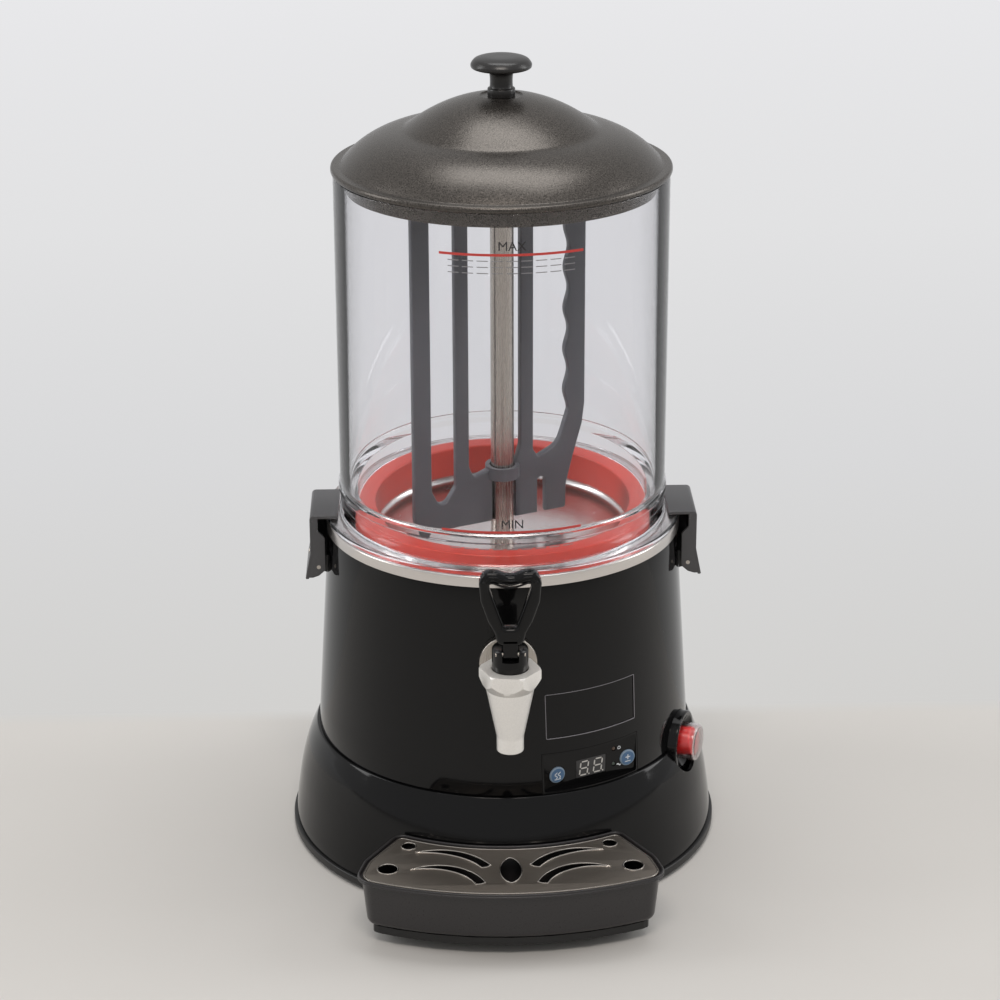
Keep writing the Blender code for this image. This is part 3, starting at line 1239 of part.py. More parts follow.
def make_tap_body():
    top = TAP_COLLAR_TOP
    cone_bottom = TAP_HEIGHT - TAP_CONE_HEIGHT
    body = turned("tap_body", [(0, top), (TAP_CHAMBER_RADIUS, top), (TAP_CHAMBER_RADIUS, TAP_HEIGHT),
                               (TAP_SPOUT_RADIUS, cone_bottom), (TAP_SPOUT_RADIUS, TAP_SPOUT_BOTTOM),
                               (0, TAP_SPOUT_BOTTOM)], MEDIUM_STEPS, base=TAP_HEIGHT)
    body.location.y = -TAP_REACH
    collar_low = top - TAP_COLLAR_HEIGHT
    collar = cylinder("add_collar", TAP_COLLAR_RADIUS, tap_axis(collar_low), tap_axis(top), 6)
    collar.rotation_euler = (0, 0, TAP_COLLAR_TURN)
    barrel = turned("collar_barrel", [(0, top + OVERRUN), (TAP_COLLAR_RADIUS - SHEET * 1.5, top + OVERRUN),
                                      (TAP_COLLAR_RADIUS - SHEET * 1.5, top),
                                      (TAP_COLLAR_RADIUS, top - SHEET * 1.5),
                                      (TAP_COLLAR_RADIUS, collar_low + TAP_COLLAR_HEIGHT * 0.55),
                                      (TAP_COLLAR_RADIUS - TAP_COLLAR_CHAMFER, collar_low),
                                      (0, collar_low)], MEDIUM_STEPS, CUTTERS)
    barrel.location.y = -TAP_REACH
    keep_inside(collar, barrel)
    shank = cylinder("add_shank", TAP_SHANK_RADIUS, tap_axis(TAP_HEIGHT), (0, -shank_end(), TAP_HEIGHT))
    join(body, collar, shank)
    bore_profile = [(0, top + OVERRUN), (BONNET_RADIUS + GAP, top + OVERRUN),
                    (BONNET_RADIUS + GAP, TAP_THREAD_BOTTOM),
                    (SEAT_RADIUS * 1.4, TAP_THREAD_BOTTOM - SHEET * 2),
                    (SEAT_RADIUS + SHEET * 0.8, TAP_THROAT_TOP), (TAP_THROAT_RADIUS, TAP_THROAT_TOP),
                    (TAP_THROAT_RADIUS, TAP_THROAT_TOP - TAP_THROAT_HEIGHT),
                    (TAP_SPOUT_BORE, TAP_THROAT_TOP - TAP_THROAT_HEIGHT * 1.7),
                    (TAP_SPOUT_BORE, TAP_SPOUT_BOTTOM - OVERRUN), (0, TAP_SPOUT_BOTTOM - OVERRUN)]
    bore = turned("cut_tap_bore", bore_profile, SMALL_STEPS, CUTTERS)
    bore.location.y = -TAP_REACH
    shank_bore = cylinder("cut_shank_bore", TAP_SHANK_BORE, tap_axis(TAP_HEIGHT),
                          (0, -shank_end() + OVERRUN, TAP_HEIGHT))
    cut(body, bore, shank_bore)
    dress(body, "tap_silver")


def shank_end():
    return BATH_RADIUS + OVERRUN * 1.5


def make_tap_fittings():
    wall = housing_radius(TAP_HEIGHT)
    washer = cylinder("tap_washer", WASHER_RADIUS, (0, -wall - WASHER_THICKNESS, TAP_HEIGHT),
                      (0, -wall + WASHER_THICKNESS, TAP_HEIGHT), MEDIUM_STEPS, PARTS)
    hole = cylinder("cut_washer", TAP_SHANK_RADIUS + GAP, (0, -wall - OVERRUN * 3, TAP_HEIGHT),
                    (0, -wall + OVERRUN * 3, TAP_HEIGHT))
    cut(washer, housing_form("cut_washer_back", GAP), hole)
    dress(washer, "steel")
    inner = min(housing_radius(TAP_HEIGHT + side * LOCKNUT_RADIUS) for side in (-1, 1)) - SHELL_WALL
    face = math.sqrt(inner ** 2 - LOCKNUT_RADIUS ** 2) - GAP
    locknut = cylinder("tap_locknut", LOCKNUT_RADIUS, (0, -face, TAP_HEIGHT),
                       (0, -face + LOCKNUT_THICKNESS, TAP_HEIGHT), 6, PARTS)
    cut(locknut, cylinder("cut_locknut", TAP_SHANK_RADIUS + GAP, (0, -face - OVERRUN, TAP_HEIGHT),
                          (0, -face + LOCKNUT_THICKNESS + OVERRUN, TAP_HEIGHT)))
    dress(locknut, "brass")
    bottom = TAP_THREAD_BOTTOM + GAP
    floor = TAP_COLLAR_TOP + GAP
    bore = STEM_RADIUS + GAP
    bonnet = turned("tap_bonnet", [(bore, BONNET_TOP), (BONNET_RADIUS, BONNET_TOP),
                                   (BONNET_RADIUS, bottom), (bore, bottom)], MEDIUM_STEPS, base=bottom)
    bonnet.location.y = -TAP_REACH
    slot = box("cut_bonnet_slot", (-BONNET_SLOT / 2, -TAP_REACH - BONNET_RADIUS - OVERRUN, floor),
               (BONNET_SLOT / 2, -TAP_REACH + STEM_HEAD_RADIUS + SHEET, BONNET_TOP + OVERRUN))
    reach = BONNET_RADIUS + OVERRUN
    pin_hole = cylinder("cut_bonnet_pin", LEVER_PIN_RADIUS + GAP, LEVER_PIVOT - Vector((reach, 0, 0)),
                        LEVER_PIVOT + Vector((reach, 0, 0)), TINY_STEPS)
    cut(bonnet, slot, pin_hole)
    dress(bonnet, "black_gloss")
    half = math.sqrt(BONNET_RADIUS ** 2 - LEVER_PIVOT_AHEAD ** 2) - LEVER_PIN_INSET
    pin = cylinder("lever_pin", LEVER_PIN_RADIUS, LEVER_PIVOT - Vector((half, 0, 0)),
                   LEVER_PIVOT + Vector((half, 0, 0)), TINY_STEPS, PARTS)
    dress(pin, "steel")


def make_stem():
    finger_top = LEVER_PIVOT.z - LEVER_FINGER_RADIUS * 0.8 + LEVER_FINGER_RADIUS
    head_low = finger_top + GAP
    seat_low = TAP_THROAT_TOP + GAP
    head_high = head_low + STEM_HEAD_HEIGHT
    stem_low = seat_low + SEAT_HEIGHT * 0.4 + GAP
    stem = turned("tap_stem", [(0, head_high), (STEM_HEAD_RADIUS, head_high), (STEM_HEAD_RADIUS, head_low),
                               (STEM_RADIUS, head_low), (STEM_RADIUS, stem_low), (0, stem_low)],
                  SMALL_STEPS, base=seat_low)
    stem.location.y = -TAP_REACH
    dress(stem, "steel")
    seat_high = seat_low + SEAT_HEIGHT
    bore = STEM_RADIUS + GAP
    seat = turned("tap_seat", [(bore, seat_high), (SEAT_RADIUS, seat_high), (SEAT_RADIUS, seat_low),
                               (0, seat_low), (0, stem_low - GAP), (bore, stem_low - GAP)],
                  SMALL_STEPS, base=seat_low)
    seat.location.y = -TAP_REACH
    dress(seat, "rubber")
    spring_low = seat_high + SPRING_WIRE_RADIUS + GAP
    spring_high = TAP_THREAD_BOTTOM - SPRING_WIRE_RADIUS
    points = []
    count = SPRING_TURNS * SPRING_TURN_STEPS
    for i in range(count + 1):
        angle = FULL_TURN * i / SPRING_TURN_STEPS
        points.append((SPRING_RADIUS * math.cos(angle), -TAP_REACH + SPRING_RADIUS * math.sin(angle),
                       spring_low + (spring_high - spring_low) * i / count))
    spring = rod_along("tap_spring", points, SPRING_WIRE_RADIUS, 1, origin=tap_axis(spring_low))
    dress(spring, "steel")


def make_lever():
    """The lever's handle is an open loop over a hood; a tongue runs down to the pin, and two fingers
    reach back from the pin under the head of the stem."""
    hood = BONNET_TOP + LEVER_HOOD_GAP - LEVER_PIVOT.z
    tongue_front = -LEVER_TONGUE_THICKNESS / 2
    tongue_back = LEVER_TONGUE_THICKNESS / 2
    side = [(across * LEVER_HALF_WIDTH, hood + up * LEVER_HEIGHT, radius * LEVER_HALF_WIDTH)
            for across, up, radius in LEVER_OUTLINE_SHARES]
    dip = (0, hood + LEVER_DIP_SHARES[1] * LEVER_HEIGHT, LEVER_DIP_SHARES[2] * LEVER_HALF_WIDTH)
    outer = rounded(side + [dip] + [(-x, y, radius) for x, y, radius in reversed(side)])
    right = [(across * LEVER_HALF_WIDTH, hood + up * LEVER_HEIGHT, radius * LEVER_HALF_WIDTH)
             for across, up, radius in LEVER_WINDOW_SHARES]
    window = rounded(right + [(-x, y, radius) for x, y, radius in reversed(right)])
    middle = LEVER_THICKNESS / 2 + tongue_front
    lever = outline_plate("tap_lever", [outer, window], LEVER_THICKNESS,
                          upright(0, LEVER_PIVOT.y + middle, LEVER_PIVOT.z))
    lever = with_origin(lever, LEVER_PIVOT)
    lobe_low = -LEVER_LOBE_RADIUS
    tongue = rounded([(tongue_front, lobe_low, LEVER_LOBE_RADIUS), (tongue_back, lobe_low, LEVER_LOBE_RADIUS),
                      (tongue_back, hood + OVERRUN / 2, 0), (tongue_front, hood + OVERRUN / 2, 0)])
    add_tongue = outline_plate("add_tongue", [tongue], LEVER_TONGUE, side_on(*LEVER_PIVOT), CUTTERS)
    reach = LEVER_PIVOT_AHEAD
    thick = LEVER_FINGER_RADIUS
    drop = thick * 0.8
    finger = rounded([(0, -drop - thick, 0), (reach + thick, -drop - thick, thick),
                      (reach + thick, -drop + thick, thick), (0, -drop + thick, 0)])
    add_fingers = outline_plate("add_fingers", [finger], LEVER_TONGUE, side_on(*LEVER_PIVOT), CUTTERS)
    join(lever, add_tongue, add_fingers)
    slot_half = STEM_RADIUS + SHEET
    slot = box("cut_fork", (-slot_half, LEVER_PIVOT.y + tongue_back + GAP, LEVER_PIVOT.z + lobe_low),
               (slot_half, LEVER_PIVOT.y + reach + OVERRUN, LEVER_PIVOT.z - lobe_low))
    pin_hole = cylinder("cut_lever_pin", LEVER_PIN_RADIUS + GAP, LEVER_PIVOT - Vector((LEVER_TONGUE, 0, 0)),
                        LEVER_PIVOT + Vector((LEVER_TONGUE, 0, 0)), TINY_STEPS)
    cut(lever, slot, pin_hole)
    dress(lever, "black_gloss")


def with_origin(obj, place):
    """Moves the object's origin without moving its mesh in the world."""
    target = Matrix.Translation(place)
    obj.data.transform(target.inverted() @ obj.matrix_world)
    obj.matrix_world = target
    return obj


def make_outlet_pipe():
    top = BOWL_FLOOR - SHEET - GAP
    bend = PIPE_BEND
    points = [(0, -OUTLET_PLACE, top), (0, -OUTLET_PLACE, TAP_HEIGHT + bend)]
    for step in range(1, ARC_STEPS):
        angle = QUARTER_TURN * step / ARC_STEPS
        points.append((0, -OUTLET_PLACE - bend * (1 - math.cos(angle)),
                       TAP_HEIGHT + bend * (1 - math.sin(angle))))
    points.append((0, -OUTLET_PLACE - bend, TAP_HEIGHT))
    points.append((0, -shank_end() + GAP, TAP_HEIGHT))
    pipe = rod_along("outlet_pipe", points, TAP_SHANK_RADIUS, 4, origin=(0, -OUTLET_PLACE, TAP_HEIGHT))
    inner = [(0, -OUTLET_PLACE, top + OVERRUN)] + points[1:-1] + [(0, -shank_end() - OVERRUN, TAP_HEIGHT)]
    bore = rod_along("cut_outlet_pipe", inner, PIPE_BORE, 3, CUTTERS)
    cut(pipe, bore)
    dress(pipe, "steel")


# Side clamps

def make_clamp(side, word):
    """A channel that hooks over the tank flange and turns outward about its pin."""
    height = HOUSING_TOP - CLAMP_PIN_DROP
    pin_x = housing_radius(height) + CLAMP_PIN_OUT
    pin = Vector((side * pin_x, 0, height))
    top = FLANGE_TOP + GAP + CLAMP_SHEET - height
    tip = TANK_OUTER_RADIUS + CLAMP_TIP_INSET - pin_x
    outer = CLAMP_OUTER
    sheet = CLAMP_SHEET
    bottom = -CLAMP_BELOW_PIN
    knee = bottom + CLAMP_FLARE_HEIGHT
    strip = [(tip, top - sheet), (outer - sheet, top - sheet), (outer - sheet, knee),
             (outer - sheet + CLAMP_FLARE, bottom), (outer + CLAMP_FLARE, bottom), (outer, knee),
             (outer, top), (tip, top)]
    clamp = outline_plate(f"clamp_{word}", [[(side * x, z) for x, z in strip]], CLAMP_WIDTH, upright(*pin))
    web_top = HOUSING_TOP - CLAMP_WEB_TOP_DROP * 0.25 - height
    ledge = top - sheet
    web = [(-CLAMP_WEB_INNER, web_top), (-CLAMP_WEB_INNER, -CLAMP_WEB_BELOW * 0.35),
           (-CLAMP_WEB_INNER * 0.6, -CLAMP_WEB_BELOW * 0.75), (0, -CLAMP_WEB_BELOW),
           (outer - sheet, bottom), (outer + CLAMP_FLARE - sheet / 2, bottom), (outer - sheet / 2, knee),
           (outer - sheet / 2, ledge + sheet / 2), (0, ledge + sheet / 2), (0, web_top + CLAMP_WEB_INNER)]
    for i, across in enumerate((-1, 1)):
        y = across * (CLAMP_WIDTH - sheet) / 2
        join(clamp, outline_plate(f"add_web_{word}_{i}", [[(side * x, z) for x, z in web]], sheet,
                                  upright(pin.x, y, pin.z), CUTTERS))
    reach = Vector((0, CLAMP_WIDTH, 0))
    cut(clamp, cylinder(f"cut_clamp_{word}", CLAMP_PIN_RADIUS + GAP, pin - reach, pin + reach, TINY_STEPS))
    dress(clamp, "clamp_grey")
    make_lug(side, word, pin)


def make_lug(side, word, pin):
    root = pin.x - side * (CLAMP_PIN_OUT + CLAMP_LUG_ROOT)
    half_height = CLAMP_LUG_HEIGHT / 2
    boss = CLAMP_BOSS_RADIUS
    outline = rounded([(side * (abs(root) - abs(pin.x)), -half_height, 0), (side * boss, -boss, boss),
                       (side * boss, boss, boss), (side * (abs(root) - abs(pin.x)), half_height, 0)])
    lug = outline_plate(f"clamp_lug_{word}", [outline], CLAMP_LUG_WIDTH, upright(*pin))
    reach = Vector((0, CLAMP_WIDTH, 0))
    cut(lug, housing_form(f"cut_lug_back_{word}", GAP),
        cylinder(f"cut_lug_{word}", CLAMP_PIN_RADIUS + GAP, pin - reach, pin + reach, TINY_STEPS))
    dress(lug, "black_matt")
    half = Vector((0, CLAMP_WIDTH / 2, 0))
    rod = cylinder(f"clamp_pin_{word}", CLAMP_PIN_RADIUS, pin - half, pin + half, TINY_STEPS, PARTS)
    dress(rod, "steel")


# Drip tray and grid

def arc_through(start, middle, end, steps):
    """Points of the circle's arc from start past middle to end, without its last point."""
    (ax, ay), (bx, by), (cx, cy) = start, middle, end
    double = 2 * (ax * (by - cy) + bx * (cy - ay) + cx * (ay - by))
    ux = ((ax ** 2 + ay ** 2) * (by - cy) + (bx ** 2 + by ** 2) * (cy - ay)
          + (cx ** 2 + cy ** 2) * (ay - by)) / double
    uy = ((ax ** 2 + ay ** 2) * (cx - bx) + (bx ** 2 + by ** 2) * (ax - cx)
          + (cx ** 2 + cy ** 2) * (bx - ax)) / double
    centre = Vector((ux, uy))
    first = Vector(start) - centre
    sweep = first.angle_signed(Vector(end) - centre)
    return [tuple(centre + Matrix.Rotation(-sweep * i / steps, 2) @ first) for i in range(steps)]


def tray_back():
    """The tray's middle back, just clear of the skirt at the rim."""
    return skirt_radius(TRAY_RIM_TOP) + TRAY_CLEARANCE


def tray_point(across, back):
    return (across * TRAY_HALF_WIDTH, -tray_back() - back * TRAY_DEPTH)


def tray_corner(shares, side):
    return (*tray_point(side * shares[0], shares[1]), shares[2] * TRAY_HALF_WIDTH)


def tray_outline(inset, back_inset=0.0):
    """The tray's plan, counter-clockwise from the back right corner, drawn in by inset."""
    back = tray_point(*TRAY_BACK_CORNER_SHARES[:2])
    front = tray_point(*TRAY_FRONT_CORNER_SHARES[:2])
    behind = arc_through(back, tray_point(0, 0), (-back[0], back[1]), TRAY_ARC_STEPS)[1:]
    ahead = arc_through((-front[0], front[1]), tray_point(0, 1), front, TRAY_ARC_STEPS)[1:]
    ring = [tray_corner(TRAY_BACK_CORNER_SHARES, 1)] + [(*point, 0) for point in behind]
    ring += [tray_corner(shares, -1) for shares in (TRAY_BACK_CORNER_SHARES, TRAY_SIDE_CORNER_SHARES,
                                                    TRAY_FRONT_CORNER_SHARES)]
    ring += [(*point, 0) for point in ahead]
    ring += [tray_corner(shares, 1) for shares in (TRAY_FRONT_CORNER_SHARES, TRAY_SIDE_CORNER_SHARES)]
    return inset_outline(rounded(ring, TRAY_CORNER_STEPS), inset, back_inset)


def inset_outline(points, inset, back_inset):
    """Moves each point inward along the mean of its two edge normals. The back edge takes back_inset
    more, so that it clears the skirt's flare."""
    count = len(points)
    moved = []
    for i in range(count):
        before = Vector(points[i - 1])
        here = Vector(points[i])
        after = Vector(points[(i + 1) % count])
        one = (here - before).normalized()
        two = (after - here).normalized()
        normal = Vector((-one.y - two.y, one.x + two.x)).normalized()
        stretch = inset / max(normal.dot(Vector((-one.y, one.x))), 0.5)
        place = here + normal * stretch
        behind = max(0.0, -normal.y)
        place.y -= back_inset * behind
        moved.append(tuple(place))
    return moved


def make_tray():
    rim_low = TRAY_RIM_TOP - TRAY_RIM_HEIGHT
    ledge = TRAY_RIM_TOP - TRAY_LEDGE_DROP
    wall = TRAY_WALL_INSET
    foot = wall + TRAY_TAPER
    flare = skirt_radius(TRAY_BOTTOM) - skirt_radius(TRAY_RIM_TOP)
    floor = TRAY_BOTTOM + TRAY_WALL
    plan = [(tray_outline(foot, flare), TRAY_BOTTOM), (tray_outline(wall, flare * 0.15), rim_low),
            (tray_outline(0), rim_low), (tray_outline(0), TRAY_RIM_TOP),
            (tray_outline(TRAY_RIM_WALL), TRAY_RIM_TOP), (tray_outline(TRAY_RIM_WALL), ledge),
            (tray_outline(wall + TRAY_WALL, flare * 0.15), ledge),
            (tray_outline(foot + TRAY_WALL, flare), floor)]
    rows = [[(x, y, height) for x, y in outline] for outline, height in plan]
    tray = with_origin(lofted("drip_tray", rows), Vector((0, -tray_back(), TRAY_BOTTOM)))
    dress(tray, "tray_grey")


def circle(centre, radius, steps):
    return [(centre[0] + radius * math.cos(FULL_TURN * i / steps),
             centre[1] + radius * math.sin(FULL_TURN * i / steps)) for i in range(steps)]


def crescent(tip, crown, end, side):
    """A slot that is pointed at its outer tip and widens to its inner end."""
    start, middle, last = (tray_point(side * x, y) for x, y in (tip, crown, end))
    spine = arc_through(start, middle, last, CRESCENT_STEPS) + [last]
    width = CRESCENT_THICKNESS_SHARE * TRAY_HALF_WIDTH / 2
    near, far = [], []
    for i, point in enumerate(spine):
        before = Vector(spine[max(i - 1, 0)])
        after = Vector(spine[min(i + 1, CRESCENT_STEPS)])
        along = (after - before).normalized()
        half = width * math.sin(QUARTER_TURN * min(1.0, i / (CRESCENT_STEPS * 0.6)))
        place = Vector(point)
        near.append(tuple(place + Vector((-along.y, along.x)) * half))
        far.append(tuple(place - Vector((-along.y, along.x)) * half))
    return near + list(reversed(far[1:]))


def make_grid():
    loops = [tray_outline(TRAY_RIM_WALL + GRID_GAP)]
    for side in (-1, 1):
        for (across, back), radius in ((GRID_BACK_HOLE_SHARES, GRID_BACK_HOLE_RADIUS),
                                       (GRID_FRONT_HOLE_SHARES, GRID_FRONT_HOLE_RADIUS)):
            loops.append(circle(tray_point(side * across, back), radius, TINY_STEPS))
        for tip, crown, end in CRESCENT_SHARES:
            loops.append(crescent(tip, crown, end, side))
    leaf = []
    centre = tray_point(0, LEAF_CENTRE_SHARE)
    for i in range(LEAF_STEPS * 2):
        angle = math.pi * i / LEAF_STEPS
        across = LEAF_HALF_WIDTH * math.sin(angle) * abs(math.sin(angle)) ** 0.3
        leaf.append((centre[0] + across, centre[1] + LEAF_HALF_LENGTH * math.cos(angle)))
    loops.append(leaf)
    low = TRAY_RIM_TOP - TRAY_LEDGE_DROP + GAP
    grid = outline_plate("tray_grid", loops, GRID_THICKNESS,
                         Matrix.Translation((0, 0, low + GRID_THICKNESS / 2)))
    dress(grid, "steel")


def make_tray_support():
    """A solid shelf under the tray, which runs back to the skirt."""
    top = TRAY_BOTTOM - GAP
    low = RING_TOP + GAP * 2
    back = tray_back()
    front = [point for point in tray_outline(SUPPORT_INSET) if point[1] < -back - SUPPORT_SHOULDER]
    outline = [(front[-1][0], -back + GAP), (front[0][0], -back + GAP)] + front
    support = outline_plate("tray_support", [outline], top - low,
                            Matrix.Translation((0, 0, (low + top) / 2)))
    cut(support, skirt_form("cut_support_back", GAP))
    dress(support, "black_matt")


# Power inlet at the back

def make_inlet():
    height = SKIRT_BOTTOM + INLET_RISE
    face = skirt_radius(height) - INLET_SINK
    inlet = panel_box("power_inlet", math.pi, panel_span(0, INLET_LENGTH), (face - INLET_DEPTH, face),
                      panel_span(height, INLET_HEIGHT), PARTS)
    floor = face - INLET_SOCKET_DEPTH
    cut(inlet, panel_box("cut_socket", math.pi, panel_span(0, INLET_SOCKET_LENGTH), (floor, face + OVERRUN),
                         panel_span(height, INLET_SOCKET_HEIGHT)))
    for i, (across, up) in enumerate(((-1, -0.25), (0, 0.3), (1, -0.25))):
        span = panel_span(across * INLET_PIN_SPREAD, INLET_PIN_THICKNESS)
        join(inlet, panel_box(f"inlet_pin_{i}", math.pi, span,
                              (floor - SHEET, floor + INLET_PIN_LENGTH),
                              panel_span(height + up * INLET_SOCKET_HEIGHT / 2, INLET_PIN_WIDTH)))
    dress(inlet, "black_matt")


def group_moving_parts():
    """Gives each moving group an empty on its joint's axis."""
    find = bpy.data.objects
    bpy.context.view_layer.update()
    carry(pivot("lid_lift", (0, 0, LID_BOTTOM)), find["lid"], find["lid_knob"], find["lid_screw"])
    carry(pivot("stirrer_axis", (0, 0, BOWL_FLOOR)), find["stirrer_paddle"], find["stirrer_nut"],
          find["drive_shaft"], find["shaft_coupling"])
    carry(pivot("tray_slide", (0, -tray_back(), TRAY_BOTTOM)), find["drip_tray"], find["tray_grid"])
    carry(pivot("tap_lift", tap_axis(TAP_HEIGHT)), find["tap_stem"], find["tap_seat"])


def centre_over_origin():
    """Moves the whole machine back, so that the origin lies under the middle of its box. The box runs
    from the tray's front to the back of the base ring."""
    back = (-tray_point(0, 1)[1] - RING_OUTER_RADIUS) / 2
    for obj in bpy.data.objects:
        if obj.parent is None:
            obj.location.y += back


def build():
    clear_scene()
    make_base()
    make_skirt()
    make_housing()
    make_badge()
    make_facia()
    make_panel_parts()
    make_switch()
    make_bowl()
    make_seal()
    make_bath()
    make_heater()
    make_riser()
    make_drive()
    make_paddle()
    make_tank()
    make_lid()
    make_tap_body()
    make_tap_fittings()
    make_stem()
    make_lever()
    make_outlet_pipe()
    make_clamp(-1, "left")
    make_clamp(1, "right")
    make_tray()
    make_grid()
    make_tray_support()
    make_inlet()
    group_moving_parts()
    centre_over_origin()
    bpy.context.view_layer.update()


build()
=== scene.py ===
"""Hot chocolate dispenser machine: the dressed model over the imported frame, with its stage and lights.

Lengths are metres: +Z is up and the front faces -Y. The pieces are drawn with the tank's axis at the
origin, and settle() moves each one to the axis's place in the frame. Azimuth 0 is the front, and it grows
towards the viewer's right. Each class below is one
sub-assembly. It holds its sizes as fields, takes places from the frame's boxes, and builds pieces that
ride on the frame's bodies in place of the frame's own nodes.
"""
import logging
import math
from dataclasses import dataclass
from enum import Enum
from typing import Sequence

import bmesh
import bpy
import numpy as np
from mathutils import Matrix, Vector


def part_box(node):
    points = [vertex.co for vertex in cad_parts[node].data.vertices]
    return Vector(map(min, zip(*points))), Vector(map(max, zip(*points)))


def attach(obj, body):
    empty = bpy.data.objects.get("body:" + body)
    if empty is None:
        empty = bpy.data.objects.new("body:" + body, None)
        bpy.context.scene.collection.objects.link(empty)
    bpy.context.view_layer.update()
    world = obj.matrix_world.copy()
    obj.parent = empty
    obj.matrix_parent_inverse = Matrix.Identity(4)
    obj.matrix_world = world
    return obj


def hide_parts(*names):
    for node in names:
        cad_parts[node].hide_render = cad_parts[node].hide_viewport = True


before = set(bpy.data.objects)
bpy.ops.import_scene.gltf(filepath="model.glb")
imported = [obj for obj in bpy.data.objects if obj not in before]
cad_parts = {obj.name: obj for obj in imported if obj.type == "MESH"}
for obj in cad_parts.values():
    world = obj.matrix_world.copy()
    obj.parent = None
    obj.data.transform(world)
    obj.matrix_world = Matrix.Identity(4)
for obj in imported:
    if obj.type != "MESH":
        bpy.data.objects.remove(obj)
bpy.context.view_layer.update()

LOG = logging.getLogger("hot_chocolate_dispenser")

AXIS = (Vector(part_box("tank")[0]) + Vector(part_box("tank")[1])) / 2
AXIS.z = 0.0
GAP = 0.0003
HAIR = 0.00012
OVERRUN = 0.01
FULL_TURN = math.tau
QUARTER_TURN = math.pi / 2
FINE_STEPS = 256
SMALL_STEPS = 96
SHARP_EDGE = math.radians(32)

# Radii of the eased edges that many pieces share.
KEEN = 0.0002
CRISP = 0.0003
FINE = 0.0004
THIN = 0.0005
SMALL = 0.0006
EASED = 0.0008
MILD = 0.001
SOFT = 0.0012
BROAD = 0.002

Corner = tuple[float, float, float]


class Body(Enum):
    """The frame's bodies that carry pieces of this scene."""

    MACHINE = "machine"
    LID = "lid"
    STIRRER = "stirrer"
    LEVER = "tap_lever"
    ROCKER = "rocker"
    BUTTON_LEFT = "button_left"
    BUTTON_RIGHT = "button_right"
    CLAMP_LEFT = "clamp_left"
    CLAMP_RIGHT = "clamp_right"
    TRAY = "drip_tray"
    GRID = "tray_grid"


# Nodes and finishes

def linear(code: str) -> tuple[float, float, float, float]:
    """Converts an sRGB hex colour to linear light.

    Args:
        code: The colour as "#RRGGBB".

    Returns:
        Linear red, green, blue and an alpha of 1.
    """
    channels = np.array([int(code[i:i + 2], 16) for i in (1, 3, 5)]) / 255
    light = np.where(channels <= 0.04045, channels / 12.92, ((channels + 0.055) / 1.055) ** 2.4)
    return (float(light[0]), float(light[1]), float(light[2]), 1.0)


def add_node(tree: bpy.types.NodeTree, kind: str, inputs: dict[str | int, object] | None = None,
             **settings: object) -> bpy.types.Node:
    """Adds one node with its settings and links.

    Args:
        tree: The node tree.
        kind: The node's type name.
        inputs: Values or output sockets by input name or number; a socket is linked.
        settings: Attributes of the node.

    Returns:
        The new node.
    """
    made = tree.nodes.new(kind)
    for key, value in settings.items():
        setattr(made, key, value)
    for key, value in (inputs or {}).items():
        if isinstance(value, bpy.types.NodeSocket):
            tree.links.new(value, made.inputs[key])
        else:
            made.inputs[key].default_value = value
    return made


def ramp(tree: bpy.types.NodeTree, factor: bpy.types.NodeSocket,
         stops: Sequence[tuple[float, tuple[float, ...]]]) -> bpy.types.NodeSocket:
    """Adds a colour ramp.

    Args:
        tree: The node tree.
        factor: The socket that drives it.
        stops: Positions with their linear colours.

    Returns:
        The ramp's colour socket.
    """
    made = add_node(tree, "ShaderNodeValToRGB", {0: factor})
    elements = made.color_ramp.elements
    while len(elements) < len(stops):
        elements.new(0.5)
    for element, (position, colour) in zip(elements, stops):
        element.position = position
        element.color = colour
    return made.outputs["Color"]


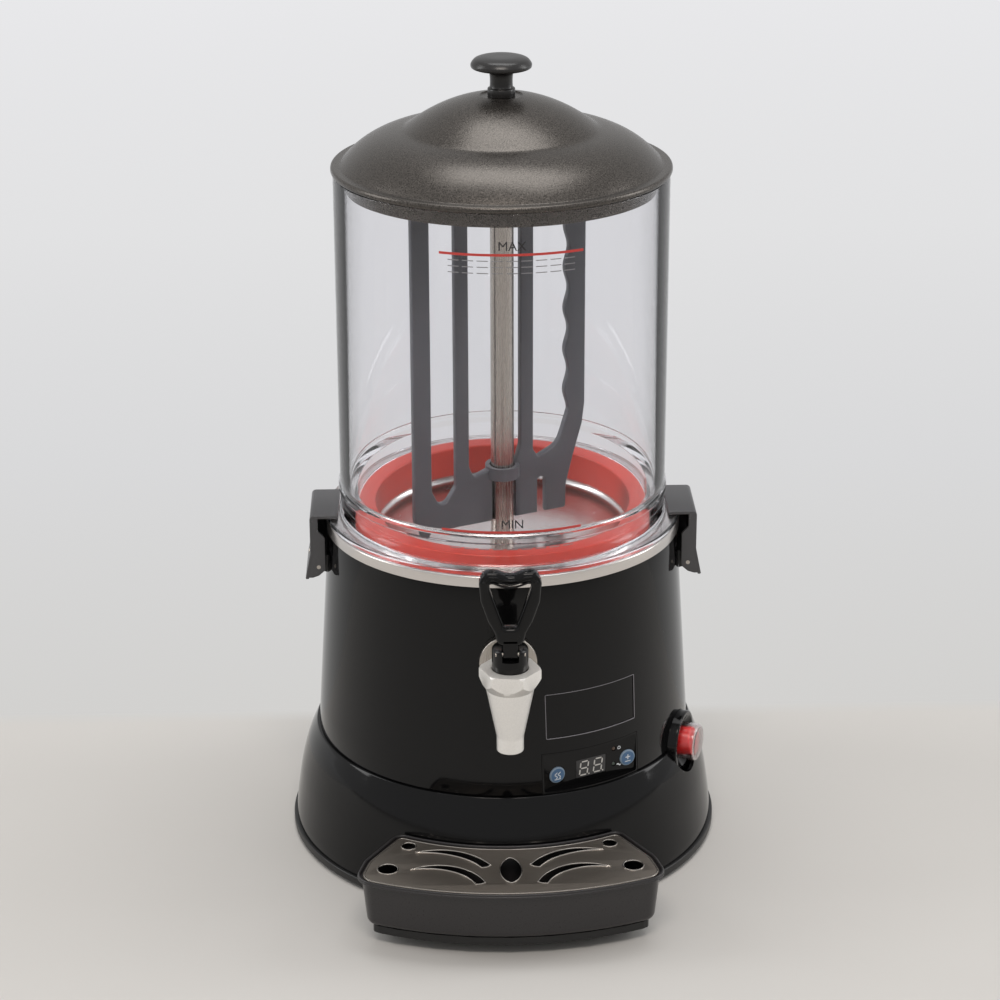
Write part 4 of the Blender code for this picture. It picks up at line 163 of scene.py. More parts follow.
@dataclass(frozen=True)
class Finish:
    """A procedural finish: an even base with a fine grain in colour, roughness and height.

    grain is the size of one cell of the grain in metres, stretch its length along each axis, mottle the
    share by which the colour varies, and relief the grain's height in metres.
    """

    name: str
    slot: str
    colour: str
    roughness: float
    metallic: float = 0.0
    coat: float = 0.0
    transmission: float = 0.0
    grain: float = 0.002
    stretch: tuple[float, float, float] = (1.0, 1.0, 1.0)
    mottle: float = 0.05
    unevenness: float = 0.04
    relief: float = 0.0
    glow: float = 0.0
    ior: float = 1.5

    def material(self) -> bpy.types.Material:
        """Builds the material once and returns it.

        Returns:
            The Blender material.
        """
        known = bpy.data.materials.get(self.name)
        if known is not None:
            return known
        made = bpy.data.materials.new(self.name)
        made.use_nodes = True
        tree = made.node_tree
        tree.nodes.clear()
        place = add_node(tree, "ShaderNodeTexCoord").outputs["Object"]
        scale = tuple(1 / (self.grain * share) for share in self.stretch)
        place = add_node(tree, "ShaderNodeMapping", {"Vector": place, "Scale": scale}).outputs["Vector"]
        grain = add_node(tree, "ShaderNodeTexNoise",
                         {"Vector": place, "Scale": 1.0, "Detail": 3.0}).outputs["Fac"]
        base = linear(self.colour)
        dark = (*(value * (1 - self.mottle) for value in base[:3]), 1.0)
        light = (*(min(1.0, value * (1 + self.mottle)) for value in base[:3]), 1.0)
        colour = ramp(tree, grain, ((0.3, dark), (0.7, light)))
        rough = add_node(tree, "ShaderNodeMapRange", {
            "Value": grain, "From Min": 0.25, "From Max": 0.75,
            "To Min": max(0.0, self.roughness - self.unevenness),
            "To Max": self.roughness + self.unevenness}).outputs["Result"]
        inputs: dict[str | int, object] = {
            "Base Color": colour, "Roughness": rough, "Metallic": self.metallic, "IOR": self.ior}
        if self.coat:
            inputs["Coat Weight"] = self.coat
            inputs["Coat Roughness"] = 0.06
        if self.transmission:
            inputs["Transmission Weight"] = self.transmission
        if self.glow:
            inputs["Emission Color"] = base
            inputs["Emission Strength"] = self.glow
        if self.relief:
            inputs["Normal"] = add_node(tree, "ShaderNodeBump", {
                "Height": grain, "Distance": self.relief, "Strength": 1.0}).outputs["Normal"]
        shader = add_node(tree, "ShaderNodeBsdfPrincipled", inputs)
        surface_out = shader.outputs["BSDF"]
        if self.transmission:
            surface_out = lets_lamps_through(tree, surface_out, base)
        add_node(tree, "ShaderNodeOutputMaterial", {"Surface": surface_out})
        return made


def lets_lamps_through(tree: bpy.types.NodeTree, shader: bpy.types.NodeSocket,
                       tint: tuple[float, ...]) -> bpy.types.NodeSocket:
    """Puts a tinted transparent shader in for shadow rays, so that light reaches what is behind.

    Args:
        tree: The node tree.
        shader: The glass shader's socket.
        tint: The linear colour of the light that passes.

    Returns:
        The mixed shader's socket.
    """
    clear = add_node(tree, "ShaderNodeBsdfTransparent", {"Color": tint}).outputs["BSDF"]
    shadow = add_node(tree, "ShaderNodeLightPath").outputs["Is Shadow Ray"]
    return add_node(tree, "ShaderNodeMixShader", {0: shadow, 1: shader, 2: clear}).outputs["Shader"]


BLACK = Finish("gloss_black_shell", "black_shell", "#0B0B0C", 0.09, ior=1.34, grain=0.0016, relief=0.000002,
               mottle=0.03, unevenness=0.02)
BLACK_LOW = Finish("satin_black_base", "base_black", "#151515", 0.42, grain=0.0007, relief=0.00002)
LID_PAINT = Finish("gunmetal_paint", "lid_grey", "#56524E", 0.29, metallic=0.8, grain=0.0008,
                   mottle=0.5, unevenness=0.10, relief=0.00006)
KNOB_PLASTIC = Finish("knob_plastic", "lid_grey", "#232222", 0.30, grain=0.0004, mottle=0.08,
                      relief=0.000006)
CLEAR = Finish("clear_tank", "tank_clear", "#FAFAFC", 0.012, transmission=1.0, ior=1.3, grain=0.05,
               mottle=0.0, unevenness=0.006)
PADDLE_PLASTIC = Finish("paddle_plastic", "stirrer_grey", "#4A4B50", 0.40, grain=0.0005, mottle=0.05,
                        relief=0.000008)
SILICONE = Finish("red_silicone", "seal_red", "#BB3526", 0.42, grain=0.0008, mottle=0.04)
SATIN_STEEL = Finish("satin_drawn_steel", "bowl_steel", "#D8D3CF", 0.24, metallic=1.0, grain=0.0005,
                     stretch=(12.0, 12.0, 0.5), mottle=0.03, unevenness=0.04)
PLAIN_STEEL = Finish("plain_steel", "fitting_steel", "#B2ACA5", 0.26, metallic=1.0, grain=0.0006,
                     stretch=(0.6, 0.6, 40.0), mottle=0.05, unevenness=0.05)
GRID_STEEL = Finish("brushed_grid_steel", "grid_steel", "#857E76", 0.44, metallic=0.9, grain=0.0004,
                    stretch=(40.0, 0.6, 1.0), mottle=0.10, unevenness=0.08, relief=0.000003)
# The grid's pressed rims are the grid's own steel, painted much lighter than it as a painted highlight along
# the hole edges.
RIM_STEEL_PAINTED_HIGHLIGHT = Finish("pressed_rim_steel_painted_highlight", "grid_steel", "#BDB7B0", 0.24, metallic=1.0, grain=0.0006)
TAP_METAL = Finish("satin_tap_metal", "tap_silver", "#F3F1ED", 0.34, metallic=0.5, grain=0.0009,
                   mottle=0.04, unevenness=0.06, relief=0.000002)
BRASS = Finish("plain_brass", "brass", "#B08D4A", 0.32, metallic=1.0, grain=0.001)
TRAY_PLASTIC = Finish("satin_dark_tray", "tray_grey", "#292728", 0.30, grain=0.0006, mottle=0.05,
                      relief=0.00001)
CLAMP_PAINT = Finish("clamp_paint", "clamp_grey", "#4E4E50", 0.36, metallic=0.25, grain=0.0005,
                     mottle=0.10, relief=0.000008)
MOTOR_PAINT = Finish("motor_paint", "motor_grey", "#6A6C6E", 0.5, metallic=0.3, grain=0.001)
RUBBER = Finish("black_rubber", "rubber_black", "#1B1B1B", 0.7, grain=0.0007, relief=0.00002)
BUTTON_CAP = Finish("button_cap", "button_blue", "#46688C", 0.34, grain=0.0004, mottle=0.08)
BUTTON_RIM = Finish("button_rim", "button_blue", "#8296AA", 0.4, grain=0.0004, mottle=0.05)
SMOKE = Finish("smoked_window", "window_smoke", "#343435", 0.12, grain=0.004)
BOOT_SKIN = Finish("clear_boot", "boot_clear", "#F0E8E8", 0.16, transmission=1.0, grain=0.002,
                   mottle=0.01)
ROCKER_RED = Finish("rocker_red", "rocker_red", "#C92A26", 0.3, grain=0.001, glow=0.12)
AMBER = Finish("lamp_amber", "led_amber", "#5B4B40", 0.25, grain=0.001)
GREEN = Finish("lamp_green", "led_green", "#46504A", 0.25, grain=0.001)
BOARD = Finish("board_green", "board_green", "#1F5A3A", 0.5, grain=0.003, mottle=0.1)
PRINT_BLACK = Finish("black_print", "rubber_black", "#242326", 0.5, grain=0.002)
PRINT_RED = Finish("red_print", "seal_red", "#C8403A", 0.45, grain=0.002)
PRINT_GREY = Finish("grey_print", "motor_grey", "#8E8D90", 0.5, grain=0.002)
PRINT_WHITE = Finish("white_print", "button_blue", "#D9DEE2", 0.45, grain=0.002)
SEGMENT = Finish("grey_segment", "window_smoke", "#C4C2BE", 0.4, grain=0.002, glow=0.05)
# The badge recess's edge is the black shell's own plastic, painted light grey as a painted highlight where
# its chamfer catches the light.
PAINTED_HIGHLIGHT_EDGE = Finish("recess_edge_painted_highlight", "black_shell", "#77757A", 0.2, grain=0.002)

INNER_FINISHES = {
    BLACK_LOW: ("switch_body", "tray_support", "clamp_lug_left", "clamp_lug_right", "power_inlet"),
    SATIN_STEEL: ("water_bath", "base_plate"),
    PLAIN_STEEL: ("heating_element", "temperature_probe", "outlet_pipe", "tap_locknut", "lid_screw",
                  "lever_pin", "clamp_pin_left", "clamp_pin_right", "drive_shaft", "motor_bracket",
                  "tap_stem", "tap_spring", "shaft_coupling"),
    MOTOR_PAINT: ("motor", "gearbox", "display_module"),
    BRASS: ("upper_bush", "lower_bush"),
    RUBBER: ("tap_seat",),
    BOARD: ("control_board",),
}


# Forms

def around(azimuth: float, distance: float, height: float, across: float = 0.0) -> Vector:
    """Finds a point by its azimuth and distance from the machine's axis.

    Args:
        azimuth: Radians from the front.
        distance: Metres out from the axis.
        height: Metres over the floor.
        across: Metres to the viewer's right at that azimuth.

    Returns:
        The point.
    """
    return Vector((math.sin(azimuth) * distance + math.cos(azimuth) * across,
                   -math.cos(azimuth) * distance + math.sin(azimuth) * across, height))


def facing(azimuth: float, origin: Vector) -> Matrix:
    """Makes the placing matrix of a flat piece that faces outward.

    Args:
        azimuth: The way it faces.
        origin: Where its middle lies.

    Returns:
        A matrix whose X runs across, Y up and Z outward.
    """
    across = Vector((math.cos(azimuth), math.sin(azimuth), 0))
    outward = Vector((math.sin(azimuth), -math.cos(azimuth), 0))
    turn = Matrix((across, Vector((0, 0, 1)), outward)).transposed().to_4x4()
    return Matrix.Translation(origin) @ turn


def fillet(corners: Sequence[Corner], closed: bool = True, steps: int = 6) -> np.ndarray:
    """Rounds the corners of an outline.

    Each corner with a radius becomes an arc of a circle that touches both of its edges.

    Args:
        corners: (x, y, radius) in order.
        closed: Whether the last corner joins the first.
        steps: Arc pieces for each corner.

    Returns:
        The outline's points, shape (n, 2).
    """
    places = np.array([corner[:2] for corner in corners], float)
    count = len(corners)
    points: list[np.ndarray] = []
    for i, (_, _, radius) in enumerate(corners):
        here = places[i]
        if radius <= 0 or (not closed and i in (0, count - 1)):
            points.append(here[None])
            continue
        before, after = places[i - 1] - here, places[(i + 1) % count] - here
        one, two = before / np.linalg.norm(before), after / np.linalg.norm(after)
        half = math.acos(float(np.clip(one @ two, -1, 1))) / 2
        if half > QUARTER_TURN * 0.999:
            points.append(here[None])
            continue
        reach = min(radius / math.tan(half), np.linalg.norm(before) * 0.49, np.linalg.norm(after) * 0.49)
        share = np.linspace(-1, 1, steps + 1)[:, None]
        turn = (QUARTER_TURN - half) * share
        middle = (one + two) / np.linalg.norm(one + two)
        side = two - one
        side = side / np.linalg.norm(side)
        true_radius = reach * math.tan(half)
        centre = here + middle * true_radius / math.sin(half)
        points.append(centre + true_radius * (np.sin(turn) * side - np.cos(turn) * middle))
    return np.concatenate(points)


def smooth_curve(points: Sequence[Sequence[float]], steps: int = 6) -> np.ndarray:
    """Runs a Catmull-Rom curve through the points: each span is a cubic whose end slopes are half the
    difference of the neighbours.

    Args:
        points: Points of any dimension.
        steps: Pieces for each span.

    Returns:
        The curve's points.
    """
    known = np.asarray(points, float)
    padded = np.concatenate([2 * known[:1] - known[1:2], known, 2 * known[-1:] - known[-2:-1]])
    a, b, c, d = (padded[i:len(padded) - 3 + i, None] for i in range(4))
    t = np.linspace(0, 1, steps, endpoint=False)[None, :, None]
    spans = 0.5 * (2 * b + (c - a) * t + (2 * a - 5 * b + 4 * c - d) * t ** 2
                   + (3 * b - a - 3 * c + d) * t ** 3)
    return np.concatenate([spans.reshape(-1, known.shape[1]), known[-1:]])


def divided(points: np.ndarray, longest: float, closed: bool = True) -> np.ndarray:
    """Adds points to an outline so that no edge is longer than a limit.

    Args:
        points: The outline, shape (n, k).
        longest: The longest edge allowed.
        closed: Whether the last point joins the first.

    Returns:
        The finer outline.
    """
    ends = np.roll(points, -1, axis=0)
    parts = []
    for i, (start, end) in enumerate(zip(points, ends)):
        if not closed and i == len(points) - 1:
            parts.append(start[None])
            break
        count = max(1, math.ceil(float(np.linalg.norm(end - start)) / longest))
        share = np.linspace(0, 1, count, endpoint=False)[:, None]
        parts.append(start + (end - start) * share)
    return np.concatenate(parts)


def finished(name: str, mesh: bpy.types.Mesh, place: Matrix | None = None) -> bpy.types.Object:
    """Cleans a mesh, turns its normals outward, shades it smooth with sharp edges and links it.

    Args:
        name: The piece's name.
        mesh: Its mesh.
        place: A matrix that is put into the mesh, so that the object stays at the origin.

    Returns:
        The new object.
    """
    if place is not None:
        mesh.transform(place)
    form = bmesh.new()
    form.from_mesh(mesh)
    bmesh.ops.remove_doubles(form, verts=form.verts, dist=1e-7)
    bmesh.ops.dissolve_degenerate(form, edges=form.edges, dist=1e-7)
    bmesh.ops.recalc_face_normals(form, faces=form.faces)
    form.to_mesh(mesh)
    form.free()
    mesh.shade_smooth()
    mesh.set_sharp_from_angle(angle=SHARP_EDGE)
    obj = bpy.data.objects.new(name, mesh)
    bpy.context.scene.collection.objects.link(obj)
    return obj


def surface(name: str, grid: np.ndarray, rows_close: bool, columns_close: bool,
            place: Matrix | None = None, capped: bool = False) -> bpy.types.Object:
    """Makes a piece from a grid of points: each cell of the grid is one face.

    Args:
        name: The piece's name.
        grid: Points, shape (rows, columns, 3).
        rows_close: Whether the last row joins the first.
        columns_close: Whether the last column joins the first.
        place: The placing matrix.
        capped: Whether the first and last rows get a face each.

    Returns:
        The new object.
    """
    rows, columns = grid.shape[:2]
    index = np.arange(rows * columns).reshape(rows, columns)
    if rows_close:
        index = np.concatenate([index, index[:1]])
    if columns_close:
        index = np.concatenate([index, index[:, :1]], axis=1)
    faces = np.stack([index[:-1, :-1], index[:-1, 1:], index[1:, 1:], index[1:, :-1]], -1)
    lists = faces.reshape(-1, 4).tolist()
    if capped:
        lists += [index[0, :columns][::-1].tolist(), index[-1, :columns].tolist()]
    mesh = bpy.data.meshes.new(name)
    mesh.from_pydata(grid.reshape(-1, 3).tolist(), [], lists)
    return finished(name, mesh, place)


def turned(name: str, profile: np.ndarray, place: Matrix | None = None, closed: bool = True,
           steps: int = FINE_STEPS) -> bpy.types.Object:
    """Turns a profile about Z: the point (r, z) goes to (r cos a, r sin a, z) for each angle a.

    Args:
        name: The piece's name.
        profile: (radius, height) points.
        place: The placing matrix.
        closed: Whether the profile is a loop; an open one ends on the axis at both ends.
        steps: Angles in a full turn.

    Returns:
        The new object.
    """
    angle = np.linspace(0, FULL_TURN, steps, endpoint=False)
    radius, height = profile[:, :1], profile[:, 1:]
    grid = np.stack([radius * np.cos(angle), radius * np.sin(angle),
                     np.broadcast_to(height, (len(profile), steps))], -1)
    return surface(name, grid, closed, True, place)


def baked(name: str, source: bpy.types.Object, place: Matrix | None = None) -> bpy.types.Object:
    """Makes a mesh piece of a curve or of an object with modifiers, and removes the source.

    Args:
        name: The new piece's name.
        source: The object to evaluate.
        place: The placing matrix.

    Returns:
        The new object.
    """
    bpy.context.view_layer.update()
    shown = source.evaluated_get(bpy.context.evaluated_depsgraph_get())
    mesh = bpy.data.meshes.new_from_object(shown)
    mesh.name = name
    bpy.data.objects.remove(source, do_unlink=True)
    return finished(name, mesh, place)


def new_curve(name: str, kind: str, loops: Sequence[np.ndarray], cyclic: bool) -> bpy.types.Object:
    """Makes a curve object of straight pieces.

    Args:
        name: Its name.
        kind: '2D' or '3D'.
        loops: Arrays of points.
        cyclic: Whether each loop closes.

    Returns:
        The curve object, linked to the scene.
    """
    curve = bpy.data.curves.new(name, 'CURVE')
    curve.dimensions = kind
    for loop in loops:
        spline = curve.splines.new('POLY')
        spline.points.add(len(loop) - 1)
        flat = np.zeros((len(loop), 4))
        flat[:, :loop.shape[1]] = loop
        flat[:, 3] = 1
        spline.points.foreach_set("co", flat.ravel())
        spline.use_cyclic_u = cyclic
    obj = bpy.data.objects.new(name, curve)
    bpy.context.scene.collection.objects.link(obj)
    return obj


def turns_left(loop: np.ndarray) -> bool:
    """Says whether an outline runs counter-clockwise, by the sign of its area.

    Args:
        loop: The closed outline.

    Returns:
        True for a counter-clockwise outline.
    """
    following = np.roll(loop, -1, axis=0)
    return float(np.sum(loop[:, 0] * following[:, 1] - following[:, 0] * loop[:, 1])) > 0


def plate(name: str, loops: Sequence[np.ndarray], thickness: float, place: Matrix,
          edge: float = 0.0, islands: bool = False) -> bpy.types.Object:
    """Makes a flat piece of an outline with holes, to both sides of its plane, with rounded edges.

    Args:
        name: The piece's name.
        loops: The outline first, then the holes, each shape (n, 2).
        thickness: Its thickness.
        place: The placing matrix of its middle plane.
        edge: The radius of its rounded edges.
        islands: Whether the other loops are pieces too, not holes.

    Returns:
        The new object.
    """
    turned_right = []
    for i, loop in enumerate(loops):
        wanted = i == 0 or islands
        turned_right.append(loop if turns_left(loop) != wanted else loop[::-1])
    source = new_curve(name, '2D', turned_right, True)
    source.data.fill_mode = 'BOTH'
    source.data.extrude = thickness / 2 - edge
    if edge:
        source.data.bevel_depth = edge
        source.data.bevel_resolution = 2
        source.data.offset = -edge
    return baked(name, source, place)


def wire(name: str, paths: Sequence[np.ndarray], radius: float, closed: bool,
         place: Matrix | None = None) -> bpy.types.Object:
    """Makes round wires along paths.

    Args:
        name: The piece's name.
        paths: Arrays of points, shape (n, 2) or (n, 3).
        radius: The wires' radius.
        closed: Whether each path is a loop.
        place: The placing matrix.

    Returns:
        The new object.
    """
    source = new_curve(name, '3D', paths, closed)
    source.data.bevel_depth = radius
    source.data.bevel_resolution = 3
    source.data.use_fill_caps = not closed
    return baked(name, source, place)


def carve(obj: bpy.types.Object, others: Sequence[bpy.types.Object],
          operation: str = 'DIFFERENCE') -> bpy.types.Object:
    """Cuts, joins or meets a piece with others, which are used up.

    Args:
        obj: The piece.
        others: The cutters.
        operation: 'DIFFERENCE', 'UNION' or 'INTERSECT'.

    Returns:
        The carved piece, under the same name.
    """
    name = obj.name
    for other in others:
        step = obj.modifiers.new(other.name, 'BOOLEAN')
        step.object = other
        step.solver = 'EXACT'
        step.operation = operation
    obj.name = name + "_source"
    made = baked(name, obj)
    for other in others:
        bpy.data.objects.remove(other, do_unlink=True)
    return made


def rod(name: str, radius: float, start: Vector, end: Vector, steps: int = SMALL_STEPS) -> bpy.types.Object:
    """Makes a plain round bar from one point to another.

    Args:
        name: The piece's name.
        radius: Its radius.
        start: One end of its axis.
        end: The other end.
        steps: Sides of the bar.

    Returns:
        The new object.
    """
    length = (end - start).length
    profile = np.array([(0, 0), (radius, 0), (radius, length), (0, length)])
    place = Matrix.Translation(start) @ (end - start).to_track_quat('Z', 'Y').to_matrix().to_4x4()
    return turned(name, profile, place, closed=False, steps=steps)


def rectangle(width: float, height: float, radius: float, across: float = 0.0,
              up: float = 0.0) -> np.ndarray:
    """Outlines a rounded rectangle about a centre.

    Args:
        width: Its length across.
        height: Its length upward.
        radius: The radius of its corners.
        across: Its centre, across.
        up: Its centre, upward.

    Returns:
        The closed outline.
    """
    w, h = width / 2, height / 2
    return fillet([(across - w, up - h, radius), (across + w, up - h, radius),
                   (across + w, up + h, radius), (across - w, up + h, radius)])


def ring_of(centre: Sequence[float], radius: float, steps: int = 48) -> np.ndarray:
    """Outlines a circle about a centre in the plane.

    Args:
        centre: Its centre.
        radius: Its radius.
        steps: How many points it has.

    Returns:
        The closed outline.
    """
    angle = np.linspace(0, FULL_TURN, steps, endpoint=False)
    return np.stack([centre[0] + radius * np.cos(angle), centre[1] + radius * np.sin(angle)], -1)


def stroke(path: np.ndarray, width: float) -> np.ndarray:
    """Outlines a line of one width along a path in the plane, offset to both sides of it.

    Args:
        path: Points, shape (n, 2).
        width: The line's width.

    Returns:
        The closed outline.
    """
    along = np.gradient(path, axis=0)
    along /= np.linalg.norm(along, axis=1, keepdims=True)
    side = np.stack([-along[:, 1], along[:, 0]], -1) * width / 2
    return np.concatenate([path + side, (path - side)[::-1]])


def inset(outline: np.ndarray, distance: float) -> np.ndarray:
    """Draws a counter-clockwise outline in, moving each point along the mean of its edges' normals.

    Args:
        outline: The closed outline.
        distance: How far each edge moves in.

    Returns:
        The smaller outline.
    """
    before = outline - np.roll(outline, 1, axis=0)
    after = np.roll(before, -1, axis=0)
    one = before / np.linalg.norm(before, axis=1, keepdims=True)
    two = after / np.linalg.norm(after, axis=1, keepdims=True)
    normal = np.stack([-one[:, 1] - two[:, 1], one[:, 0] + two[:, 0]], -1)
    normal /= np.linalg.norm(normal, axis=1, keepdims=True)
    straight = np.stack([-one[:, 1], one[:, 0]], -1)
    stretch = np.maximum(np.sum(normal * straight, axis=1, keepdims=True), 0.5)
    return outline + normal * distance / stretch


def arc_through(start: np.ndarray, middle: np.ndarray, end: np.ndarray, steps: int) -> np.ndarray:
    """Finds points of the circle's arc from start past middle to end, both ends included.

    Args:
        start: The arc's first point.
        middle: A point on the way.
        end: Its last point.
        steps: How many parts the arc has.

    Returns:
        The points in order.
    """
    matrix = 2 * np.array([middle - start, end - start])
    centre = np.linalg.solve(matrix, np.array([middle @ middle - start @ start, end @ end - start @ start]))
    radius = np.linalg.norm(start - centre)
    first, mid, last = (math.atan2(*(point - centre)[::-1]) for point in (start, middle, end))
    sweep = (last - first) % FULL_TURN
    if (mid - first) % FULL_TURN > sweep:
        sweep -= FULL_TURN
    angle = first + np.linspace(0, sweep, steps + 1)
    return centre + radius * np.stack([np.cos(angle), np.sin(angle)], -1)


def bend_round(obj: bpy.types.Object, radius: float) -> bpy.types.Object:
    """Bends a flat piece round the axis at the front: (x, y, z) goes to radius + z, azimuth x / radius
    and height y.

    Args:
        obj: The piece, flat in XY with its face along +Z.
        radius: The radius that its back lies on.

    Returns:
        The same piece.
    """
    flat = np.empty(len(obj.data.vertices) * 3)
    obj.data.vertices.foreach_get("co", flat)
    x, y, z = flat.reshape(-1, 3).T
    bent = np.stack([(radius + z) * np.sin(x / radius), -(radius + z) * np.cos(x / radius), y], -1)
    obj.data.vertices.foreach_set("co", bent.ravel())
    obj.data.update()
    return obj


def lettering(name: str, words: str, height: float, place: Matrix,
              thickness: float = HAIR) -> bpy.types.Object:
    """Makes thin raised words, centred.

    Args:
        name: The piece's name.
        words: The text.
        height: The size of the type.
        place: The placing matrix.
        thickness: How thick the print is.

    Returns:
        The new object, as a mesh.
    """
    text = bpy.data.curves.new(name, 'FONT')
    text.body = words
    text.size = height
    text.align_x = 'CENTER'
    text.extrude = thickness / 2
    source = bpy.data.objects.new(name, text)
    bpy.context.scene.collection.objects.link(source)
    return baked(name, source, place)


def settle(obj: bpy.types.Object, finish: Finish, body: Body = Body.MACHINE,
           *nodes: str) -> bpy.types.Object:
    """Gives a piece its finish, sets it on its body and takes it in place of the frame's nodes.

    Args:
        obj: The piece.
        finish: Its finish.
        body: The body that it rides on.
        nodes: The frame's nodes that it stands for.

    Returns:
        The same piece.
    """
    obj.data.transform(Matrix.Translation(AXIS))
    obj.data.materials.clear()
    obj.data.materials.append(finish.material())
    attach(obj, body.value)
    if nodes:
        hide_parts(*nodes)
    return obj


def low(node: str) -> Vector:
    """The lowest corner of a frame node's box, seen from the machine's axis."""
    return Vector(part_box(node)[0]) - AXIS


def high(node: str) -> Vector:
    """The highest corner of a frame node's box, seen from the machine's axis."""
    return Vector(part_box(node)[1]) - AXIS


# Sub-assemblies

@dataclass
class Shells:
    """The base ring, the feet, the flared skirt and the housing's cone."""

    ring_wall: float = 0.0102
    foot_radius: float = 0.012
    foot_stem_share: float = 0.4
    foot_step_share: float = 0.5
    foot_taper_share: float = 0.94
    skirt_top_radius: float = 0.138
    skirt_bottom_radius: float = 0.155
    skirt_shares: tuple[tuple[float, float], ...] = (
        (1.0, 0.0), (0.79, 0.394), (0.55, 0.68), (0.32, 0.85), (0.11, 0.97), (0.0, 1.0))
    skirt_flange: float = 0.0075
    wall: float = 0.0025
    edge: float = 0.0009
    housing_bottom_radius: float = 0.1363
    housing_top_radius: float = 0.1262
    spigot_step: float = 0.0022
    housing_flange: float = 0.013
    housing_top: float = 0.2383
    longest: float = 0.02

    def skirt_line(self) -> np.ndarray:
        """The skirt's outer line, (radius, height) from its top to its bottom."""
        bottom, top = low("lower_skirt").z, high("lower_skirt").z
        flare = self.skirt_bottom_radius - self.skirt_top_radius
        points = [(self.skirt_top_radius + flare * wide, bottom + (top - bottom) * share)
                  for share, wide in self.skirt_shares]
        return smooth_curve(points)

    def skirt_radius(self, height: float) -> float:
        """The skirt's outer radius at a height."""
        line = self.skirt_line()[::-1]
        return float(np.interp(height, line[:, 1], line[:, 0]))

    def housing_radius(self, height: float) -> float:
        """The housing's outer radius at a height."""
        bottom, top = low("upper_housing").z, self.housing_top
        share = (height - bottom) / (top - bottom)
        return self.housing_bottom_radius + (self.housing_top_radius - self.housing_bottom_radius) * share

    def housing_form(self, name: str, offset: float) -> bpy.types.Object:
        """A full cone that follows the housing's outer face.

        Args:
            name: Its name.
            offset: How far outside the face it lies.

        Returns:
            The cone, to carve with.
        """
        bottom, top = low("upper_housing").z, self.housing_top
        profile = divided(np.array([
            (0, bottom - GAP), (self.housing_radius(bottom) + offset, bottom - GAP),
            (self.housing_radius(top) + offset, top), (0, top)]), self.longest * 3, closed=False)
        return turned(name, profile, closed=False, steps=FINE_STEPS * 2)

    def build(self, holes: "Holes") -> None:
        """Builds the shells, with the holes that the other sub-assemblies need."""
        ring_low, ring_high = low("base_ring").z, high("base_ring").z
        outer = high("base_ring").x
        ring = fillet([(outer, ring_high, self.edge), (outer, ring_low, self.edge),
                       (outer - self.ring_wall, ring_low, 0), (outer - self.ring_wall, ring_high, 0)])
        settle(turned("base_ring_dressed", ring), BLACK_LOW, Body.MACHINE, "base_ring")
        for i in range(1, 5):
            node = f"foot_{i}"
            middle = (low(node) + high(node)) / 2
            top = high(node).z
            stem, step = self.foot_radius * self.foot_stem_share, top * self.foot_step_share
            foot = fillet([(0, top, 0), (stem, top, CRISP), (stem, step, 0), (self.foot_radius, step, FINE),
                           (self.foot_radius * self.foot_taper_share, 0, SMALL), (0, 0, 0)], closed=False)
            settle(turned(f"foot_{i}_dressed", foot, Matrix.Translation((middle.x, middle.y, 0)),
                          closed=False, steps=SMALL_STEPS), RUBBER, Body.MACHINE, node)
        line = self.skirt_line()
        top, bottom = line[0, 1], line[-1, 1]
        flange = self.skirt_top_radius - self.skirt_flange
        skirt = [(flange, top, 0), (line[0, 0], top, self.edge)]
        skirt += [(radius, height, 0) for radius, height in line[1:-1]]
        skirt += [(line[-1, 0], bottom, self.edge), (line[-1, 0] - self.wall, bottom, 0)]
        skirt += [(radius - self.wall, height, 0) for radius, height in line[-2:0:-1]
                  if height < top - self.wall]
        skirt += [(flange, top - self.wall, 0)]
        piece = turned("lower_skirt_dressed", divided(fillet(skirt, steps=4), self.longest),
                       steps=FINE_STEPS * 2)
        settle(carve(piece, holes.in_skirt()), BLACK, Body.MACHINE, "lower_skirt")
        bottom, shoulder, top = low("upper_housing").z, self.housing_top, high("upper_housing").z
        spigot = self.housing_top_radius - self.spigot_step
        housing = [(spigot - self.housing_flange, top, 0), (spigot, top, self.edge),
                   (spigot, shoulder, 0), (self.housing_top_radius, shoulder, self.edge),
                   (self.housing_bottom_radius, bottom, self.edge),
                   (self.housing_bottom_radius - self.wall, bottom, 0),
                   (self.housing_top_radius - self.wall * 2, shoulder, 0),
                   (spigot - self.wall, shoulder, 0), (spigot - self.wall, top - self.wall, 0),
                   (spigot - self.housing_flange, top - self.wall, 0)]
        piece = turned("upper_housing_dressed", divided(fillet(housing, steps=4), self.longest),
                       steps=FINE_STEPS * 2)
        settle(carve(piece, holes.in_housing(self)), BLACK, Body.MACHINE, "upper_housing")


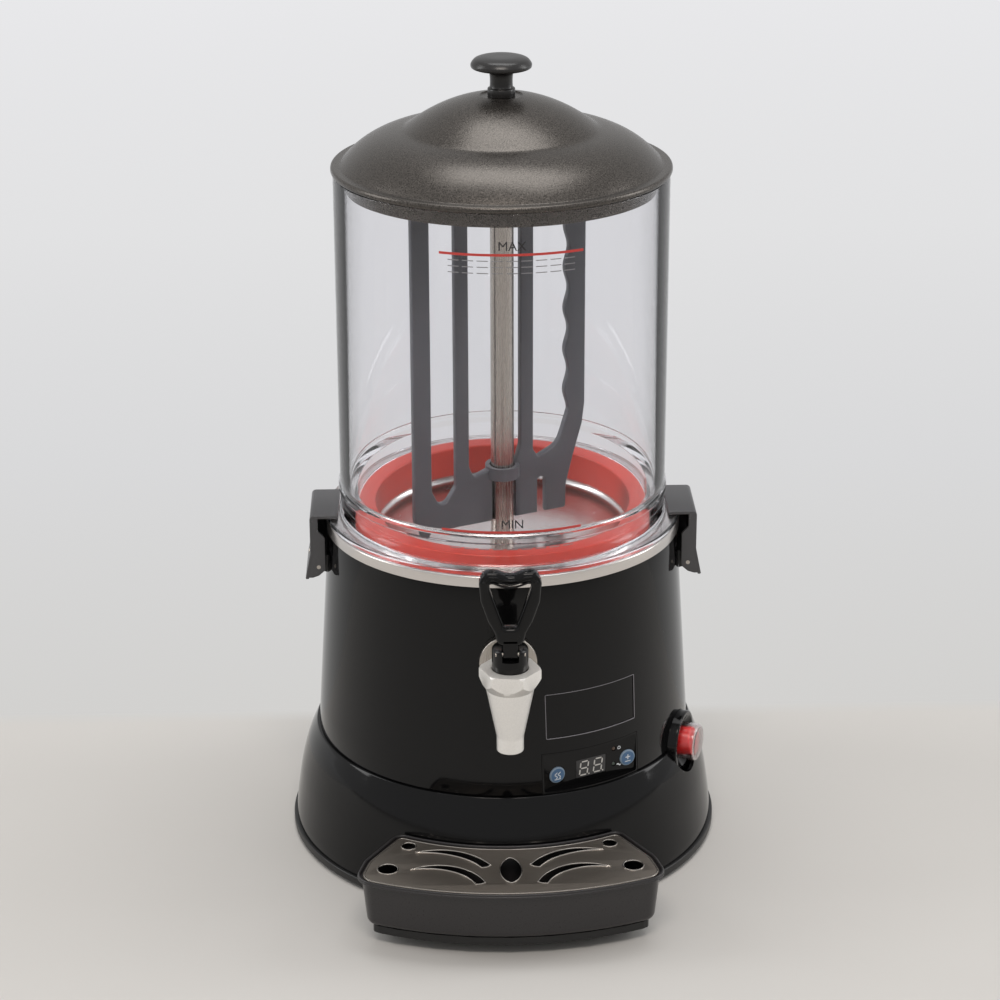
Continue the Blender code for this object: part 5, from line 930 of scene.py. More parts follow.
@dataclass
class Badge:
    """The bare badge place: a shallow recess with a thin plate and a fine edge, painted light grey as a
    painted highlight.
    """

    azimuth: float = math.radians(27)
    length: float = 0.0715
    height: float = 0.033
    rise: float = 0.0412
    depth: float = 0.0013
    corner: float = 0.0008
    rim: float = 0.00035
    rim_step: float = 0.002

    def middle(self, shells: Shells) -> tuple[float, float]:
        """The recess's middle height and the housing's radius there."""
        height = low("upper_housing").z + self.rise + self.height / 2
        return height, shells.housing_radius(height)

    def cutter(self, shells: Shells) -> bpy.types.Object:
        """A block with the recess's outline, hollow within the recess's floor."""
        height, radius = self.middle(shells)
        outline = rectangle(self.length, self.height, self.corner)
        block = plate("badge_cutter", [outline], radius * 0.6,
                      facing(self.azimuth, around(self.azimuth, radius * 1.1, height)))
        return carve(block, [shells.housing_form("badge_floor", -self.depth)])

    def curved(self, shells: Shells, outline: np.ndarray, offset: float) -> np.ndarray:
        """Lays an outline in the panel's plane onto the housing's face.

        Args:
            shells: The housing.
            outline: Points (across, up) about the badge's middle.
            offset: Distance out from the face.

        Returns:
            Points in space, on the cone along the badge's own outward direction.
        """
        height, _ = self.middle(shells)
        points = []
        for across, up in outline:
            radius = shells.housing_radius(height + up) + offset
            points.append(around(self.azimuth, math.sqrt(radius ** 2 - across ** 2), height + up, across))
        return np.array(points)

    def build(self, shells: Shells) -> None:
        """Builds the plate in the recess and the recess's edge, whose light grey is a painted highlight."""
        across = np.linspace(-self.length / 2 + GAP, self.length / 2 - GAP, 64)
        up = np.linspace(-self.height / 2 + GAP, self.height / 2 - GAP, 12)
        plan = np.stack(np.meshgrid(across, up), -1)
        layers = [self.curved(shells, plan.reshape(-1, 2), offset).reshape(12, 64, 3)
                  for offset in (GAP - self.depth, GAP * 2 - self.depth)]
        back, front = layers
        rows = np.concatenate([back[:1], front, back[-1:], back[::-1][1:-1]])
        ends = rows.mean(axis=0, keepdims=True).repeat(len(rows), 0)
        capped = np.concatenate([ends[:, :1], rows, ends[:, -1:]], axis=1)
        settle(surface("badge_plate_dressed", capped, True, False), BLACK, Body.MACHINE, "badge_plate")
        outline = divided(rectangle(self.length, self.height, self.corner), self.rim_step)
        # The edge wire follows the recess's rim in a light grey: a painted highlight on the black plastic.
        edge = self.curved(shells, outline, -self.rim * 0.7)
        settle(wire("badge_edge_painted_highlight", [edge], self.rim, True), PAINTED_HIGHLIGHT_EDGE)


@dataclass
class Panel:
    """The control facia in its pocket, with the display, the buttons and the small lights."""

    azimuth: float = math.radians(26.6)
    length: float = 0.077
    height: float = 0.0302
    distance: float = 0.12905
    thickness: float = 0.003
    cheek: float = 0.0012
    pocket_corner: float = 0.0016
    control_rise: float = 0.0119
    window: tuple[float, float, float] = (0.001, 0.024, 0.014)
    window_thickness: float = 0.0015
    button_radius: float = 0.006
    button_places: tuple[float, float] = (-0.0264, 0.0306)
    button_proud: float = 0.001
    button_stem: float = 0.002
    button_length: float = 0.0122
    button_flange: tuple[float, float] = (0.0012, 0.0015)
    button_shares: tuple[float, float, float] = (0.84, 0.86, 0.9)
    light_place: float = 0.0196
    light_rises: tuple[float, float] = (0.0212, 0.0092)
    light_radius: float = 0.0015
    light_length: float = 0.006
    digit_height: float = 0.0102
    digit_width: float = 0.0062
    segment: float = 0.00095
    digit_pitch: float = 0.0112
    lean: float = 0.12
    print_stroke: float = 0.0006
    curl: tuple[float, float, float, float] = (0.0009, -0.0024, 0.0022, 0.0013)
    curl_turns: float = 1.2
    curl_bar: tuple[float, float] = (0.0026, -0.0031)
    plus: tuple[float, float, float] = (0.0019, 0.00035, 0.0008)
    plus_bar: tuple[float, float] = (0.0022, -0.0025)
    mark_gap: float = 0.0042
    mark_ring: tuple[float, float] = (0.0013, 0.0008)
    mark_wave: tuple[float, float, float, float] = (0.0016, 0.0006, 0.0009, 0.0012)

    def face(self, across: float, rise: float, out: float = 0.0) -> Matrix:
        """The placing matrix of a point on the facia's face.

        Args:
            across: Metres to the right of its middle.
            rise: Metres over the housing's bottom.
            out: Metres out from the face.

        Returns:
            The matrix.
        """
        height = low("upper_housing").z + rise
        return facing(self.azimuth, around(self.azimuth, self.distance + out, height, across))

    def cutter(self) -> bpy.types.Object:
        """The block that opens the housing for the facia."""
        outline = rectangle(self.length + GAP * 2, self.height + GAP * 2, FINE)
        return plate("panel_cutter", [outline], self.distance * 0.4, self.face(0, self.height / 2))

    def build(self, shells: Shells) -> None:
        """Builds the facia, its window, lights, buttons and print."""
        middle = self.height / 2
        place, window_length, window_height = self.window
        openings = [rectangle(window_length + GAP * 2, window_height + GAP * 2, SMALL, place,
                              self.control_rise - middle)]
        openings += [ring_of((across, self.control_rise - middle), self.button_radius + GAP)
                     for across in self.button_places]
        openings += [ring_of((self.light_place, rise - middle), self.light_radius + GAP, 24)
                     for rise in self.light_rises]
        inner = rectangle(self.length - self.cheek * 2, self.height - self.cheek * 2, self.pocket_corner)
        floor = plate("control_facia_dressed",
                      [rectangle(self.length - self.cheek, self.height - self.cheek, MILD)] + openings,
                      self.thickness, self.face(0, middle, -self.thickness / 2))
        settle(floor, BLACK, Body.MACHINE, "control_facia")
        frame_depth = self.distance * 0.2
        cheeks = plate("facia_cheeks", [rectangle(self.length, self.height, SMALL), inner], frame_depth,
                       self.face(0, middle, frame_depth / 2 - self.thickness))
        cheeks = carve(cheeks, [shells.housing_form("cheek_form", -HAIR)], 'INTERSECT')
        settle(cheeks, BLACK)
        glass = plate("display_window_dressed", [rectangle(window_length, window_height, SMALL)],
                      self.window_thickness,
                      self.face(place, self.control_rise, -self.window_thickness / 2), edge=KEEN)
        settle(glass, SMOKE, Body.MACHINE, "display_window")
        self.digits(place)
        for node, finish, rise in (("led_upper", AMBER, self.light_rises[0]),
                                   ("led_lower", GREEN, self.light_rises[1])):
            dome = fillet([(0, GAP, 0), (self.light_radius, -GAP, self.light_radius * 0.6),
                           (self.light_radius, -self.light_length, 0), (0, -self.light_length, 0)],
                          closed=False)
            settle(turned(f"{node}_dressed", dome, self.face(self.light_place, rise), closed=False,
                          steps=32), finish, Body.MACHINE, node)
        top, radius = self.button_proud, self.button_radius
        face_share, crest_share, groove_share = self.button_shares
        flange_width, flange_back = self.button_flange
        flange, back = radius + flange_width, -self.thickness - flange_back
        for body, across in zip((Body.BUTTON_LEFT, Body.BUTTON_RIGHT), self.button_places):
            cap = fillet([(0, top, 0), (radius * crest_share, top, FINE),
                          (radius * groove_share, top - CRISP, KEEN), (radius, top - CRISP, FINE),
                          (radius, -self.thickness - GAP, 0), (flange, -self.thickness - GAP, 0),
                          (flange, back, 0), (self.button_stem, back, 0),
                          (self.button_stem, top - self.button_length, 0),
                          (0, top - self.button_length, 0)], closed=False)
            settle(turned(f"{body.value}_dressed", cap, self.face(across, self.control_rise),
                          closed=False, steps=SMALL_STEPS), BUTTON_RIM, body, body.value)
            disc = plate(f"{body.value}_face", [ring_of((0, 0), radius * face_share)], HAIR,
                         self.face(across, self.control_rise, top + HAIR * 0.5))
            settle(disc, BUTTON_CAP, body)
        self.symbols()

    def digits(self, place: float) -> None:
        """Lays two seven-segment figures with their points just over the window."""
        half, tall, thick = self.digit_width / 2, self.digit_height / 2, self.segment
        ends = [((-half, tall), (half, tall)), ((-half, 0), (half, 0)), ((-half, -tall), (half, -tall)),
                ((-half, 0), (-half, tall)), ((half, 0), (half, tall)), ((-half, -tall), (-half, 0)),
                ((half, -tall), (half, 0))]
        loops = []
        for side in (-0.5, 0.5):
            for start, end in ends:
                a, b = np.array(start), np.array(end)
                along = (b - a) / np.linalg.norm(b - a)
                across = np.array((-along[1], along[0])) * thick / 2
                a, b = a + along * thick * 0.6, b - along * thick * 0.6
                bar = np.array([a, a + along * thick / 2 + across, b - along * thick / 2 + across, b,
                                b - along * thick / 2 - across, a + along * thick / 2 - across])
                bar[:, 0] += bar[:, 1] * self.lean + side * self.digit_pitch
                loops.append(bar)
            loops.append(ring_of((side * self.digit_pitch + half + thick * 0.9, -tall), thick * 0.6, 16))
        settle(plate("display_segments", loops, HAIR, self.face(place, self.control_rise, HAIR),
                     islands=True), SEGMENT)

    def symbols(self) -> None:
        """Prints a steam curl, a plus over a bar, and a small mark beside each light."""
        out = self.button_proud + HAIR * 1.6
        swing, foot, head, apart = self.curl
        t = np.linspace(0, 1, 24)
        wave = np.stack([swing * np.sin(t * FULL_TURN * self.curl_turns), foot + (head - foot) * t], -1)
        curls = [stroke(wave + (shift, 0), self.print_stroke) for shift in (-apart, apart)]
        curls.append(self.bar(self.curl_bar))
        left, right = self.button_places
        settle(plate("button_left_symbol", curls, HAIR, self.face(left, self.control_rise, out),
                     islands=True), PRINT_WHITE, Body.BUTTON_LEFT)
        arm, half, rise = self.plus
        plus = np.array([(-arm, -half), (-half, -half), (-half, -arm), (half, -arm), (half, -half),
                         (arm, -half), (arm, half), (half, half), (half, arm), (-half, arm),
                         (-half, half), (-arm, half)]) + (0, rise)
        settle(plate("button_right_symbol", [plus, self.bar(self.plus_bar)], HAIR,
                     self.face(right, self.control_rise, out), islands=True), PRINT_WHITE,
               Body.BUTTON_RIGHT)
        beside = self.light_place + self.mark_gap
        rings = [ring_of((0, 0), radius, 24) for radius in self.mark_ring]
        settle(plate("light_mark_upper", rings, HAIR, self.face(beside, self.light_rises[0], HAIR)),
               PRINT_WHITE)
        reach, lift, width, drop = self.mark_wave
        key = stroke(np.stack([np.linspace(-reach, reach, 12),
                               lift * np.sin(np.linspace(0, FULL_TURN, 12))], -1), width)
        settle(plate("light_mark_lower", [key], HAIR, self.face(beside, self.light_rises[1] - drop, HAIR)),
               PRINT_WHITE)

    def bar(self, size: tuple[float, float]) -> np.ndarray:
        """Outlines a short level stroke.

        Args:
            size: Its half length and its height.

        Returns:
            The closed outline.
        """
        half, height = size
        return stroke(np.stack([np.linspace(-half, half, 6), np.full(6, height)], -1), self.print_stroke)


@dataclass
class Switch:
    """The power switch over the seam: bezel, clear splash boot and red rocker."""

    azimuth: float = math.radians(68.2)
    face: float = 0.1410
    radius: float = 0.022
    length: float = 0.013
    bore: float = 0.0142
    step_share: float = 0.69
    mouth_share: float = 0.62
    boot_radius: float = 0.0135
    boot_wall: float = 0.0012
    boot_reach: float = 0.0108
    boot_round: float = 0.0022
    bead: float = 0.006
    rocker_radius: float = 0.0102
    rocker_front: float = 0.0068
    rocker_back: float = 0.005
    tilt: float = math.radians(8)

    def place(self, distance: float) -> Matrix:
        """A matrix at the switch's axis, whose Z runs outward."""
        height = high("lower_skirt").z
        return facing(self.azimuth, around(self.azimuth, distance, height))

    def cutter(self, name: str) -> bpy.types.Object:
        """The round hole for the bezel."""
        height = high("lower_skirt").z
        return rod(name, self.radius + GAP, around(self.azimuth, self.face * 0.75, height),
                   around(self.azimuth, self.face + self.radius, height), FINE_STEPS)

    def build(self) -> None:
        """Builds the switch's pieces."""
        start = self.face - self.length
        step = self.length * self.step_share
        mouth = self.bore + (self.radius - self.bore) * self.mouth_share
        bezel = fillet([(self.radius, self.length, SOFT), (self.radius, 0, 0), (self.bore, 0, 0),
                        (self.bore, step, FINE), (mouth, self.length, EASED)])
        settle(turned("switch_bezel_dressed", bezel, self.place(start)), BLACK, Body.MACHINE,
               "switch_bezel")
        tip = self.length + self.boot_reach
        inner = self.boot_radius - self.boot_wall
        bottom = step - self.bead
        boot = fillet([(0, tip, 0), (self.boot_radius, tip, self.boot_round), (self.boot_radius, step, CRISP),
                       (self.bore - GAP, step, CRISP), (self.bore - GAP, bottom, CRISP),
                       (inner, bottom, 0), (inner, tip - self.boot_wall, SOFT),
                       (0, tip - self.boot_wall, 0)], closed=False)
        settle(turned("switch_boot_dressed", boot, self.place(start), closed=False), BOOT_SKIN,
               Body.MACHINE, "switch_boot")
        rocker = fillet([(0, self.rocker_front, 0), (self.rocker_radius, self.rocker_front, SOFT),
                         (self.rocker_radius, -self.rocker_back, FINE), (0, -self.rocker_back, 0)],
                        closed=False)
        turn = Matrix.Rotation(-self.tilt, 4, 'X')
        settle(turned("switch_rocker_dressed", rocker, self.place(self.face) @ turn, closed=False,
                      steps=SMALL_STEPS), ROCKER_RED, Body.ROCKER, "switch_rocker")


@dataclass
class Inlet:
    """The back window for the power inlet."""

    length: float = 0.030
    height: float = 0.024
    middle: float = 0.0500

    def cutter(self) -> bpy.types.Object:
        """The block that opens the skirt's back."""
        reach = high("power_inlet").y
        return plate("inlet_cutter", [rectangle(self.length + GAP * 2, self.height + GAP * 2, THIN)],
                     reach * 0.5, facing(math.pi, around(math.pi, reach, self.middle)))


@dataclass
class Holes:
    """The cuts that the shells need."""

    panel: Panel
    badge: Badge
    switch: Switch
    inlet: Inlet
    shank_radius: float = 0.0093

    def in_skirt(self) -> list[bpy.types.Object]:
        """Cutters for the skirt."""
        return [self.switch.cutter("switch_cut_low"), self.inlet.cutter()]

    def in_housing(self, shells: Shells) -> list[bpy.types.Object]:
        """Cutters for the housing."""
        height = (low("tap_washer").z + high("tap_washer").z) / 2
        shank = rod("shank_cut", self.shank_radius, Vector((0, low("tap_washer").y, height)),
                    Vector((0, -shells.housing_top_radius * 0.85, height)))
        return [self.panel.cutter(), self.badge.cutter(shells), self.switch.cutter("switch_cut_high"),
                shank]


@dataclass
class Bowl:
    """The drawn bowl with its band, the red seal over its ridge, and the riser tube."""

    ridge: float = 0.100
    ridge_width: float = 0.003
    ridge_height: float = 0.0055
    corner: float = 0.004
    sheet: float = 0.0008
    floor: float = 0.2260
    outlet: float = 0.078
    outlet_bore: float = 0.0075
    tube_radius: float = 0.0084
    tube_wall: float = 0.0014
    tube_step: float = 0.02
    ridge_round: float = 0.0009
    band_bottom: float = 0.2386
    seal_inner: float = 0.0925
    seal_rounds: tuple[float, float] = (0.0011, 0.0014)

    def build(self) -> None:
        """Builds the bowl, the seal and the tube."""
        band, band_low = high("bowl").x, self.band_bottom
        s, inner, crest = self.sheet, self.ridge - self.ridge_width, high("bowl").z
        top, hub, bend = crest - self.ridge_height, self.tube_radius + GAP, self.corner * 1.5
        outline = [(hub, self.floor, 0), (inner, self.floor, bend), (inner, crest, self.ridge_round),
                   (self.ridge, crest, self.ridge_round), (self.ridge, top, EASED), (band, top, SOFT),
                   (band, band_low, KEEN), (band - s, band_low, 0), (band - s, top - s, SMALL),
                   (self.ridge - s, top - s, SMALL), (self.ridge - s, crest - s, CRISP),
                   (inner + s, crest - s, CRISP), (inner + s, self.floor - s, bend),
                   (hub, self.floor - s, 0)]
        bowl = turned("bowl_dressed", fillet(outline), steps=FINE_STEPS * 2)
        hole = rod("outlet_cut", self.outlet_bore, Vector((0, -self.outlet, self.floor - OVERRUN)),
                   Vector((0, -self.outlet, self.floor + OVERRUN)))
        settle(carve(bowl, [hole]), SATIN_STEEL, Body.MACHINE, "bowl")
        outer, seal_in = high("bowl_seal").x, self.seal_inner
        seal_top, seal_low = high("bowl_seal").z, low("bowl_seal").z
        tank_low, under = low("tank").z, crest + GAP
        outer_round, inner_round = self.seal_rounds
        seal = fillet([(outer, seal_top, outer_round), (outer, tank_low, CRISP),
                       (self.ridge + GAP, tank_low, 0), (self.ridge + GAP, under, 0),
                       (inner - GAP, under, 0), (inner - GAP, seal_low, FINE),
                       (seal_in, seal_low, SOFT), (seal_in, seal_top, inner_round)])
        settle(turned("bowl_seal_dressed", seal), SILICONE, Body.MACHINE, "bowl_seal")
        tube_low, tube_high = low("riser_tube").z, high("riser_tube").z
        bore = self.tube_radius - self.tube_wall
        tube = fillet([(self.tube_radius, tube_low, 0), (self.tube_radius, tube_high, THIN),
                       (bore, tube_high, FINE), (bore, tube_low, 0)])
        settle(turned("riser_tube_dressed", divided(tube, self.tube_step), steps=SMALL_STEPS), PLAIN_STEEL,
               Body.MACHINE, "riser_tube")


@dataclass
class Tank:
    """The clear tank with its collar, flange and level scale."""

    outer: float = 0.1166
    wall: float = 0.004
    flange_top: float = 0.2500
    collar_height: float = 0.0205
    collar_inner: float = 0.1061
    bead: float = 0.0012
    bead_height: float = 0.005
    flange_root: float = 0.0016
    step_round: float = 0.003
    letter_height: float = 0.0088
    letter_gap: float = 0.003
    line_half: float = 0.049
    print_shift: float = 0.0035
    line_width: float = 0.0017
    max_height: float = 0.471
    min_height: float = 0.275
    dash: tuple[float, float] = (0.0075, 0.0006)
    dash_pitch: float = 0.0098
    dash_drop: float = 0.0042

    def patch(self, name: str, left: float, right: float, bottom: float, top: float) -> bpy.types.Object:
        """Makes a thin print on the tank's outer face: four edges swept round the axis.

        Args:
            name: Its name.
            left: Metres from the front's middle along the face.
            right: The same for its other end.
            bottom: Its lower height.
            top: Its upper height.

        Returns:
            The new object.
        """
        angle = (np.linspace(left, right, 48) + self.print_shift) / self.outer
        section = np.array([(GAP * 0.2, bottom), (HAIR + GAP * 0.2, bottom), (HAIR + GAP * 0.2, top),
                            (GAP * 0.2, top)])
        radius = self.outer + section[:, :1]
        grid = np.stack([radius * np.sin(angle), -radius * np.cos(angle),
                         np.broadcast_to(section[:, 1:], (4, 48))], -1)
        ends = grid.mean(axis=0, keepdims=True).repeat(4, 0)
        return surface(name, np.concatenate([ends[:, :1], grid, ends[:, -1:]], axis=1), True, False)

    def build(self) -> None:
        """Builds the tank and its print."""
        bottom, top = low("tank").z, high("tank").z
        collar = bottom + self.collar_height
        out, rim = self.outer, high("tank").x
        inner = out - self.wall
        outline = fillet([
            (out, top, EASED), (out, collar + self.bead_height, BROAD),
            (out + self.bead, collar + self.bead_height - self.bead, MILD), (out + self.bead, collar, MILD),
            (out, collar - self.bead, MILD), (out, self.flange_top, self.flange_root),
            (rim, self.flange_top, SOFT), (rim, bottom, EASED), (self.collar_inner, bottom, THIN),
            (self.collar_inner, collar, SOFT), (inner, collar + self.bead_height, self.step_round),
            (inner, top, EASED)])
        settle(turned("tank_dressed", outline, steps=FINE_STEPS * 2), CLEAR, Body.MACHINE, "tank")
        for word, height in (("MAX", self.max_height), ("MIN", self.min_height)):
            key = word.lower()
            half = self.line_width / 2
            settle(self.patch(f"{key}_line", -self.line_half, self.line_half, height - half, height + half),
                   PRINT_RED)
            label = lettering(f"{key}_label", word, self.letter_height, Matrix.Translation(
                (self.print_shift, height + self.letter_gap, HAIR)))
            settle(bend_round(label, self.outer + HAIR), PRINT_BLACK)
            for row in range(3):
                drop = height - self.dash_drop - row * self.dash_drop
                for column in range(-4, 5):
                    start = column * self.dash_pitch - self.dash[0] / 2
                    settle(self.patch(f"{key}_dash_{row}_{column + 4}", start, start + self.dash[0],
                                      drop - self.dash[1] / 2, drop + self.dash[1] / 2), PRINT_GREY)


@dataclass
class Lid:
    """The pressed lid with two domes, and its mushroom knob."""

    radius: float = 0.1183
    rim_height: float = 0.0046
    outer_crown: tuple[float, float, float] = (0.1119, 0.0262, 4.98)
    inner_crown: tuple[float, float, float] = (0.0676, 0.0243, 2.11)
    wall: float = 0.0024
    plug: float = 0.110
    plug_drop: float = 0.0107
    dish: tuple[float, float] = (0.015, 0.0009)
    bore: float = 0.0023
    knob_radius: float = 0.021
    knob_height: float = 0.0275
    valley: float = 0.005
    knob_shares: tuple[tuple[float, float], ...] = (
        (0.0, 1.0), (0.34, 1.0), (0.62, 0.985), (0.86, 0.93), (0.98, 0.83), (1.0, 0.76), (0.95, 0.70),
        (0.72, 0.655), (0.45, 0.60), (0.38, 0.50), (0.38, 0.24), (0.45, 0.18), (0.45, 0.0))

    def crown_line(self, rim_top: float) -> np.ndarray:
        """The two domes' line from the dish outwards.

        Each dome's height falls by its radius share to its power, and the valley between them is
        rounded by a short cubic that takes both slopes.

        Args:
            rim_top: The height of the lid's rim.

        Returns:
            (radius, height) points.
        """
        r_out, h_out, power_out = self.outer_crown
        r_in, h_in, power_in = self.inner_crown
        crease = rim_top + h_out * (1 - (r_in / r_out) ** power_out)
        radius = np.concatenate([np.linspace(self.dish[0], r_in - self.valley, 28),
                                 np.linspace(r_in + self.valley, r_out, 36)])
        inner = crease + h_in * (1 - (radius / r_in) ** power_in)
        outer = rim_top + h_out * (1 - np.minimum(1, radius / r_out) ** power_out)
        height = np.where(radius < r_in, inner, outer)
        line = np.stack([radius, height], -1)
        before, after = line[:28], line[28:]
        slope_in = (before[-1] - before[-2]) / np.linalg.norm(before[-1] - before[-2])
        slope_out = (after[1] - after[0]) / np.linalg.norm(after[1] - after[0])
        t = np.linspace(0, 1, 10)[1:-1, None]
        reach = self.valley * 1.2
        one, two = before[-1] + slope_in * reach, after[0] - slope_out * reach
        curve = ((1 - t) ** 3 * before[-1] + 3 * (1 - t) ** 2 * t * one + 3 * (1 - t) * t ** 2 * two
                 + t ** 3 * after[0])
        return np.concatenate([before, curve, after])

    def build(self) -> None:
        """Builds the lid and the knob."""
        bottom, plug_low = high("tank").z + GAP, high("tank").z - self.plug_drop
        rim_top = bottom + self.rim_height
        line = self.crown_line(rim_top)
        dish_radius, dish_depth = self.dish
        dish = line[0, 1] - dish_depth
        wall, rim = self.wall, self.rim_height
        outline = [(self.bore, dish, 0), (dish_radius - dish_depth, dish, FINE)]
        outline += [(radius, height, 0) for radius, height in line[:-1]]
        outline += [(line[-1, 0], rim_top, SOFT), (self.radius - rim * 0.1, rim_top, rim * 0.42),
                    (self.radius, bottom, rim * 0.4), (self.plug, bottom, FINE),
                    (self.plug, plug_low, SMALL), (self.plug - wall, plug_low, SMALL),
                    (self.plug - wall, rim_top - wall * 0.6, MILD)]
        inside = [(radius, height - wall * 1.15) for radius, height in line[::-1]
                  if radius < self.plug - wall * 2.4]
        outline += [(radius, height, 0) for radius, height in inside]
        outline += [(self.bore, inside[-1][1] - dish_depth, 0)]
        settle(turned("lid_dressed", fillet(outline), steps=FINE_STEPS * 2), LID_PAINT, Body.LID, "lid")
        base = low("lid_knob").z
        points = [(self.knob_radius * across, base + self.knob_height * up)
                  for across, up in self.knob_shares]
        profile = np.concatenate([smooth_curve(points), [(0.0, base)]])
        settle(turned("lid_knob_dressed", profile, closed=False, steps=SMALL_STEPS * 2), KNOB_PLASTIC,
               Body.LID, "lid_knob")


@dataclass
class Stirrer:
    """The flat paddle with its open windows, its ring and hub, and the nut on top."""

    turn: float = math.radians(23.4)
    reach: float = 0.0703
    thickness: float = 0.006
    web: float = 0.0445
    crossbar: float = 0.0125
    edge: float = 0.0012
    hub: float = 0.011
    hub_proud: float = 0.0005
    nut_round: float = 0.0018
    nut_wall: float = 0.003
    ring_share: float = 0.725
    ring_height: float = 0.009
    ring_wall: float = 0.003
    bore: float = 0.0095
    shaft: float = 0.0033
    corner_share: float = 0.08
    outline_shares: tuple[Corner, ...] = (
        (-1.0, 0.0, 0.17), (0.3855, 0.0, 0.0), (0.3855, 0.607, 0.046), (0.479, 0.607, 0.046),
        (0.479, 0.0, 0.0), (0.714, 0.0, 0.03), (0.72, 0.40, 0.1), (0.802, 0.87, 0.1),
        (0.9075, 1.40, 0.2), (0.936, 1.74, 0.2))
    left_shares: tuple[Corner, ...] = ((-0.808, 0.70, 0.08), (-0.700, 0.34, 0.08), (-0.538, 0.70, 0.08))
    middle_shares: tuple[Corner, ...] = (
        (-0.390, 1.0, 0.1), (-0.339, 0.80, 0.05), (-0.112, 0.92, 0.1), (0.120, 0.90, 0.1),
        (0.156, 1.03, 0.03), (0.192, 1.22, 0.03))
    right_shares: tuple[Corner, ...] = (
        (0.337, 1.10, 0.05), (0.395, 0.96, 0.03), (0.623, 1.115, 0.2), (0.684, 1.378, 0.1),
        (0.745, 1.66, 0.03))
    wave: tuple[float, float, float] = (0.7226, 0.0228, 5.5)

    def corners(self, shares: Sequence[Corner], bottom: float) -> list[Corner]:
        """Turns shares of the reach and of the web into corners.

        Args:
            shares: Shares (across, up, radius).
            bottom: The height of the lowest corner.

        Returns:
            The corners.
        """
        return [(across * self.reach, bottom + up * self.web, radius * self.reach)
                for across, up, radius in shares]

    def build(self) -> None:
        """Builds the paddle and its nut."""
        bottom, top = low("stirrer_paddle").z, high("stirrer_paddle").z - self.hub_proud
        bar, corner = top - self.crossbar, self.corner_share * self.reach
        outer = self.corners(self.outline_shares, bottom)
        outer += [(outer[-1][0], top, corner), (-self.reach, top, corner)]
        loops = [fillet(outer)]
        for shares in (self.left_shares, self.middle_shares):
            gap = self.corners(shares, bottom)
            loops.append(fillet(gap + [(gap[-1][0], bar, corner), (gap[0][0], bar, corner)]))
        gap = self.corners(self.right_shares, bottom)
        centre_share, swing_share, count = self.wave
        share = np.linspace(0, 1, 180)[1:-1]
        wave = np.stack([self.reach * (centre_share + swing_share * np.cos(FULL_TURN * count * share)),
                         gap[-1][1] + (bar - gap[-1][1]) * share], -1)
        edge = fillet(gap + [(gap[-1][0], gap[-1][1] + corner, 0)], closed=False)[:-1]
        loops.append(np.concatenate([edge, wave, [(gap[-1][0], bar), (gap[0][0], bar)]]))
        place = facing(self.turn, Vector((0, 0, 0)))
        paddle = plate("stirrer_paddle_dressed", loops, self.thickness, place, edge=self.edge)
        ring_low = bottom + self.web * self.ring_share
        ring_top = ring_low + self.ring_height
        centre = Vector((0, 0, 1))
        ring = rod("paddle_ring", self.bore + self.ring_wall, centre * ring_low, centre * ring_top)
        hub = rod("paddle_hub", self.hub, centre * (bar - self.hub_proud), centre * (top + self.hub_proud))
        paddle = carve(paddle, [ring, hub], 'UNION')
        slot_low, slot_top = bottom - OVERRUN, ring_low + self.hub_proud
        slot = plate("paddle_slot", [np.array([(-self.bore, slot_low), (self.bore, slot_low),
                                               (self.bore, slot_top), (-self.bore, slot_top)])],
                     self.thickness * 1.2, place)
        bore = rod("paddle_bore", self.bore, centre * (ring_low - OVERRUN), centre * (ring_top + OVERRUN))
        shaft = rod("paddle_shaft", self.shaft, centre * (bar - OVERRUN), centre * (top + OVERRUN))
        settle(carve(paddle, [slot, bore, shaft]), PADDLE_PLASTIC, Body.STIRRER, "stirrer_paddle")
        nut_low, nut_top, radius = low("stirrer_nut").z, high("stirrer_nut").z, high("stirrer_nut").x
        nut = fillet([(0, nut_top, 0), (radius, nut_top, self.nut_round), (radius, nut_low, FINE),
                      (self.shaft, nut_low, 0), (self.shaft, nut_top - self.nut_wall, 0),
                      (0, nut_top - self.nut_wall, 0)], closed=False)
        settle(turned("stirrer_nut_dressed", nut, closed=False, steps=SMALL_STEPS), PADDLE_PLASTIC,
               Body.STIRRER, "stirrer_nut")


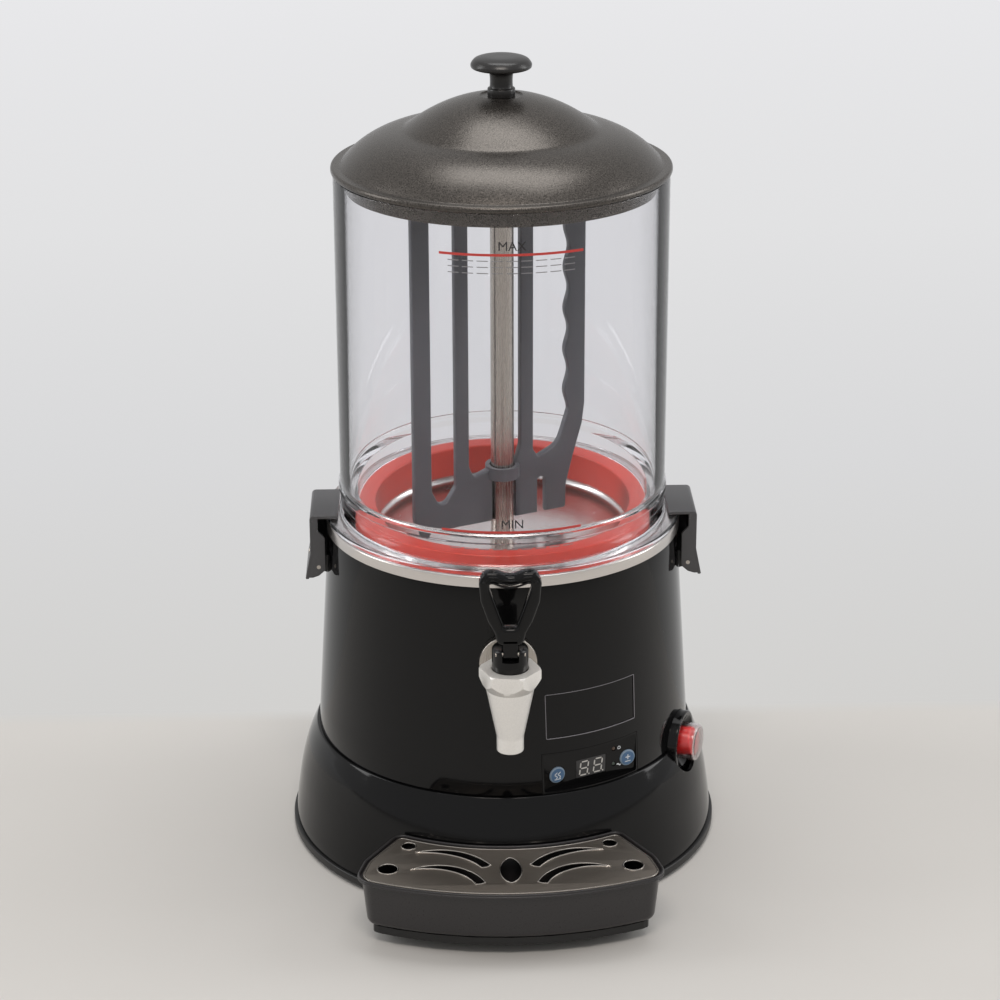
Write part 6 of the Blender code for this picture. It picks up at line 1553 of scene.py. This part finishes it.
@dataclass
class Tap:
    """The tap: satin body with a six-sided collar and tapered spout, black bonnet and looped lever."""

    chamber: float = 0.01625
    spout: float = 0.00925
    cone: float = 0.035
    spout_bore: float = 0.0074
    collar: float = 0.0214
    collar_height: float = 0.0148
    collar_turn: float = math.radians(-8)
    chamfer: float = 0.005
    shank: float = 0.009
    body_top: float = 0.006
    cone_round: float = 0.012
    lip_round: float = 0.0007
    hexagon_round: float = 0.0015
    crown: tuple[float, float] = (0.0012, 0.0018)
    washer: tuple[float, float, float] = (-0.004, 0.0045, 0.0009)
    washer_step: float = 0.002
    bonnet: float = 0.0123
    bonnet_round: float = 0.0026
    slot: float = 0.0112
    slot_back: float = 0.0042
    lever_half: float = 0.0209
    lever_height: float = 0.0538
    lever_thickness: float = 0.010
    lever_edge: float = 0.0026
    hood_gap: float = 0.003
    tongue: tuple[float, float] = (0.010, 0.0055)
    lobe: float = 0.0032
    pivot_ahead: float = 0.0065
    pivot_rise: float = 0.0125
    tongue_reach: float = 0.004
    finger: tuple[float, float, float] = (-0.002, 0.0002, 0.001)
    ridge: float = 0.0007
    side_shares: tuple[Corner, ...] = (
        (0.40, 0.0, 0.35), (0.50, 0.17, 0.3), (0.72, 0.335, 0.6), (0.95, 0.60, 0.5), (1.0, 0.85, 0.3),
        (0.86, 1.0, 0.35), (0.42, 0.99, 0.3))
    dip_shares: Corner = (0.0, 0.93, 0.5)
    window_shares: tuple[Corner, ...] = ((0.20, 0.245, 0.15), (0.64, 0.75, 0.2), (0.68, 0.836, 0.08))
    ridge_insets: tuple[float, ...] = (0.0030, 0.0052, 0.0074)

    def build(self, shells: Shells) -> None:
        """Builds the tap's pieces."""
        top, bottom = high("tap_body").z, low("tap_body").z
        reach = (low("tap_bonnet").y + high("tap_bonnet").y) / 2
        height = (low("tap_washer").z + high("tap_washer").z) / 2
        axis = Matrix.Translation((0, reach, 0))
        collar_low = top - self.collar_height
        throat = height - self.cone * 0.4
        body_top = collar_low + self.body_top
        body = fillet([(0, body_top, 0), (self.chamber, body_top, 0),
                       (self.chamber, height, self.cone_round),
                       (self.spout, height - self.cone, self.cone_round),
                       (self.spout, bottom, self.lip_round), (self.spout_bore, bottom, THIN),
                       (self.spout_bore, throat, 0), (0, throat, 0)], closed=False, steps=10)
        settle(turned("tap_body_dressed", body, axis, closed=False), TAP_METAL, Body.MACHINE, "tap_body")
        turns = [self.collar_turn + FULL_TURN * i / 6 for i in range(6)]
        hexagon = [(self.collar * math.cos(turn), self.collar * math.sin(turn), self.hexagon_round)
                   for turn in turns]
        nut = plate("tap_collar", [fillet(hexagon)], self.collar_height,
                    axis @ Matrix.Translation((0, 0, collar_low + self.collar_height / 2)))
        crown_inset, crown_drop = self.crown
        barrel = fillet([(self.bonnet + GAP, top, CRISP), (self.collar - crown_inset, top, MILD),
                         (self.collar, top - crown_drop, MILD),
                         (self.collar, collar_low + self.collar_height * 0.55, BROAD),
                         (self.collar - self.chamfer, collar_low, FINE),
                         (self.bonnet + GAP, collar_low, 0)])
        nut = carve(nut, [turned("collar_barrel", barrel, axis)], 'INTERSECT')
        settle(nut, TAP_METAL)
        shank = rod("tap_shank", self.shank, Vector((0, reach, height)),
                    Vector((0, high("tap_body").y, height)))
        settle(shank, TAP_METAL)
        washer_radius = high("tap_washer").x
        wall = shells.housing_radius(height)
        inward, outward, washer_round = self.washer
        washer = fillet([(self.shank + GAP, inward, 0), (washer_radius, inward, 0),
                         (washer_radius, outward, washer_round), (self.shank + GAP, outward, SMALL)])
        washer = turned("tap_washer_dressed", divided(washer, self.washer_step),
                        facing(0, Vector((0, -wall, height))), steps=SMALL_STEPS * 2)
        washer = carve(washer, [shells.housing_form("washer_seat", GAP)])
        settle(washer, PLAIN_STEEL, Body.MACHINE, "tap_washer")
        b_low, b_top = low("tap_bonnet").z, high("tap_bonnet").z
        cap = fillet([(0, b_top, 0), (self.bonnet, b_top, self.bonnet_round), (self.bonnet, b_low, CRISP),
                      (0, b_low, 0)], closed=False)
        pivot = Vector((0, reach - self.pivot_ahead, top + self.pivot_rise))
        depth = self.bonnet + self.slot_back
        slot = plate("bonnet_slot", [rectangle(self.slot, OVERRUN * 2, KEEN)], depth,
                     facing(0, Vector((0, reach - self.bonnet + depth / 2 - MILD,
                                       pivot.z - self.lobe - MILD + OVERRUN))))
        settle(carve(turned("tap_bonnet_dressed", cap, axis, closed=False), [slot]), BLACK, Body.MACHINE,
               "tap_bonnet")
        self.lever(pivot, b_top)

    def lever(self, pivot: Vector, bonnet_top: float) -> None:
        """Builds the lever: an open loop with two humps, three ridges along them, a hood and a tongue.

        Args:
            pivot: The middle of its pin.
            bonnet_top: The height of the bonnet's top.
        """
        hood = bonnet_top + self.hood_gap - pivot.z

        def points(shares: Sequence[Corner]) -> list[Corner]:
            """Turns shares of the lever's half width and height into corners."""
            return [(across * self.lever_half, hood + up * self.lever_height, radius * self.lever_half)
                    for across, up, radius in shares]

        def both(side: list[Corner], between: list[Corner]) -> list[Corner]:
            """Mirrors one side's corners past the ones between."""
            return side + between + [(-x, y, radius) for x, y, radius in reversed(side)]

        outer = fillet(both(points(self.side_shares), points((self.dip_shares,))), steps=10)
        window = fillet(both(points(self.window_shares), []), steps=10)
        middle = self.lever_thickness / 2 - self.tongue[1] / 2
        place = facing(0, pivot + Vector((0, middle, 0)))
        loop = plate("tap_lever_dressed", [outer, window], self.lever_thickness, place,
                     edge=self.lever_edge)
        settle(loop, BLACK, Body.LEVER, "tap_lever")
        front = self.lever_thickness / 2
        upward = outer if turns_left(outer) else outer[::-1]
        ridges = []
        for step in self.ridge_insets:
            line = inset(upward, step)
            line = line[np.argsort(line[:, 0])]
            line = line[(line[:, 1] > hood + self.lever_height * 0.66) & (abs(line[:, 0]) < self.lever_half)]
            keep = line[:, 1] > np.interp(line[:, 0], (-self.lever_half, 0, self.lever_half),
                                          (hood + self.lever_height * 0.7,) * 3)
            line = line[keep]
            across = np.linspace(line[:, 0].min(), line[:, 0].max(), 60)
            up = np.interp(across, line[:, 0], line[:, 1])
            up = np.convolve(np.pad(up, 3, mode="edge"), np.ones(7) / 7, mode="valid")
            ridges.append(np.stack([across, up, np.full(60, front)], -1))
        settle(wire("lever_ridges", ridges, self.ridge, False, place), BLACK, Body.LEVER)
        width, thick = self.tongue
        tongue = fillet([(-thick / 2, -self.lobe, self.lobe), (thick / 2, -self.lobe, self.lobe),
                         (thick / 2, hood + self.tongue_reach, 0),
                         (-thick / 2, hood + self.tongue_reach, 0)])
        side = facing(QUARTER_TURN, pivot)
        settle(plate("lever_tongue", [tongue], width, side, edge=FINE), BLACK, Body.LEVER)
        under, over, past = self.finger
        finger = fillet([(0, under, 0), (self.pivot_ahead + past, under, MILD),
                         (self.pivot_ahead + past, over, MILD), (0, over, 0)])
        for i, across in enumerate((-1, 1)):
            settle(plate(f"lever_finger_{i}", [finger], width * 0.25,
                         facing(QUARTER_TURN, pivot + Vector((across * width * 0.37, 0, 0)))),
                   BLACK, Body.LEVER)


@dataclass
class Clamp:
    """One side clamp: a bent channel with two webs and a rivet."""

    width: float = 0.053
    sheet: float = 0.0025
    outer: float = 0.0058
    flare: float = 0.004
    knee: float = 0.020
    below: float = 0.0093
    tip_radius: float = 0.1180
    web_inner: float = 0.0049
    web_below: float = 0.0068
    web_drop: float = 0.0026
    bend: float = 0.0032
    rivet: float = 0.0022
    rivet_heights: tuple[float, float] = (0.0009, 0.0006)
    shoulder: float = 0.2383
    knee_rounds: tuple[float, float] = (0.008, 0.010)
    web_rounds: tuple[float, float] = (0.003, 0.004)
    flange_top: float = 0.2500

    def build(self, side: int, body: Body) -> None:
        """Builds the clamp of one side.

        Args:
            side: -1 for the left, 1 for the right.
            body: Its body.
        """
        pin = (low(f"clamp_pin_{body.value[6:]}") + high(f"clamp_pin_{body.value[6:]}")) / 2
        top = self.flange_top + GAP + self.sheet - pin.z
        tip = self.tip_radius - abs(pin.x)
        outer, s, bottom = self.outer, self.sheet, -self.below
        knee = bottom + self.knee
        inner_knee, outer_knee = self.knee_rounds
        root_round, low_round = self.web_rounds
        strip = [(tip, top - s, SMALL), (outer - s, top - s, max(self.bend - s, SMALL)),
                 (outer - s, knee, inner_knee), (outer - s + self.flare, bottom, EASED),
                 (outer + self.flare, bottom, EASED), (outer, knee, outer_knee), (outer, top, self.bend),
                 (tip, top, EASED)]
        web = [(-self.web_inner, self.shoulder - self.web_drop - pin.z, BROAD),
               (-self.web_inner, -self.web_below * 0.35, root_round), (0, -self.web_below, low_round),
               (outer - s / 2, bottom + MILD, BROAD), (outer + self.flare - s / 2, bottom + MILD, 0),
               (outer - s / 2, knee, 0), (outer - s / 2, top - s / 2, 0), (0, top - s / 2, 0),
               (0, self.shoulder + self.web_drop - pin.z, BROAD)]
        place = facing(0, pin)
        piece = plate(f"{body.value}_dressed", [self.mirrored(strip, side)], self.width, place, edge=THIN)
        settle(piece, CLAMP_PAINT, body, body.value)
        for i, across in enumerate((-1, 1)):
            shift = Vector((0, across * (self.width - s) / 2, 0))
            settle(plate(f"{body.value}_web_{i}", [self.mirrored(web, side)], s * 0.98,
                         facing(0, pin + shift), edge=FINE), CLAMP_PAINT, body)
        crest, edge = self.rivet_heights
        head = fillet([(0, crest, 0), (self.rivet, edge, self.rivet * 0.5), (self.rivet, -edge, 0),
                       (0, -edge, 0)], closed=False)
        spot = pin + Vector((side * (outer + self.flare * 0.42), 0, bottom + self.knee * 0.55))
        settle(turned(f"{body.value}_rivet", head, facing(side * QUARTER_TURN, spot), closed=False,
                      steps=SMALL_STEPS), PLAIN_STEEL, body)

    @staticmethod
    def mirrored(corners: Sequence[Corner], side: int) -> np.ndarray:
        """Rounds an outline and mirrors it for the left side.

        Args:
            corners: The right side's corners.
            side: 1 on the right and -1 on the left.

        Returns:
            The outline.
        """
        return fillet(corners) * (side, 1)


@dataclass
class Tray:
    """The drip tray and its punched grid."""

    half_width: float = 0.1081
    depth: float = 0.0708
    rim_wall: float = 0.002
    rim_height: float = 0.003
    ledge_drop: float = 0.0023
    wall_inset: float = 0.003
    wall: float = 0.002
    taper: float = 0.0035
    floor_lips: tuple[float, float] = (0.012, 0.014)
    foot_rounds: tuple[float, float] = (0.006, 0.005)
    bead: tuple[float, float] = (0.0012, 0.0015)
    rim_round: float = 0.0009
    skirt_gap: float = 0.0002
    arc_steps: int = 7
    arc_round: float = 0.5
    back_corner: Corner = (0.72, -0.304, 0.075)
    side_corner: Corner = (0.934, 0.24, 0.28)
    front_corner: Corner = (1.0, 0.644, 0.14)
    grid_gap: float = 0.0018
    grid_thickness: float = 0.001
    pressed: float = 0.0005
    holes: tuple[tuple[float, float, float], ...] = ((0.650, -0.037, 0.0052), (0.783, 0.417, 0.0071))
    crescents: tuple[tuple[tuple[float, float], ...], ...] = (
        ((0.604, 0.095), (0.384, 0.107), (0.155, 0.395)),
        ((0.637, 0.434), (0.398, 0.417), (0.196, 0.726)))
    crescent_share: float = 0.066
    leaf: tuple[float, float, float] = (0.474, 0.0175, 0.0076)

    def point(self, across: float, back: float) -> np.ndarray:
        """A place on the tray's plan by its shares of the half width and of the depth.

        Args:
            across: The share of the half width.
            back: The share of the depth, from the back.

        Returns:
            The point.
        """
        return np.array((across * self.half_width, -self.back - back * self.depth))

    @property
    def back(self) -> float:
        """How far the tray's middle back lies from the machine's axis."""
        return -low("drip_tray").y - self.depth

    def outline(self) -> np.ndarray:
        """The tray's plan, counter-clockwise: an arc behind, an arc ahead and rounded corners."""
        def corner(shares: Corner, side: int) -> Corner:
            """Places one corner of the plan on the right (1) or on the left (-1)."""
            place = self.point(side * shares[0], shares[1])
            return (place[0], place[1], shares[2] * self.half_width)

        (back, behind_at), (front, ahead_at) = self.back_corner[:2], self.front_corner[:2]
        behind = arc_through(self.point(back, behind_at), self.point(0, 0), self.point(-back, behind_at),
                             self.arc_steps)[1:-1]
        ahead = arc_through(self.point(-front, ahead_at), self.point(0, 1), self.point(front, ahead_at),
                            self.arc_steps)[1:-1]
        ring: list[Corner] = [corner(self.back_corner, 1)]
        ring += [(x, y, self.arc_round) for x, y in behind]
        ring += [corner(self.back_corner, -1), corner(self.side_corner, -1), corner(self.front_corner, -1)]
        ring += [(x, y, self.arc_round) for x, y in ahead]
        ring += [corner(self.front_corner, 1), corner(self.side_corner, 1)]
        return fillet(ring, steps=10)

    def build(self, shells: Shells) -> None:
        """Builds the tray and the grid."""
        rim, bottom = high("drip_tray").z, low("drip_tray").z
        ledge, rim_low = rim - self.ledge_drop, rim - self.rim_height
        foot = self.wall_inset + self.taper
        (lip_under, lip_over), (foot_under, foot_over) = self.floor_lips, self.foot_rounds
        bead_low, bead_top = self.bead
        profile = fillet([
            (foot + lip_under, bottom, 0), (foot, bottom, foot_under), (self.wall_inset, rim_low, EASED),
            (0, rim_low, SMALL), (0, rim_low + bead_low, CRISP), (THIN, rim_low + bead_top, CRISP),
            (CRISP, rim, self.rim_round), (self.rim_wall, rim, THIN), (self.rim_wall, ledge, 0),
            (self.wall_inset + self.wall, ledge, THIN),
            (foot + self.wall, bottom + self.wall, foot_over),
            (foot + lip_over, bottom + self.wall, 0)], closed=False)
        plan = self.outline()
        plan = plan if turns_left(plan) else plan[::-1]
        base = shells.skirt_radius(rim)
        rows = []
        for step, height in profile:
            row = inset(plan, step)
            normal = row - plan
            lean = np.maximum(0, -normal[:, 1] / np.maximum(np.linalg.norm(normal, axis=1), 1e-9))
            row[:, 1] -= np.maximum(0, shells.skirt_radius(height) - base + self.skirt_gap) * lean
            rows.append(np.column_stack([row, np.full(len(row), height)]))
        settle(surface("drip_tray_dressed", np.array(rows), False, True, capped=True), TRAY_PLASTIC,
               Body.TRAY, "drip_tray")
        self.grid(inset(plan, self.rim_wall + self.grid_gap))

    def grid(self, plan: np.ndarray) -> None:
        """Builds the grid's plate and the pressed rims round its openings; the rims' lighter steel colour is
        a painted highlight.

        Args:
            plan: The grid's outline.
        """
        loops = []
        for side in (-1, 1):
            for across, back, radius in self.holes:
                loops.append(ring_of(self.point(side * across, back), radius))
            for shares in self.crescents:
                start, middle, end = (self.point(side * x, y) for x, y in shares)
                spine = arc_through(start, middle, end, 32)
                share = np.linspace(0, 1, 33)
                width = self.crescent_share * self.half_width * np.sin(
                    QUARTER_TURN * np.minimum(1, share / 0.6))
                along = np.gradient(spine, axis=0)
                along /= np.linalg.norm(along, axis=1, keepdims=True)
                normal = np.stack([-along[:, 1], along[:, 0]], -1) * width[:, None] / 2
                cap = along[-1] * width[-1] / 2 * 0.25
                shoulder = (spine + normal)[-1:] * 0.999 + spine[-1:] * 0.001
                loops.append(np.concatenate([(spine + normal)[:-1], shoulder, spine[-1:] + cap,
                                             (spine - normal)[::-1][:-1]]))
        centre, length, width = self.leaf
        angle = np.linspace(0, FULL_TURN, 48, endpoint=False)
        middle = self.point(0, centre)
        loops.append(np.stack([middle[0] + width * np.sin(angle) * abs(np.sin(angle)) ** 0.3,
                               middle[1] + length * np.cos(angle)], -1))
        bottom = low("tray_grid").z
        place = Matrix.Translation((0, 0, bottom + self.grid_thickness / 2))
        settle(plate("tray_grid_dressed", [plan] + loops, self.grid_thickness, place, edge=KEEN),
               GRID_STEEL, Body.GRID, "tray_grid")
        # The rims take a lighter steel than the grid: a painted highlight along the pressed edges.
        rims = [np.column_stack([loop, np.full(len(loop), bottom + self.grid_thickness)]) for loop in loops]
        rims.append(np.column_stack([inset(plan, MILD), np.full(len(plan), bottom + self.grid_thickness
                                                                 - self.pressed * 0.5)]))
        settle(wire("grid_rims", rims, self.pressed, True), RIM_STEEL_PAINTED_HIGHLIGHT, Body.GRID)


# Stage, lights and camera

@dataclass
class Stage:
    """The floor, the backdrop's tones, the world, the lamps and the camera."""

    floor_half: float = 9.0
    step_place: float = 0.17
    step_soft: float = 0.01
    near_floor: str = "#D0CECB"
    wall_stops: tuple[tuple[float, str], ...] = (
        (0.17, "#D2D1CF"), (0.75, "#D9D9DA"), (1.6, "#E2E2E3"), (3.1, "#E8E8EA"))
    ambient: float = 0.47
    mirror_share: float = 0.45
    camera_distance: float = 1.8532
    camera_height: float = 0.98371
    camera_azimuth: float = math.radians(-1.6)
    camera_pan: float = 0.00095
    camera_tilt: float = 0.37563
    camera_roll: float = -0.0031
    lens: float = 99.23

    def floor(self) -> None:
        """Lays the floor. Its near part takes light and shadow. Its far part has the backdrop's tones for
        the camera and for reflections, and is a pale plain surface for all other light."""
        corners = np.array([[(-1, -1, 0), (1, -1, 0)], [(-1, 1, 0), (1, 1, 0)]], float) * self.floor_half
        obj = surface("floor", corners, False, False)
        made = bpy.data.materials.new("floor_tones")
        made.use_nodes = True
        tree = made.node_tree
        tree.nodes.clear()
        place = add_node(tree, "ShaderNodeTexCoord").outputs["Object"]
        along = add_node(tree, "ShaderNodeSeparateXYZ", {0: place}).outputs["Y"]
        last = self.wall_stops[-1][0]
        share = add_node(tree, "ShaderNodeMapRange", {
            "Value": along, "From Min": AXIS.y, "From Max": AXIS.y + last}).outputs["Result"]
        tone = ramp(tree, share, [(where / last, linear(code)) for where, code in self.wall_stops])
        far = add_node(tree, "ShaderNodeMapRange", {
            "Value": along, "From Min": AXIS.y + self.step_place - self.step_soft,
            "From Max": AXIS.y + self.step_place + self.step_soft}).outputs["Result"]
        path = add_node(tree, "ShaderNodeLightPath")
        seen = add_node(tree, "ShaderNodeMath", {
            0: path.outputs["Is Camera Ray"], 1: path.outputs["Is Glossy Ray"]},
            operation='MAXIMUM').outputs[0]
        seen = add_node(tree, "ShaderNodeMath", {0: seen, 1: path.outputs["Is Transmission Ray"]},
                        operation='MAXIMUM').outputs[0]
        both = add_node(tree, "ShaderNodeMath", {0: seen, 1: far}, operation='MULTIPLY').outputs[0]
        glow = add_node(tree, "ShaderNodeEmission", {"Color": tone, "Strength": 1.0}).outputs["Emission"]
        grain = add_node(tree, "ShaderNodeTexNoise", {"Vector": place, "Scale": 3.0, "Detail": 2.0})
        base = linear(self.near_floor)
        dark = (*(value * 0.97 for value in base[:3]), 1.0)
        near = ramp(tree, grain.outputs["Fac"], ((0.3, dark), (0.7, base)))
        plain = add_node(tree, "ShaderNodeBsdfPrincipled", {"Base Color": near, "Roughness": 0.75})
        mixed = add_node(tree, "ShaderNodeMixShader", {0: both, 1: plain.outputs["BSDF"], 2: glow})
        add_node(tree, "ShaderNodeOutputMaterial", {"Surface": mixed.outputs["Shader"]})
        obj.data.materials.append(made)

    def world(self) -> None:
        """Sets an even grey sky, which the camera and reflections see as the backdrop's tone."""
        world = bpy.data.worlds.new("backdrop")
        bpy.context.scene.world = world
        world.use_nodes = True
        tree = world.node_tree
        tree.nodes.clear()
        path = add_node(tree, "ShaderNodeLightPath")
        seen = add_node(tree, "ShaderNodeMath", {
            0: path.outputs["Is Camera Ray"], 1: path.outputs["Is Transmission Ray"]},
            operation='MAXIMUM').outputs[0]
        part = add_node(tree, "ShaderNodeMath", {0: path.outputs["Is Glossy Ray"], 1: self.mirror_share},
                        operation='MULTIPLY').outputs[0]
        seen = add_node(tree, "ShaderNodeMath", {0: seen, 1: part}, operation='MAXIMUM').outputs[0]
        lit = add_node(tree, "ShaderNodeBackground", {"Color": linear("#F2F1EF"), "Strength": self.ambient})
        shown = add_node(tree, "ShaderNodeBackground", {"Color": linear("#E6E6E8"), "Strength": 1.0})
        mixed = add_node(tree, "ShaderNodeMixShader", {
            0: seen, 1: lit.outputs["Background"], 2: shown.outputs["Background"]})
        add_node(tree, "ShaderNodeOutputWorld", {"Surface": mixed.outputs["Shader"]})

    def lamp(self, name: str, place: Sequence[float], target: Sequence[float], size: tuple[float, float],
             power: float, colour: str = "#FFFFFF") -> None:
        """Adds a soft rectangular lamp.

        Args:
            name: Its name.
            place: Where it hangs.
            target: What it points at.
            size: Its width and height.
            power: Its watts.
            colour: Its sRGB colour.
        """
        data = bpy.data.lights.new(name, 'AREA')
        data.shape = 'RECTANGLE'
        data.size, data.size_y = size
        data.energy = power
        data.color = linear(colour)[:3]
        obj = bpy.data.objects.new(name, data)
        obj.location = AXIS + Vector(place)
        aim = Vector(target) - Vector(place)
        obj.rotation_euler = aim.to_track_quat('-Z', 'Y').to_euler()
        bpy.context.scene.collection.objects.link(obj)

    def camera(self) -> None:
        """Sets the camera where the photograph was taken from."""
        data = bpy.data.cameras.new("photo_camera")
        data.sensor_width = 36.0
        data.lens = self.lens
        data.clip_end = 100.0
        data.dof.use_dof = False
        obj = bpy.data.objects.new("photo_camera", data)
        spot = AXIS + around(self.camera_azimuth, self.camera_distance, self.camera_height)
        obj.matrix_world = (Matrix.Translation(spot)
                            @ Matrix.Rotation(self.camera_azimuth + self.camera_pan, 4, 'Z')
                            @ Matrix.Rotation(QUARTER_TURN - self.camera_tilt, 4, 'X')
                            @ Matrix.Rotation(self.camera_roll, 4, 'Z'))
        bpy.context.scene.collection.objects.link(obj)
        bpy.context.scene.camera = obj

    def build(self) -> None:
        """Builds the stage."""
        self.floor()
        self.world()
        self.lamp("key_front_top", (-0.1, -1.75, 2.6), (0, 0.3, 0.5), (1.3, 0.55), 26.0, "#FFF6EE")
        self.lamp("overhead", (0.1, 0.3, 2.4), (0, 0, 0.4), (1.6, 1.0), 17.0)
        self.lamp("left_side", (-2.1, 0.1, 1.2), (0, 0, 0.25), (0.7, 1.6), 13.0)
        self.lamp("right_side", (2.1, 0.2, 1.1), (0, 0, 0.25), (0.7, 1.6), 13.0)
        self.camera()
        bpy.context.scene.view_settings.view_transform = 'Standard'


def dress_inner_nodes() -> None:
    """Gives the frame's own meshes that stay their procedural finishes."""
    for finish, names in INNER_FINISHES.items():
        for name in names:
            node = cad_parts[name]
            node.data.materials.clear()
            node.data.materials.append(finish.material())


def main() -> None:
    """Builds the dressed machine and its stage."""
    logging.basicConfig(level=logging.INFO, format="%(name)s: %(message)s")
    shells, panel, badge, switch = Shells(), Panel(), Badge(), Switch()
    dress_inner_nodes()
    shells.build(Holes(panel, badge, switch, Inlet()))
    badge.build(shells)
    panel.build(shells)
    switch.build()
    LOG.info("shells and controls built")
    Bowl().build()
    Tank().build()
    Lid().build()
    Stirrer().build()
    LOG.info("tank, lid and stirrer built")
    Tap().build(shells)
    Clamp().build(-1, Body.CLAMP_LEFT)
    Clamp().build(1, Body.CLAMP_RIGHT)
    Tray().build(shells)
    LOG.info("tap, clamps and tray built")
    Stage().build()


if __name__ == "__main__":
    main()
